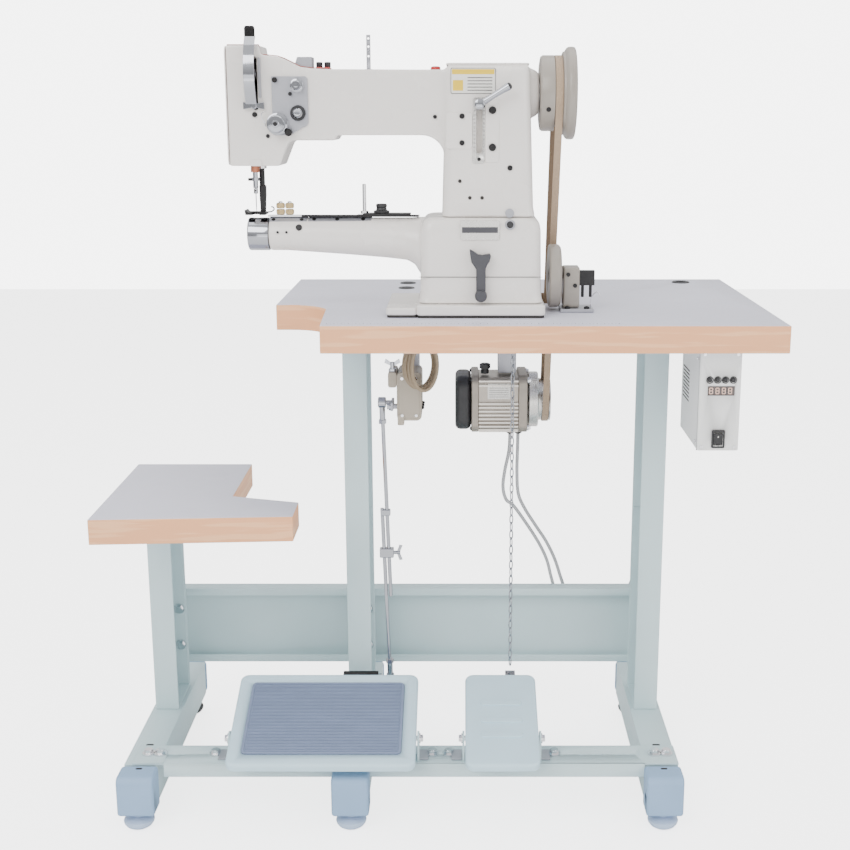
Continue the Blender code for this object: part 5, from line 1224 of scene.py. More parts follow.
def make_motor():
    left, right, y, z, half = 0.061, 0.151, 0.0825, UNDER - 0.136, 0.047

    def bells(bm):
        for x0, x1 in ((left, left + 0.012), (right - 0.015, right)):
            add_slab(bm, rounded((y - half, z - half), (y + half, z + half), 0.014, 7), x0, x1, "x")
    obj = shaped("motor_bells", bells, 0.0022, 3)

    def bore(bm):
        add_rod(bm, (right - 0.03, y, z), (right + 0.01, y, z), 0.0068)
    placed(carve(obj, bore), "motor_cast", "stand", "motor_body")

    def core(bm):
        inner = half - 0.0045
        add_slab(bm, rounded((y - inner, z - inner), (y + inner, z + inner), 0.011, 6), left + 0.0118,
            right - 0.0148, "x")
    placed(carve(shaped("motor_core", core, 0.0004, 1), bore), "motor_smooth", "stand")
    pitch = setting("drive_settings").fin_pitch
    span = right - left - 0.027
    centre = (left + right - 0.003) / 2
    bars("motor_front_fins", 7, (centre, y - half + 0.0022, z - half + 0.0115), (0, 0, pitch),
        (span, 0.005, 0.0026), "fin_bright", "stand")
    bars("motor_top_fins", 2, (centre, y - half + 0.0026, z + half - 0.016), (0, 0, pitch * 1.15),
        (span, 0.0042, 0.0026), "fin_bright", "stand")
    bars("motor_rear_fins", 12, (centre, y + half - 0.0022, z - half + 0.0115), (0, 0, pitch),
        (span, 0.005, 0.0026), "fin_bright", "stand")
    bars("motor_under_fins", 12, (centre, y - half + 0.0125, z - half + 0.0022), (0, pitch, 0),
        (span, 0.0026, 0.005), "fin_bright", "stand")

    def plate(bm):
        front = y - half + 0.0036
        add_slab(bm, rounded((0.087, 0.603), (0.123, 0.628), 0.0016, 3), front - 0.0006, front + 0.0012, "y")
    piece("motor_plate", plate, "name_silver", "stand")
    bars("motor_plate_lines", 6, (0.105, y - half + 0.0029, 0.6065), (0, 0, 0.0036),
        (0.031, 0.0003, 0.0006), "label_ink", "stand")

    def cover(bm):
        r = half - 0.003
        add_slab(bm, rounded((y - r, z - r), (y + r, z + r), 0.018, 8), left - 0.026, left - 0.0003, "x")
    piece("motor_cap", cover, "black_moulded", "stand", "motor_end_cover", ease=0.0085, segments=5)
    screws("motor_cap_screws", [((left - 0.0005, y + u, z + v), -X) for u in (-0.04, 0.04) for v in (-0.04,
        0.04)], "stand", radius=0.003)
    bolts("motor_face_bolts",
        [((right + 0.001, y + u, z + v), X) for u in (-0.0385, 0.0385) for v in (-0.0385, 0.0385)], "stand",
        across=0.007, height=0.004, washer=0.005)
    eased_node("motor_mount", "motor_bracket", "plate_satin", "stand", 0.001)

    def gland(bm):
        foot = Vector((left + 0.022, y - 0.012, z + half - 0.002))
        add_rod(bm, foot, foot + Vector((0, 0, 0.01)), 0.0065, 32, 0.0005)
        add_turned(bm, mm((0, 0), (8.8, 0), (8.8, 7), (7, 8.5), (0, 8.5)), foot + Vector((0, 0, 0.008)), Z,
            6)
        for x in (0.125, 0.138):
            add_turned(bm, mm((3.1, 0), (6.2, 0), (6.2, 10), (3.1, 12)), (x, y, z - half + 0.0008), -Z, 24)
    piece("motor_glands", gland, "black_moulded", "stand")
    bolts("mount_bolts", [((x, 0.04 + 0.0, UNDER - 0.0085), -Z) for x in (0.07, 0.085, 0.115, 0.13)],
        "stand", across=0.01, height=0.008, washer=0.0075)
    bolts("mount_bolts_rear", [((x, 0.104, UNDER - 0.0085), -Z) for x in (0.07, 0.138)], "stand",
        across=0.01, height=0.008, washer=0.0075)
    make_pulley(right, y, z)


def make_pulley(right, y, z):
    start = right - 0.026
    face = 0.028
    g0, g1 = 0.175 - start, 0.186 - start
    profile = [(0, 0), (0.006, 0), (0.006, face), (0.0435, face), (0.045, face + 0.0015),
        (0.045, face + 0.0145), (0.0435, face + 0.016), (0.0345, face + 0.0165), (0.0337, g0 - 0.0004),
        (0.0297, g0), (0.0297, g1), (0.034, g1 + 0.0004), (0.0347, g1 + 0.003), (0.012, g1 + 0.003),
        (0.011, g1 + 0.0005), (0, g1 + 0.0005)]

    piece("turned_pulley", made_of(add_turned, profile, (start, y, z), X,
        setting("drive_settings").wheel_sides), "flange_turned", "motor_rotor", "motor_pulley")


# ---------------------------------------------------------------- control box

def make_control_box():
    low, high = Vector((0.376, -0.2275, UNDER - 0.144)), Vector((0.434, -0.0795, UNDER - 0.0003))
    buttons = (0.3902, 0.401, 0.4118, 0.4226)
    button_z, rocker_x, rocker_z = UNDER - 0.0424, 0.405, UNDER - 0.1267

    obj = shaped("box_case", made_of(add_box, low, high), 0.0024, 3)

    def wells(bm):
        for x in buttons:
            add_rod(bm, (x, low.y - 0.01, button_z), (x, low.y + 0.007, button_z), 0.0036, 24)
        add_box(bm, (rocker_x - 0.0068, low.y - 0.01, rocker_z - 0.0105), (rocker_x + 0.0068, low.y + 0.014,
            rocker_z + 0.0105))
        add_box(bm, (0.3875, low.y - 0.01, 0.6652), (0.4255, low.y + 0.0012, 0.679))
    placed(carve(obj, wells), "panel_powder", "stand", "control_box")

    def rims(bm):
        for x in buttons:
            add_turned(bm, mm((3.8, 0), (5.2, 0), (5.2, 0.8), (4.6, 1.2), (3.8, 1.2)),
                (x, low.y + 0.0002, button_z), -Y, 32)
        outer = rounded((rocker_x - 0.0092, rocker_z - 0.013), (rocker_x + 0.0092, rocker_z + 0.013),
            0.0018, 4)
        inner = rounded((rocker_x - 0.0069, rocker_z - 0.0106), (rocker_x + 0.0069, rocker_z + 0.0106),
            0.0006, 4)
        rings = [[bm.verts.new((u, depth, v)) for u, v in line] for line, depth in ((outer, low.y + 0.0002),
            (outer, low.y - 0.0014), (inner, low.y - 0.0014), (inner, low.y + 0.0002))]
        add_skin(bm, rings + rings[:1])
    piece("box_rims", rims, "black_moulded", "stand")

    piece("box_display", made_of(add_box, (0.3878, low.y + 0.0002, 0.6655),
        (0.4252, low.y + 0.0011, 0.6787)), "display_glass", "stand")

    def digits(bm):
        for k in range(4):
            x = 0.3925 + 0.0088 * k
            for dx, dz, wide, tall in ((0, 0.004, 0.004, 0.0008), (0, 0, 0.004, 0.0008),
                    (0, -0.004, 0.004, 0.0008), (-0.0022, 0.002, 0.0008, 0.0032),
                    (0.0022, 0.002, 0.0008, 0.0032), (-0.0022, -0.002, 0.0008, 0.0032),
                    (0.0022, -0.002, 0.0008, 0.0032)):
                cx, cz = x + dx, 0.6721 + dz
                add_box(bm, (cx - wide / 2, low.y, cz - tall / 2), (cx + wide / 2, low.y + 0.0004,
                    cz + tall / 2))
    piece("box_digits", digits, "display_lit", "stand")
    screws("box_screws",
        [((x, low.y - 0.0008, z), -Y) for x in (low.x + 0.006, high.x - 0.006) for z in (low.z + 0.006,
        high.z - 0.006)], "stand", "bright_steel", 0.0022, 0.0014)
    screws("box_side_screws", [((low.x - 0.0008, low.y + 0.012, z), -X) for z in (low.z + 0.012,
        high.z - 0.014)], "stand", "bright_steel", 0.0024)
    # Painted shade: dark bars on the box's side stand for the shaded inside of its vent slots.
    bars("box_vent_painted_shade", 9, (low.x + 0.0001, -0.12, 0.64), (0, 0, 0.0055), (0.0006, 0.052, 0.0022), "dark_gap",
        "stand")

    def seam(bm):
        add_box(bm, (low.x - 0.0002, low.y + 0.0052, low.z - 0.0002), (low.x + 0.001, low.y + 0.0058,
            high.z - 0.003))
        add_box(bm, (low.x - 0.0002, low.y + 0.0052, low.z - 0.0002), (high.x + 0.0002, low.y + 0.0058,
            low.z + 0.001))
        add_box(bm, (high.x - 0.001, low.y + 0.0052, low.z - 0.0002), (high.x + 0.0002, low.y + 0.0058,
            high.z - 0.003))
    piece("box_seam", seam, "dark_gap", "stand")
    for number, x in enumerate(buttons, 1):
        def cap(bm, x=x):
            add_turned(bm, mm((0, 0), (3, 0), (3, 5.2), (2.6, 6), (0, 6.2)), (x, low.y + 0.0045, button_z),
                -Y, 28)
        piece(f"button_cap_{number}", cap, "black_moulded", f"button_{number}", f"panel_button_{number}")
    eased_node("rocker_cap", "rocker_switch", "black_moulded", "rocker", 0.0005)

    piece("rocker_mark", made_of(add_box, (rocker_x - 0.0006, low.y - 0.0019, rocker_z + 0.0022),
        (rocker_x + 0.0006, low.y - 0.0013, rocker_z + 0.0052)), "label_white", "rocker")


# ---------------------------------------------------------------- castings

def blended(name, build, finish, node, ease, carvings):
    """A casting: rough solids melted into one, softened, then cut with the frame's own bores."""
    given = setting("head_settings")
    obj = shaped(name, build, ease, 3)
    melt = obj.modifiers.new("melt", "REMESH")
    melt.mode = "VOXEL"
    melt.voxel_size = given.grain
    soften = obj.modifiers.new("soften", "SMOOTH")
    soften.factor = 0.5
    soften.iterations = given.soften
    obj = settled(obj)
    for cut in carvings:
        obj = carve(obj, cut)
    obj.data.shade_smooth()
    obj.data.set_sharp_from_angle(angle=math.radians(40))
    obj = placed(obj, finish, "stand", node)
    return obj


def head_box(bm, low, high):
    add_box(bm, at(*low), at(*high))


def head_slab(bm, outline, low, high):
    """An outline of the head's front view, carried from low to high in Y."""
    add_slab(bm, [(HEAD.x + u, TOP + v) for u, v in outline], HEAD.y + low, HEAD.y + high, "y")


def add_rings(bm, rings):
    """A solid skin through closed rings of points."""
    made = [[bm.verts.new(point) for point in ring] for ring in rings]
    add_skin(bm, made)
    bm.faces.new(made[0][::-1])
    bm.faces.new(made[-1])


def oval(x, low, high, half_width, sides=48):
    middle, half = (low + high) / 2, (high - low) / 2
    return [at(x, half_width * math.cos(a),
        middle + half * math.sin(a)) for a in [2 * math.pi * (i + 0.5) / sides for i in range(sides)]]


CYLINDER_TOP = 0.134
CYLINDER_RADIUS = 0.0235
CYLINDER_AXIS = CYLINDER_TOP - CYLINDER_RADIUS
PLATE_SEAT = CYLINDER_TOP + 0.0011 + 0.0003
SHAFT_HEIGHT = 0.307
ARM_HALF = 0.04
DIAL_X, DIAL_Z = -0.2817, 0.2654
NEEDLE_X, NEEDLE_Y = -0.321, -0.004
PRESSER_X, PRESSER_Y = -0.3135, 0.01


def make_bed():
    def plinth(bm):
        add_slab(bm, rounded((HEAD.x - 0.0905, HEAD.y - 0.083), (HEAD.x + 0.0905, HEAD.y + 0.083), 0.007,
            5), TOP + 0.0035, TOP + 0.018, "z")
        add_slab(bm, rounded((HEAD.x - 0.1335, HEAD.y - 0.079), (HEAD.x - 0.09, HEAD.y + 0.083), 0.005, 5),
            TOP + 0.0035, TOP + 0.014, "z")
    piece("plinth_plate", plinth, "enamel_gloss", "stand", "bed_plinth", ease=0.0026, segments=3)

    def gasket(bm):
        add_slab(bm, rounded((HEAD.x - 0.089, HEAD.y - 0.0815), (HEAD.x + 0.089, HEAD.y + 0.0815), 0.006,
            5), TOP + 0.0003, TOP + 0.0036, "z")
        add_slab(bm, rounded((HEAD.x - 0.132, HEAD.y - 0.0775), (HEAD.x - 0.0895, HEAD.y + 0.0815), 0.004,
            5), TOP + 0.0003, TOP + 0.0036, "z")
    piece("plinth_gasket", gasket, "dark_gap", "stand")
    left = -0.3335 + 0.03 + 0.0003
    low_line = CYLINDER_TOP - 2 * CYLINDER_RADIUS
    half_x = 0.0855

    def solids(bm):
        profile = []
        for z, grow in ((0.0183, 0.0035), (0.024, 0.0012), (0.034, 0.0), (0.12, -0.0012), (0.13, -0.003),
                (0.135, -0.007), (0.1378, -0.013)):
            ring = rounded((HEAD.x - half_x - grow, HEAD.y - 0.065 - grow),
                (HEAD.x + half_x + grow, HEAD.y + 0.065 + grow), 0.015, 8)
            profile.append([Vector((u, v, TOP + z)) for u, v in ring])
        add_rings(bm, profile)
        sections = [(left, low_line, 0.134, 0.0235), (left + 0.0252, low_line, 0.134, 0.0243),
            (left + 0.07, low_line - 0.003, 0.134, 0.0258), (left + 0.1132, low_line - 0.006, 0.134,
            0.0275), (-half_x - 0.05, low_line - 0.0105, 0.134, 0.03), (-half_x - 0.02, low_line - 0.014,
            0.134, 0.0325), (-half_x - 0.009, low_line - 0.02, 0.1342, 0.0352),
            (-half_x - 0.002, low_line - 0.032, 0.1348, 0.0385), (-half_x + 0.012, low_line - 0.042, 0.135,
            0.042)]
        add_rings(bm, [oval(*section) for section in sections])

    def flat_end(bm):
        head_box(bm, (left - 0.02, -0.06, 0.05), (left, 0.06, 0.16))

    def hook_room(bm):
        axis = CYLINDER_AXIS
        add_rod(bm, at(left - 0.01, 0, axis), at(left + 0.016, 0, axis), 0.0196, 40)

    def hook_bore(bm):
        axis = CYLINDER_AXIS
        add_rod(bm, at(left, 0, axis), at(-half_x + 0.03, 0, axis), 0.0066, 24)
    blended("bed_body", solids, "enamel_gloss", "bed_casting", 0.0, (flat_end, hook_room, hook_bore))
    make_bed_details()


def make_bed_details():
    radius, axis = CYLINDER_RADIUS, CYLINDER_AXIS

    obj = shaped("end_cup", made_of(add_turned, [(0, 0.0), (radius - 0.003, 0.0), (radius - 0.0008, 0.0009),
        (radius, 0.003), (radius, 0.0295), (radius - 0.0006, 0.03), (radius - 0.0025, 0.03),
        (radius - 0.0025, 0.0025), (0, 0.0025)], at(-0.3335, 0, axis), X, 96))

    placed(carve(obj, made_of(head_box, (-0.326, -0.01, 0.122), (-0.316, 0.006, 0.144))), "chrome", "stand",
        "hook_cap")

    # Painted shade: a thin dark sheet on the cup's end stands for the shaded inside of its window, which is
    # not cut.
    piece("cup_window_painted_shade", made_of(add_slab, rounded((HEAD.y - 0.0075, TOP + axis - 0.004),
        (HEAD.y + 0.0075, TOP + axis + 0.004), 0.003, 4), HEAD.x - 0.3338, HEAD.x - 0.3326, "x"),
        "black_oxide", "stand")

    def plate(bm):
        for x0, x1, lift in ((-0.302, -0.248, 0.0006), (-0.2465, -0.156, 0.0003)):
            outline = [(HEAD.y + u, TOP + v) for u, v in arc((0, axis), radius + 0.0006 + lift, 52, 128, 10)]
            outline += [(HEAD.y + u, TOP + v) for u, v in arc((0, axis), radius - 0.0012, 128, 52, 10)]
            add_slab(bm, outline, HEAD.x + x0, HEAD.x + x1, "x")
    piece("arm_plates", plate, "plate_satin", "stand", ease=0.0003, segments=1)
    marks = []
    for x, angle in ((-0.296, 60), (-0.256, 60), (-0.238, 62), (-0.205, 62), (-0.168, 62)):
        way = Vector((0, -math.cos(math.radians(angle)), math.sin(math.radians(angle))))
        marks.append((at(x, 0, axis) + way * (radius + 0.0013), way))
    screws("plate_screws", marks, "stand", "black_oxide", 0.0028, 0.0012)
    side = [(at(x, 0, axis) + Vector((0, -0.985, 0.17)) * r, Vector((0, -0.985, 0.17))) for x,
        r in ((-0.2891, 0.0249), (-0.2765, 0.025))]
    screws("arm_side_screws", side, "stand", "black_oxide", 0.0018, 0.002)
    lean = Vector((0, -0.9, 0.436))
    screws("arm_large_screw", [(at(-0.2588, 0, axis) + lean * 0.0249, lean)], "stand", "black_oxide",
        0.0046, 0.0022)

    piece("pedestal_seam", made_of(head_box, (-0.0865, -0.0658, 0.0555), (0.0865, -0.0644, 0.0562)),
        "dark_gap", "stand")

    piece("maker_plate",
        made_of(add_slab, rounded((HEAD.x - 0.029, TOP + 0.1076), (HEAD.x + 0.026, TOP + 0.1348), 0.002, 3),
        HEAD.y - 0.0662, HEAD.y - 0.0635, "y"), "name_silver", "stand", ease=0.0003, segments=1)
    bars("maker_lines", 1, at(-0.0015, -0.0664, 0.1216), (0, 0, 0.006), (0.05, 0.0004, 0.008), "lever_grey",
        "stand")

    piece("oil_plug", made_of(add_turned, mm((0, 0), (4.7, 0), (4.7, 5.2), (3.8, 6), (0, 6)),
        at(0.0405, -0.063, 0.129), -Y, 40), "black_moulded", "stand")

    piece("oil_plug_ring", made_of(add_turned, mm((5, 0), (7.2, 0), (7.2, 3.4), (6.4, 4.2), (5, 4.2),
        (5, 0)), at(0.0405, -0.063, 0.129), -Y, 40), "plate_satin", "stand")
    screws("foot_boss_screw", [(at(0.0401, -0.0545, 0.144), -Y)], "stand", "plate_satin", 0.0062, 0.003)


def make_arm():
    half = ARM_HALF

    def outline():
        left, right, neck = -0.0505, 0.0655, 0.028
        shape = mm((-350.8, 208), (-281, 208), (-268.5, 238.5), (-265, 242.5), (-259, 242.9),
            (-202.5, 242.9), (-200.8, 249.8), (-190, 250), (-130, 250))
        shape += arc((left - neck - 0.004, 0.25 - neck - 0.004), neck + 0.004, 90, 0, 10)
        shape += [(left, 0.15), (right, 0.15), (right, 0.3455), (left + 0.006, 0.3455), (left, 0.3385)]
        shape += mm((-90, 338.5), (-206, 339), (-233, 340), (-249, 342), (-261.2, 348), (-270, 352.5),
            (-280, 355.8), (-292, 357), (-301, 358), (-303.5, 361), (-304.5, 371), (-350.8, 371))
        return shape

    def solids(bm):
        head_slab(bm, outline(), -half, half)
        levels = []
        for z, low, high, deep in ((0.1385, -0.0552, 0.0765, 0.002), (0.15, -0.0542, 0.0738, 0.001),
                (0.18, -0.0535, 0.0727, 0.0), (0.25, -0.0515, 0.0702, 0.0),
                (0.335, -0.0496, 0.0672, -0.0004), (0.34, -0.0475, 0.065, -0.003),
                (0.3425, -0.043, 0.06, -0.008)):
            ring = rounded((HEAD.x + low, HEAD.y - 0.052 - deep), (HEAD.x + high, HEAD.y + 0.052 + deep),
                0.014, 8)
            levels.append([Vector((u, v, TOP + z)) for u, v in ring])
        add_rings(bm, levels)
        add_turned(bm, mm((0, 0), (37, 0), (35, 6), (32.5, 12), (30, 16.5), (27, 18.5), (0, 18.5)),
            at(0.0625, 0, SHAFT_HEIGHT), X, 64)

    def side_trim(bm):
        head_box(bm, (-0.372, -0.06, 0.19), (-0.3508, 0.06, 0.39))

    def cavity(bm):
        head_box(bm, (-0.3695, -0.03, 0.22), (-0.304, 0.03, 0.354))

    def main_bore(bm):
        add_rod(bm, at(-0.314, 0, SHAFT_HEIGHT), at(0.0915, 0, SHAFT_HEIGHT), 0.0066, 24)

    def bar_bores(bm):
        add_rod(bm, at(NEEDLE_X, NEEDLE_Y, 0.2), at(NEEDLE_X, NEEDLE_Y, 0.23), 0.0042, 24)

    def presser_bore(bm):
        add_rod(bm, at(PRESSER_X, PRESSER_Y, 0.2), at(PRESSER_X, PRESSER_Y, 0.23), 0.0046, 24)

    blended("arm_body", solids, "enamel_gloss", "arm_casting", 0.0065, (side_trim, cavity, main_bore,
        bar_bores, presser_bore, made_of(head_slab, rounded((-0.3148, 0.284), (-0.3082, 0.356), 0.0032, 5),
        -half - 0.01, -0.025), made_of(head_slab, rounded((-0.0065, 0.226), (0.0015, 0.298), 0.0038, 5),
        -0.062, -0.038)))
    make_arm_details(half)


def make_arm_details(half):
    piece("side_cover", made_of(add_slab, rounded((HEAD.y - half, TOP + 0.209), (HEAD.y + half, TOP + 0.37),
        0.01, 6), HEAD.x - 0.353, HEAD.x - 0.3511, "x"), "enamel_gloss", "stand", "face_cover", ease=0.0006,
        segments=2)
    def gasket(bm):
        points = mm((-349, 371.4), (-305.2, 371.4), (-304.2, 361.8), (-301.2, 358.8), (-292, 357.8),
            (-280, 356.6), (-270, 353.3), (-261.2, 348.8), (-249, 342.8), (-233, 340.8), (-206, 339.8))
        for (u0, v0), (u1, v1) in zip(points, points[1:]):
            add_rod(bm, at(u0, -half + 0.0042, v0), at(u1, -half + 0.0042, v1), 0.0006, 8)
        add_rod(bm, at(-0.3502, -half + 0.003, 0.215), at(-0.3502, -half + 0.003, 0.366), 0.0006, 8)
    piece("red_gasket", gasket, "gasket_red", "stand")

    piece("top_lid", made_of(add_slab, rounded((HEAD.x - 0.0485, HEAD.y - 0.041),
        (HEAD.x + 0.0665, HEAD.y + 0.041), 0.01, 5), TOP + 0.344, TOP + 0.3474, "z"), "enamel_gloss",
        "stand", ease=0.0018, segments=3)

    piece("lid_gasket", made_of(add_slab, rounded((HEAD.x - 0.0475, HEAD.y - 0.04),
        (HEAD.x + 0.0655, HEAD.y + 0.04), 0.009, 5), TOP + 0.3424, TOP + 0.3441, "z"), "dark_gap", "stand")
    places = [(-0.0265, 0.276), (-0.0265, 0.24)]
    screws("pillar_screws", [(at(x, -0.0538, z), -Y) for x, z in places], "stand", "black_oxide", 0.0037,
        0.0022)
    screws("scale_side_screws", [(at(0.0155, -0.054, z), -Y) for z in (0.284, 0.234)], "stand",
        "black_oxide", 0.0052, 0.003)
    screws("oiler_screw", [(at(0.0401, -0.0526, 0.206), -Y)], "stand", "black_oxide", 0.0037, 0.0022)

    def pads(bm):
        head_slab(bm, rounded((-0.0484, 0.2317), (-0.0122, 0.281), 0.004, 4), -0.0532, -0.05)
        head_slab(bm, rounded((0.0056, 0.2133), (0.0248, 0.2998), 0.004, 4), -0.0535, -0.05)
    piece("pillar_pads", pads, "enamel_gloss", "stand", ease=0.0009, segments=3)

    # Painted shade: dark discs on the pillar stand for the shaded inside of its holes, which are not cut.
    def hole_shade_discs(bm):
        for x, z in ((-0.0155, 0.165), (0.0015, 0.165), (-0.0295, 0.188)):
            add_rod(bm, at(x, -0.053, z), at(x, -0.05, z), 0.0026, 20)
    piece("pillar_hole_painted_shade", hole_shade_discs, "dark_gap", "stand")
    spots = [(-0.296, 0.249), (-0.0639, 0.275)]
    screws("head_screws", [(at(x, -half - 0.0006, z), -Y) for x, z in spots], "stand", "black_oxide",
        0.0028, 0.002)

    piece("notice_plate",
        made_of(add_slab, rounded((HEAD.x - 0.0412, TOP + 0.3068), (HEAD.x + 0.0188, TOP + 0.3394), 0.0015,
        3), HEAD.y - 0.0526, HEAD.y - 0.0517, "y"), "label_white", "stand")

    piece("notice_border",
        made_of(add_slab, rounded((HEAD.x - 0.042, TOP + 0.306), (HEAD.x + 0.0196, TOP + 0.3402), 0.0018,
        3), HEAD.y - 0.0523, HEAD.y - 0.0514, "y"), "label_ink", "stand")

    def header(bm):
        front = HEAD.y - 0.0529
        add_box(bm, (HEAD.x - 0.0402, front, TOP + 0.3318), (HEAD.x + 0.0178, front + 0.0006, TOP + 0.3384))
        add_box(bm, (HEAD.x - 0.039, front, TOP + 0.31), (HEAD.x - 0.025, front + 0.0006, TOP + 0.324))
    piece("notice_colour", header, "label_yellow", "stand")
    bars("notice_lines", 5, at(-0.002, -0.0528, 0.3105), (0, 0, 0.0042), (0.034, 0.0004, 0.001),
        "label_ink", "stand")


# ---------------------------------------------------------------- needle, presser and thread parts

def make_bars():
    nx, ny, px, py = NEEDLE_X, NEEDLE_Y, PRESSER_X, PRESSER_Y

    def bar(bm):
        add_rod(bm, at(nx, ny, 0.176), at(nx, ny, 0.325), 0.0036, 32, 0.0005)
        add_rod(bm, at(nx, ny, 0.168), at(nx, ny, 0.178), 0.003, 24, 0.0004)
        tip = mm((0, 0), (0.3, 1.5), (0.6, 4), (0.8, 10), (0.8, 26), (1.1, 28), (1.1, 36), (0, 36))
        add_turned(bm, tip, at(nx, ny, 0.142), Z, 20)
        add_turned(bm, mm((3.6, 0), (5.8, 0), (5.8, 4.5), (3.6, 4.5)), at(nx, ny, 0.186), Z, 32)
    piece("needle_rod", bar, "chrome", "needle_bar", "needle_bar")

    def needle_screw(bm):
        add_rod(bm, at(nx - 0.003, ny, 0.188), at(nx - 0.0105, ny, 0.188), 0.0021, 20, 0.0003)
        add_rod(bm, at(nx, ny - 0.003, 0.173), at(nx, ny - 0.008, 0.173), 0.0014, 16, 0.0003)
    piece("needle_screw", needle_screw, "black_oxide", "needle_bar")

    def guide(bm):
        path = [at(nx, ny - 0.0036, 0.178), at(nx - 0.001, ny - 0.0075, 0.1765),
            at(nx + 0.002, ny - 0.0085, 0.1735), at(nx + 0.0022, ny - 0.006, 0.1725)]
        add_pipe(bm, smooth_route(path, 5), 0.0005, 8)
    piece("needle_thread_guide", guide, "bright_steel", "needle_bar")

    piece("needle_bush", made_of(add_turned, mm((4.4, 0), (5.8, 0), (6.2, 0.8), (6.2, 10), (4.4, 10)),
        at(nx, ny, 0.198), Z, 40), "copper_collar", "stand")

    piece("presser_bush", made_of(add_turned, mm((4.6, 0), (6.6, 0), (7, 0.6), (7, 5), (4.6, 5)),
        at(px, py, 0.2028), Z, 40), "bright_steel", "stand")
    sole = PLATE_SEAT + 0.0028

    piece("presser_rod", made_of(add_rod, at(px, py, sole + 0.034), at(px, py, 0.34), 0.004, 32, 0.0005),
        "black_oxide", "presser_bar", "presser_bar")

    def shank(bm):
        outline = mm((-3.4, 1), (3.4, 1), (4.2, 10), (4.6, 22), (5.2, 26), (5.2, 41), (-4, 41), (-4, 24),
            (-3.4, 12))
        add_slab(bm, [(HEAD.x + px + u, TOP + sole + v) for u, v in outline], HEAD.y + py - 0.0054,
            HEAD.y + py + 0.0054, "y")
    piece("foot_shank", shank, "black_oxide", "presser_bar", ease=0.0008, segments=2)

    def foot(bm):
        outline = mm((-15.8, 4.5), (-15, 0), (14, 0), (15, 2), (15, 3.6), (6, 4), (-12, 4), (-14.6, 7.2),
            (-16, 7.2))
        add_slab(bm, [(HEAD.x + nx + u, TOP + sole + v) for u, v in outline], HEAD.y - 0.0138,
            HEAD.y + 0.0138, "y")
    obj = shaped("foot_sole", foot, 0.0006, 2)

    placed(carve(obj, made_of(head_box, (nx - 0.005, -0.022, sole - 0.01),
        (nx + 0.005, 0.002, sole + 0.012))), "black_oxide", "presser_bar")

    def finger(bm):
        path = [at(px + 0.008, py - 0.002, sole + 0.003), at(px + 0.013, py - 0.004, sole + 0.004),
            at(px + 0.0165, py - 0.006, sole + 0.007), at(px + 0.0155, py - 0.006, sole + 0.01),
            at(px + 0.0125, py - 0.004, sole + 0.0105)]
        add_pipe(bm, smooth_route(path, 6), 0.001, 10)
    piece("foot_finger", finger, "black_oxide", "presser_bar")

    piece("bar_boss", made_of(head_slab, rounded((-0.3224, 0.208), (-0.3058, 0.2169), 0.0014, 3), -0.042,
        -0.038), "enamel_gloss", "stand", ease=0.0006, segments=2)

    piece("pressure_screw", made_of(add_turned, mm((0, 0), (9.5, 0), (9.5, 1.4), (5, 1.6), (5, 10),
        (7, 10.4), (7, 26.5), (5.8, 28), (0, 28)), at(px - 0.011 + 0.0, 0.01, 0.371), Z, 40), "black_oxide",
        "stand")
    knurl("pressure_knurl", at(px - 0.011, 0.01, 0.371 + 0.0185), Z, 0.007, 0.014, 36, "black_oxide",
        "stand", 0.0005)


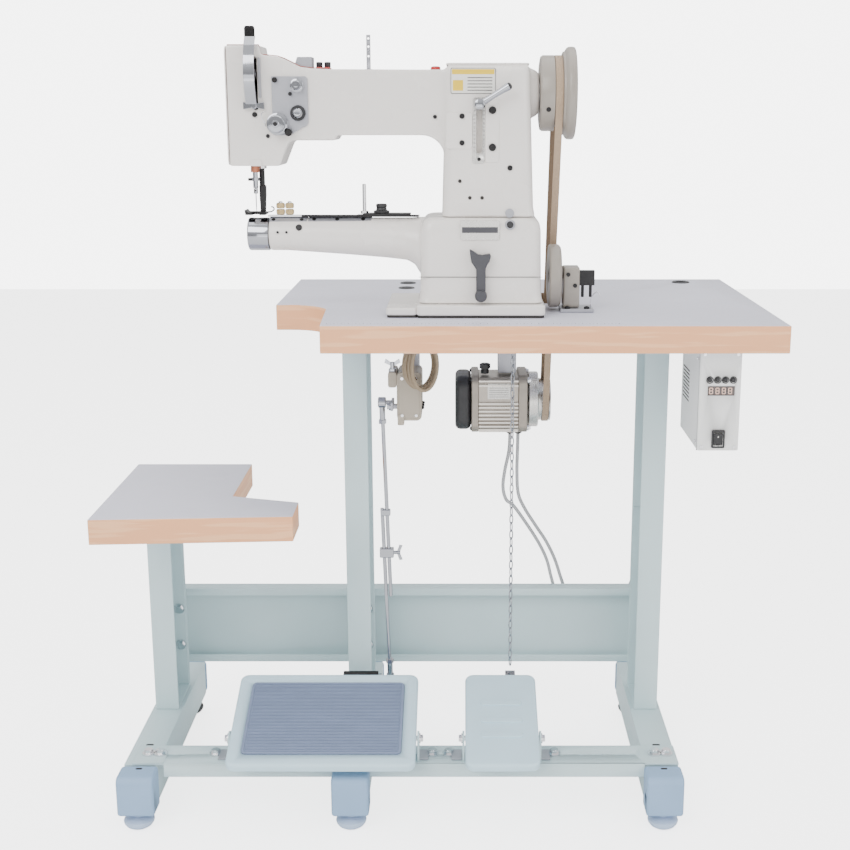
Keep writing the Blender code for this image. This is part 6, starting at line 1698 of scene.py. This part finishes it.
def make_tensions():
    half = ARM_HALF
    front = -half - 0.0003

    def plate(bm):
        shape = mm((-288.6, 318), (-288.6, 329.3), (-242, 329.3), (-239, 326.3), (-239, 270))
        shape += arc((-0.247, 0.269), 0.008, 0, -90, 5)
        shape += mm((-264, 250), (-286, 250), (-288.6, 253))
        head_slab(bm, shape, front - 0.0028, front)
    piece("thread_plate", plate, "plate_satin", "stand", "tension_plate", ease=0.0006, segments=2)
    face = front - 0.0034

    def hinge(bm):
        add_turned(bm, mm((0, 0), (3.7, 0), (3.7, 3.4), (3, 4.2), (0, 4.2)), at(-0.2838, face, 0.3245), -Y,
            36)
        add_turned(bm, mm((0, 0), (2.6, 0), (2.6, 5), (0, 5.2)), at(-0.2629, face, 0.3058), -Y, 24)
    piece("hinge_bolt", hinge, "black_oxide", "stand")

    def dial(bm):
        c = at(DIAL_X, -half - 0.0039, DIAL_Z)
        profile = mm((0, 0), (13.5, 0), (14.8, 0.6), (12.5, 2.2), (12.5, 2.8), (14.8, 4), (12, 5), (7, 5.4),
            (7, 8.5), (10.5, 9), (12, 10), (12, 17.5), (10.5, 18.8), (5.2, 19), (5.2, 21.5), (4, 22.2),
            (4, 23.8), (0, 24))
        add_turned(bm, profile, c, -Y, 64)
    piece("main_dial", dial, "chrome", "tension_dial", "tension_dial")
    centre = at(DIAL_X, -half - 0.0039, DIAL_Z)
    knurl("dial_knurl", centre + Vector((0, -0.0138, 0)), Y, 0.012, 0.0068, 44, "chrome", "tension_dial",
        0.0005)

    piece("dial_tip", made_of(add_turned, mm((0, 23.6), (2.8, 23.6), (2.8, 25.2), (0, 25.4)), centre, -Y,
        24), "black_oxide", "tension_dial")

    def spring(bm):
        end = [at(-0.302, face - 0.004, 0.272), at(-0.303, face - 0.005, 0.279),
            at(-0.3, face - 0.005, 0.282)]
        add_pipe(bm, [at(DIAL_X - 0.016, face - 0.003, 0.262), at(-0.299, face - 0.0035, 0.267), *end],
            0.0006, 8)
    piece("check_spring", spring, "bright_steel", "stand")

    piece("small_dial_ring", made_of(add_turned, mm((0, 0), (9.8, 0), (10.6, 1), (10.6, 3), (9.6, 4.2),
        (7.2, 4.2), (7.2, 3.6), (0, 3.6)), at(-0.253, face, 0.28), -Y, 48), "black_moulded", "stand")

    obj = shaped("small_dial_face", made_of(add_turned, mm((0, 0), (6.8, 0), (6.8, 4), (5.4, 5.6),
        (0, 5.6)), at(-0.253, face - 0.0035, 0.28), -Y, 40))

    def driver(bm):
        c = at(-0.253, face - 0.0075, 0.28)
        add_box(bm, c + Vector((-0.008, -0.004, -0.0007)), c + Vector((0.008, 0.001, 0.0007)))
    placed(carve(obj, driver), "chrome", "stand")

    piece("upper_tension", made_of(add_turned, mm((0, 0), (8.6, 0), (9.2, 0.6), (8, 1.8), (9.2, 3.2),
        (7, 4.2), (4.4, 4.4), (4.4, 6.4), (6.6, 7), (6.6, 12), (5.6, 13), (2.8, 13), (2.8, 16), (0, 16.2)),
        at(-0.2535, face, 0.317), -Y, 48), "chrome", "stand")

    piece("small_knurled", made_of(add_turned, mm((0, 0), (4.4, 0), (5, 1), (5, 10), (4.2, 11), (0, 11)),
        at(-0.266, face, 0.254), -Y, 32), "black_oxide", "stand")

    def nut(bm):
        c = at(-0.3135, -half - 0.001, 0.29)
        add_turned(bm, mm((0, 0), (4.8, 0), (4.8, 5), (3.6, 6.2), (0, 6.2)), c, -Y, 32)
        for way in (-1, 1):
            wing = [(c.x, c.z - 0.0022), (c.x, c.z + 0.0022), (c.x + way * 0.0145, c.z + 0.005),
                (c.x + way * 0.0145, c.z - 0.005)]
            add_slab(bm, wing, c.y - 0.0055, c.y - 0.003, "y")
    piece("guide_thumb_nut", nut, "chrome", "stand", ease=0.0004)
    screws("thread_guide_screw", [(at(-0.3133, -half - 0.0008, 0.278), -Y)], "stand", "black_oxide", 0.0036,
        0.0026)

    def guard(bm):
        outer, inner = [], []
        for i in range(29):
            t = i / 28
            z = 0.292 + 0.09 * t
            y = -half - 0.0018 - 0.024 * math.sin(math.pi * min(1.0, 0.08 + 0.92 * t)) ** 0.7
            outer.append((HEAD.y + y - 0.0006, TOP + z))
            inner.append((HEAD.y + y + 0.0008, TOP + z))
        add_slab(bm, outer + inner[::-1], HEAD.x - 0.3235, HEAD.x - 0.3085, "x")
    piece("chrome_guard", guard, "chrome", "stand", "takeup_guard", ease=0.0005, segments=2)
    screws("guard_screws", [(at(-0.319, -half - 0.0043 - 0.0025, 0.302), -Y)], "stand", "black_oxide",
        0.0022, 0.0014)

    def guard_foot(bm):
        head_slab(bm, rounded((-0.325, 0.296), (-0.314, 0.301), 0.0016, 3), -half - 0.0024, -half + 0.002)
        head_slab(bm, rounded((-0.306, 0.3), (-0.303, 0.354), 0.0012, 3), -half - 0.007, -half + 0.002)
    piece("guard_blocks", guard_foot, "plate_satin", "stand", ease=0.0006)

    def lever(bm):
        low, high = Vector((-0.012, 0.312)), Vector((-0.055, 0.336))
        across = Vector((-(high - low).y, (high - low).x)).normalized()
        corners = [low + across * 0.004, high + across * 0.0034, high - across * 0.0034, low - across * 0.004]
        add_slab(bm, [(HEAD.y + c.x, TOP + c.y) for c in corners], HEAD.x - 0.3135, HEAD.x - 0.3095, "x")
        add_turned(bm, mm((0, 0), (6, 0), (6, 4), (0, 4)), at(-0.3135, -0.012, 0.312), X, 32)
    obj = shaped("thread_lever", lever)

    placed(carve(obj, made_of(add_rod, at(-0.3235, -0.05, 0.3332), at(-0.3, -0.05, 0.3332), 0.0013, 16)),
        "chrome", "takeup_lever", "takeup_lever")


# ---------------------------------------------------------------- edge guide and the top of the arm

def make_guide():
    z = PLATE_SEAT
    end = -0.0875

    piece("guide_strip", made_of(add_box, at(-0.3045, -0.008, z), at(end, 0.002, z + 0.0025)),
        "bright_steel", "stand", "edge_guide", ease=0.0005)

    def dark(bm):
        head_box(bm, (-0.256, -0.011, z), (end - 0.001, -0.0083, z + 0.003))
        head_box(bm, (-0.168, -0.012, z + 0.0026), (-0.1, 0.01, z + 0.005))
    obj = shaped("guide_rail", dark, 0.0005, 1)
    placed(obj, "black_oxide", "stand")

    piece("guide_knob", made_of(add_turned, mm((0, 0), (10, 0), (10.8, 1.2), (10.8, 3), (7.8, 4.6),
        (7.2, 7.8), (8, 9), (8, 12), (6.6, 13.2), (0, 13.6)), at(-0.142, -0.001, z + 0.005), Z, 48),
        "black_moulded", "stand")
    knurl("guide_knurl", at(-0.142, -0.001, z + 0.0071), Z, 0.0106, 0.0024, 30, "black_moulded", "stand",
        0.0007)

    def post(bm):
        foot = at(-0.1665, 0.0, z + 0.004)
        add_rod(bm, foot, at(-0.1665, 0.0, 0.1815), 0.0027, 28, 0.0006)
        add_turned(bm, mm((0, 0), (5.6, 0), (5.6, 4), (0, 4)), foot, Z, 6)
    piece("guide_post", post, "bright_steel", "stand")

    piece("guide_fence", made_of(add_box, at(-0.177, 0.0035, z + 0.0002), at(-0.124, 0.006, z + 0.003)),
        "plate_satin", "stand", ease=0.0004)
    for k, x in enumerate((-0.2865, -0.2735)):
        for j, height in enumerate((z + 0.0031, z + 0.0118)):
            def roller(bm, x=x, height=height):
                add_turned(bm, mm((0, 0), (5.2, 0), (5.8, 0.8), (5.8, 6.8), (5.2, 7.6), (0, 7.6)),
                    at(x, -0.003, height), Z, 40)
            piece(f"guide_roller_{k}{j}", roller, "brass_knurled", "stand")
            knurl(f"roller_knurl_{k}{j}", at(x, -0.003, height + 0.0038), Z, 0.0058, 0.005, 26,
                "brass_knurled", "stand", 0.0005)
    screws("guide_screws", [(at(x, -0.003, z + 0.02), Z) for x in (-0.2865, -0.2735)], "stand",
        "bright_steel", 0.003)


def make_top():
    piece("top_red_base", made_of(add_box, at(-0.229, -0.026, 0.3385), at(-0.21, -0.002, 0.342)),
        "red_plastic", "stand", ease=0.0006)

    piece("top_block", made_of(head_slab, mm((-259.8, 340), (-234, 338.5), (-234, 355.8), (-254.5, 355.8)),
        -0.026, 0.004), "plate_satin", "stand", ease=0.0008)

    def knobs(bm):
        for x in (-0.225, -0.2135):
            add_turned(bm, mm((0, 0), (4.2, 0), (4.5, 0.8), (4.5, 6.4), (3.8, 7.4), (0, 7.6)),
                at(x, -0.014, 0.3418), Z, 36)
    piece("top_knobs", knobs, "black_moulded", "stand")

    obj = shaped("thread_post", made_of(add_box, at(-0.1609, 0.0088, 0.3385), at(-0.1551, 0.0112, 0.387)),
        0.0005, 2)

    def eyes(bm):
        for z in (0.358, 0.371, 0.382):
            add_rod(bm, at(-0.158, 0.0, z), at(-0.158, 0.02, z), 0.0015, 16)
    placed(carve(obj, eyes), "plate_satin", "stand")

    piece("thread_post_foot", made_of(add_turned, mm((0, 0), (6.2, 0), (6.2, 2), (5, 2.6), (0, 2.6)),
        at(-0.158, 0.01, 0.3378), Z, 36), "plate_satin", "stand")

    piece("oil_caps", made_of(add_turned, mm((0, 0), (6.8, 0), (7.2, 1), (6.6, 5), (4, 6), (0, 6.2)),
        at(-0.0634, -0.006, 0.3378), Z, 36), "red_plastic", "stand")


# ---------------------------------------------------------------- stitch length and reverse

def make_stitch_control():
    obj = shaped("scale_plate", made_of(head_slab, rounded((-0.0118, 0.212), (0.0052, 0.3011), 0.003, 4),
        -0.0536, -0.0522), 0.0004, 1)

    placed(carve(obj, made_of(head_slab, rounded((-0.0068, 0.2255), (0.0018, 0.2985), 0.004, 5), -0.058,
        -0.048)), "name_silver", "stand")
    for name, x in (("scale_ticks", 0.0034), ("scale_marks", -0.0092)):
        bars(name, 13, at(x, -0.05355, 0.229), (0, 0, 0.0054), (0.0028, 0.0002, 0.0007), "label_ink", "stand")
    screws("scale_screws", [(at(-0.003, -0.054, 0.218), -Y)], "stand", "black_oxide", 0.0026, 0.0016)

    def block(bm):
        head_box(bm, (-0.006, -0.055, 0.287), (0.001, -0.042, 0.297))
        add_turned(bm, mm((0, 0), (7.5, 0), (7.5, 5.7), (0, 5.7)), at(-0.0025, -0.0523 - 0.0014, 0.292), -Y,
            40)
    piece("slide_block", block, "black_oxide", "stitch_block", "stitch_block")

    def lever(bm):
        hub = at(-0.0025, -0.0596, 0.292)
        add_turned(bm, mm((0, 0), (8.5, 0), (8.8, 0.6), (8, 9), (6.6, 13), (3, 14.2), (0, 14.2)), hub, -Y,
            48)
        tip = at(0.037, -0.068, 0.3155)
        path = smooth_route([at(-0.001, -0.0655, 0.2928), at(0.012, -0.0672, 0.3005),
            at(0.025, -0.068, 0.3085), tip], 6)
        shares = [i / (len(path) - 1) for i in range(len(path))]
        widths = [0.005 - 0.0012 * math.sin(math.pi * share) + 0.0006 * share for share in shares]
        add_pipe(bm, path, widths, 24)
    piece("clamp_lever", lever, "chrome", "stitch_lever", "stitch_lever")

    def tip_cap(bm):
        start = at(0.036, -0.068, 0.3149)
        way = Vector((0.862, 0, 0.506))
        add_turned(bm, mm((0, 0), (4.6, 0), (5, 1), (4.4, 3.8), (2.2, 5.2), (0, 5.4)), start, way, 32)
    piece("clamp_tip", tip_cap, "black_moulded", "stitch_lever")


def make_reverse():
    front = -0.065 - 0.0003

    piece("reverse_arm", made_of(head_slab, mm((-16, 96.2), (-10, 93), (-4, 89), (2, 88), (12, 90),
        (14.2, 87), (12, 79), (8.5, 74), (6.6, 68), (6.6, 27.5), (-6.6, 27.5), (-6.6, 68), (-10, 73),
        (-13.5, 78), (-15, 86)), front - 0.0145, front - 0.0045), "lever_grey", "reverse_lever",
        "reverse_lever", ease=0.0026, segments=4)

    piece("reverse_grip", made_of(add_turned, mm((0, 2.5), (7.5, 2.5), (8.5, 4), (8.5, 17), (7, 19),
        (0, 19.5)), at(0.0, front, 0.031), -Y, 48), "lever_grey", "reverse_lever", ease=0.0028, segments=4)


# ---------------------------------------------------------------- handwheel, belt and winder

def make_handwheel():
    start = -0.3085
    sides = setting("drive_settings").wheel_sides
    disc_end, left, right = -0.3048, 0.0822, 0.132
    g0, g1, floor = 0.1025, 0.1135, 0.0457
    profile = [(0, start), (0.016, start), (0.016, disc_end), (0.006, disc_end), (0.006, left),
        (0.044, left), (0.05, left + 0.001), (0.052, left + 0.004), (0.052, g0 - 0.0008), (0.0512, g0),
        (floor, g0), (floor, g1), (0.0545, g1), (0.0565, g1 + 0.0008), (0.0572, g1 + 0.003),
        (0.0615, g1 + 0.0058), (0.063, g1 + 0.0078), (0.0635, g1 + 0.0105), (0.0635, right - 0.004),
        (0.0628, right - 0.0014), (0.0605, right - 0.0002), (0.058, right), (0.051, right),
        (0.049, right - 0.001), (0.0462, right - 0.008), (0.044, right - 0.0092), (0.02, right - 0.0085),
        (0.018, right - 0.0075), (0.017, right - 0.0025), (0.0155, right - 0.002), (0, right - 0.002)]

    piece("balance_wheel", made_of(add_turned, [(r, x - start) for r, x in profile],
        at(start, 0, SHAFT_HEIGHT), X, sides), "wheel_enamel", "handwheel", "handwheel", sharp=38)

    def collar(bm):
        add_turned(bm, mm((6.2, 0), (15, 0), (15, 2.4), (6.2, 2.4)), at(0.0818, 0, SHAFT_HEIGHT), X, 48)
        add_turned(bm, mm((0, 0), (9, 0), (9, 3), (7.8, 4), (0, 4)), at(right - 0.0022, 0, SHAFT_HEIGHT), X,
            40)
    piece("wheel_collars", collar, "bright_steel", "handwheel")
    screws("wheel_screws", [(at(0.093, 0.052 * math.cos(a), SHAFT_HEIGHT + 0.052 * math.sin(a)),
        Vector((0, math.cos(a), math.sin(a)))) for a in (math.radians(205), math.radians(295))],
        "handwheel", "black_oxide", 0.0034, 0.0016)


def belt_line():
    """The belt's centre line with its outward directions: an arc on each pulley, joined by tangents."""
    top, low = Vector((HEAD.y, TOP + SHAFT_HEIGHT)), Vector((0.0825, UNDER - 0.136))
    gap = low - top
    lean = math.atan2(gap.y, gap.x)
    spread = math.acos((0.049 - 0.033) / gap.length)
    path = []
    for centre, radius, start, end in ((top, 0.049, lean + spread, lean + 2 * math.pi - spread),
            (low, 0.033, lean - spread, lean + spread)):
        for i in range(41):
            angle = start + (end - start) * i / 40
            way = Vector((math.cos(angle), math.sin(angle)))
            path.append((centre + way * radius, way))
    return path


def make_belt():
    x, half = HEAD.x + 0.108, 0.005
    sections = (("belt_cover", "belt_weave", 0.0004, 0.003, half), ("belt_core", "belt_shade", -0.0027,
        0.0004, half - 0.0005))
    for name, finish, inner, outer, width in sections:
        def build(bm, inner=inner, outer=outer, width=width):
            rings = []
            for point, way in belt_line():
                a, b = point + way * inner, point + way * outer
                rings.append([bm.verts.new((x + dx, p.x, p.y)) for dx, p in ((-width, a), (width, a),
                    (width, b), (-width, b))])
            add_skin(bm, rings + rings[:1])
        nodes = ("drive_belt",) if finish == "belt_weave" else ()
        piece(name, build, finish, "stand", *nodes)


def make_winder():
    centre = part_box("winder_wheel")
    y, z = (centre[0].y + centre[1].y) / 2, (centre[0].z + centre[1].z) / 2
    left, right = 0.171, 0.189
    width = right - left

    piece("winder_disc", made_of(add_turned, [(0, 0.004), (0.01, 0.004), (0.011, 0.0012), (0.013, 0.0008),
        (0.028, 0.0022), (0.032, 0.0008), (0.04, 0.0), (0.044, 0.0006), (0.0455, 0.0024),
        (0.0455, width - 0.005), (0.044, width - 0.0022), (0.041, width - 0.0002), (0.036, width),
        (0.008, width), (0.0075, width + 0.002), (0.004, width + 0.002), (0.004, 0.044), (0, 0.044)],
        (left, y, z), X, 80), "wheel_enamel", "winder_wheel", "winder_wheel")
    x = right + 0.003

    obj = shaped("winder_body", made_of(add_slab, rounded((y - 0.02, TOP + 0.005), (y + 0.018, z + 0.014),
        0.006, 5), x + 0.0004, 0.2158, "x"), 0.0022, 3)

    placed(carve(obj, made_of(add_rod, (x - 0.01, y, z), (x + 0.027, y, z), 0.0046)), "wheel_enamel",
        "stand", "winder_bracket")

    piece("winder_base", made_of(add_box, (x - 0.004, y - 0.03, TOP + 0.0003),
        (x + 0.044, y + 0.018, TOP + 0.0052)), "plate_satin", "stand", ease=0.001)

    def tension(bm):
        add_box(bm, (0.216, y - 0.0075, TOP + 0.0366), (0.2385, y + 0.004, TOP + 0.058))
        for u in (0.2215, 0.233):
            add_rod(bm, (u, y - 0.002, TOP + 0.019), (u, y - 0.002, TOP + 0.0375), 0.0022, 20, 0.0005)
    piece("winder_tension", tension, "black_oxide", "stand", ease=0.0008)

    def wire(bm):
        path = [(x + 0.04, y - 0.02, TOP + 0.005), (x + 0.0405, y - 0.021, TOP + 0.018),
            (x + 0.044, y - 0.023, TOP + 0.026), (x + 0.05, y - 0.024, TOP + 0.029),
            (x + 0.053, y - 0.024, TOP + 0.024)]
        add_pipe(bm, smooth_route(path, 6), 0.0009, 10)
    piece("winder_wire", wire, "bright_steel", "stand")
    screws("winder_screws", [((x + u, y - 0.025, TOP + 0.0062), Z) for u in (0.006, 0.034)], "stand",
        "black_oxide", 0.0042, 0.003)
    screws("winder_body_screws", [((x + u, y - 0.0206, z + v), -Y) for u,
        v in ((0.007, 0.004), (0.017, -0.012))], "stand", "black_oxide", 0.003, 0.002)


# ---------------------------------------------------------------- operators and panel

class BuildStage(bpy.types.Operator):
    """Camera, floor and studio lights"""
    bl_idname = "machine.stage"
    bl_label = "Stage"

    def execute(self, context):
        make_camera()
        make_floor()
        make_lights()
        return {"FINISHED"}


class BuildFinishes(bpy.types.Operator):
    """Every finish, from the colours set in the panel"""
    bl_idname = "machine.finishes"
    bl_label = "Finishes"

    def execute(self, context):
        make_finishes()
        return {"FINISHED"}


class BuildCords(bpy.types.Operator):
    """The motor's leads and the coiled lead of the speed unit"""
    bl_idname = "machine.cords"
    bl_label = "Cords"

    def execute(self, context):
        make_cords()
        return {"FINISHED"}


class BuildTables(bpy.types.Operator):
    """Both boards with their bands, grommets and ruler"""
    bl_idname = "machine.tables"
    bl_label = "Tables"

    def execute(self, context):
        make_tables()
        return {"FINISHED"}


class BuildStand(bpy.types.Operator):
    """Posts, rails, caps, feet, beam and bolts"""
    bl_idname = "machine.stand"
    bl_label = "Stand"

    def execute(self, context):
        make_stand()
        return {"FINISHED"}


class BuildTreadle(bpy.types.Operator):
    """Treadle with its mat, lift pedal with its chain, and the pitman rod"""
    bl_idname = "machine.treadle"
    bl_label = "Treadle and Pedal"

    def execute(self, context):
        make_treadle()
        make_pedal()
        make_chain()
        make_pitman()
        return {"FINISHED"}


class BuildDrive(bpy.types.Operator):
    """Speed unit, motor and control box"""
    bl_idname = "machine.drive"
    bl_label = "Drive"

    def execute(self, context):
        make_speed_unit()
        make_motor()
        make_control_box()
        return {"FINISHED"}


class BuildCastings(bpy.types.Operator):
    """Plinth, cylinder arm and arm castings with their covers"""
    bl_idname = "machine.castings"
    bl_label = "Castings"

    def execute(self, context):
        make_bed()
        make_arm()
        return {"FINISHED"}


class BuildNeedleSide(bpy.types.Operator):
    """Needle and presser bars, thread lever, tensions and edge guide"""
    bl_idname = "machine.needle_side"
    bl_label = "Needle Side"

    def execute(self, context):
        make_bars()
        make_tensions()
        make_guide()
        make_top()
        return {"FINISHED"}


class BuildControls(bpy.types.Operator):
    """Stitch length lever with its scale, reverse lever and plates"""
    bl_idname = "machine.controls"
    bl_label = "Hand Controls"

    def execute(self, context):
        make_stitch_control()
        make_reverse()
        return {"FINISHED"}


class BuildWheels(bpy.types.Operator):
    """Handwheel, belt and bobbin winder"""
    bl_idname = "machine.wheels"
    bl_label = "Wheels and Belt"

    def execute(self, context):
        make_handwheel()
        make_belt()
        make_winder()
        return {"FINISHED"}


class FinishNodes(bpy.types.Operator):
    """Finishes for the frame's own nodes that are still shown"""
    bl_idname = "machine.node_finishes"
    bl_label = "Node Finishes"

    def execute(self, context):
        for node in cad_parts.values():
            if node.hide_render:
                continue
            given = node.data.materials[0].name.split(".")[0] if node.data.materials else "enamel"
            finish = NODE_FINISH.get(given, "bright_steel")
            node.data.materials.clear()
            node.data.materials.append(bpy.data.materials[finish])
        return {"FINISHED"}


STEPS = (BuildStage, BuildFinishes, BuildCords, BuildTables, BuildStand, BuildTreadle, BuildDrive,
    BuildCastings, BuildNeedleSide, BuildControls, BuildWheels, FinishNodes)
GROUPED_SETTINGS = {"finish_settings": FinishSettings, "stand_settings": StandSettings,
    "treadle_settings": TreadleSettings, "drive_settings": DriveSettings, "head_settings": HeadSettings}


class MachinePanel(bpy.types.Panel):
    """Sizes, colours and steps of the sewing machine"""
    bl_idname = "VIEW3D_PT_sewing_machine"
    bl_label = "Sewing Machine"
    bl_space_type = "VIEW_3D"
    bl_region_type = "UI"
    bl_category = "Sewing Machine"

    def draw(self, context):
        for operator in STEPS:
            self.layout.operator(operator.bl_idname)
        for name, group in GROUPED_SETTINGS.items():
            box = self.layout.box()
            box.label(text=group.__name__.replace("Settings", ""))
            for field in group.__annotations__:
                box.prop(getattr(context.scene, name), field)


def register():
    for group in GROUPED_SETTINGS.values():
        bpy.utils.register_class(group)
    for name, group in GROUPED_SETTINGS.items():
        setattr(bpy.types.Scene, name, bpy.props.PointerProperty(type=group))
    for operator in STEPS:
        bpy.utils.register_class(operator)
    bpy.utils.register_class(MachinePanel)


def unregister():
    bpy.utils.unregister_class(MachinePanel)
    for operator in reversed(STEPS):
        bpy.utils.unregister_class(operator)
    for name in GROUPED_SETTINGS:
        delattr(bpy.types.Scene, name)
    for group in reversed(list(GROUPED_SETTINGS.values())):
        bpy.utils.unregister_class(group)


def main():
    register()
    for operator in STEPS:
        group, name = operator.bl_idname.split(".")
        getattr(getattr(bpy.ops, group), name)()


if __name__ == "__main__":
    main()
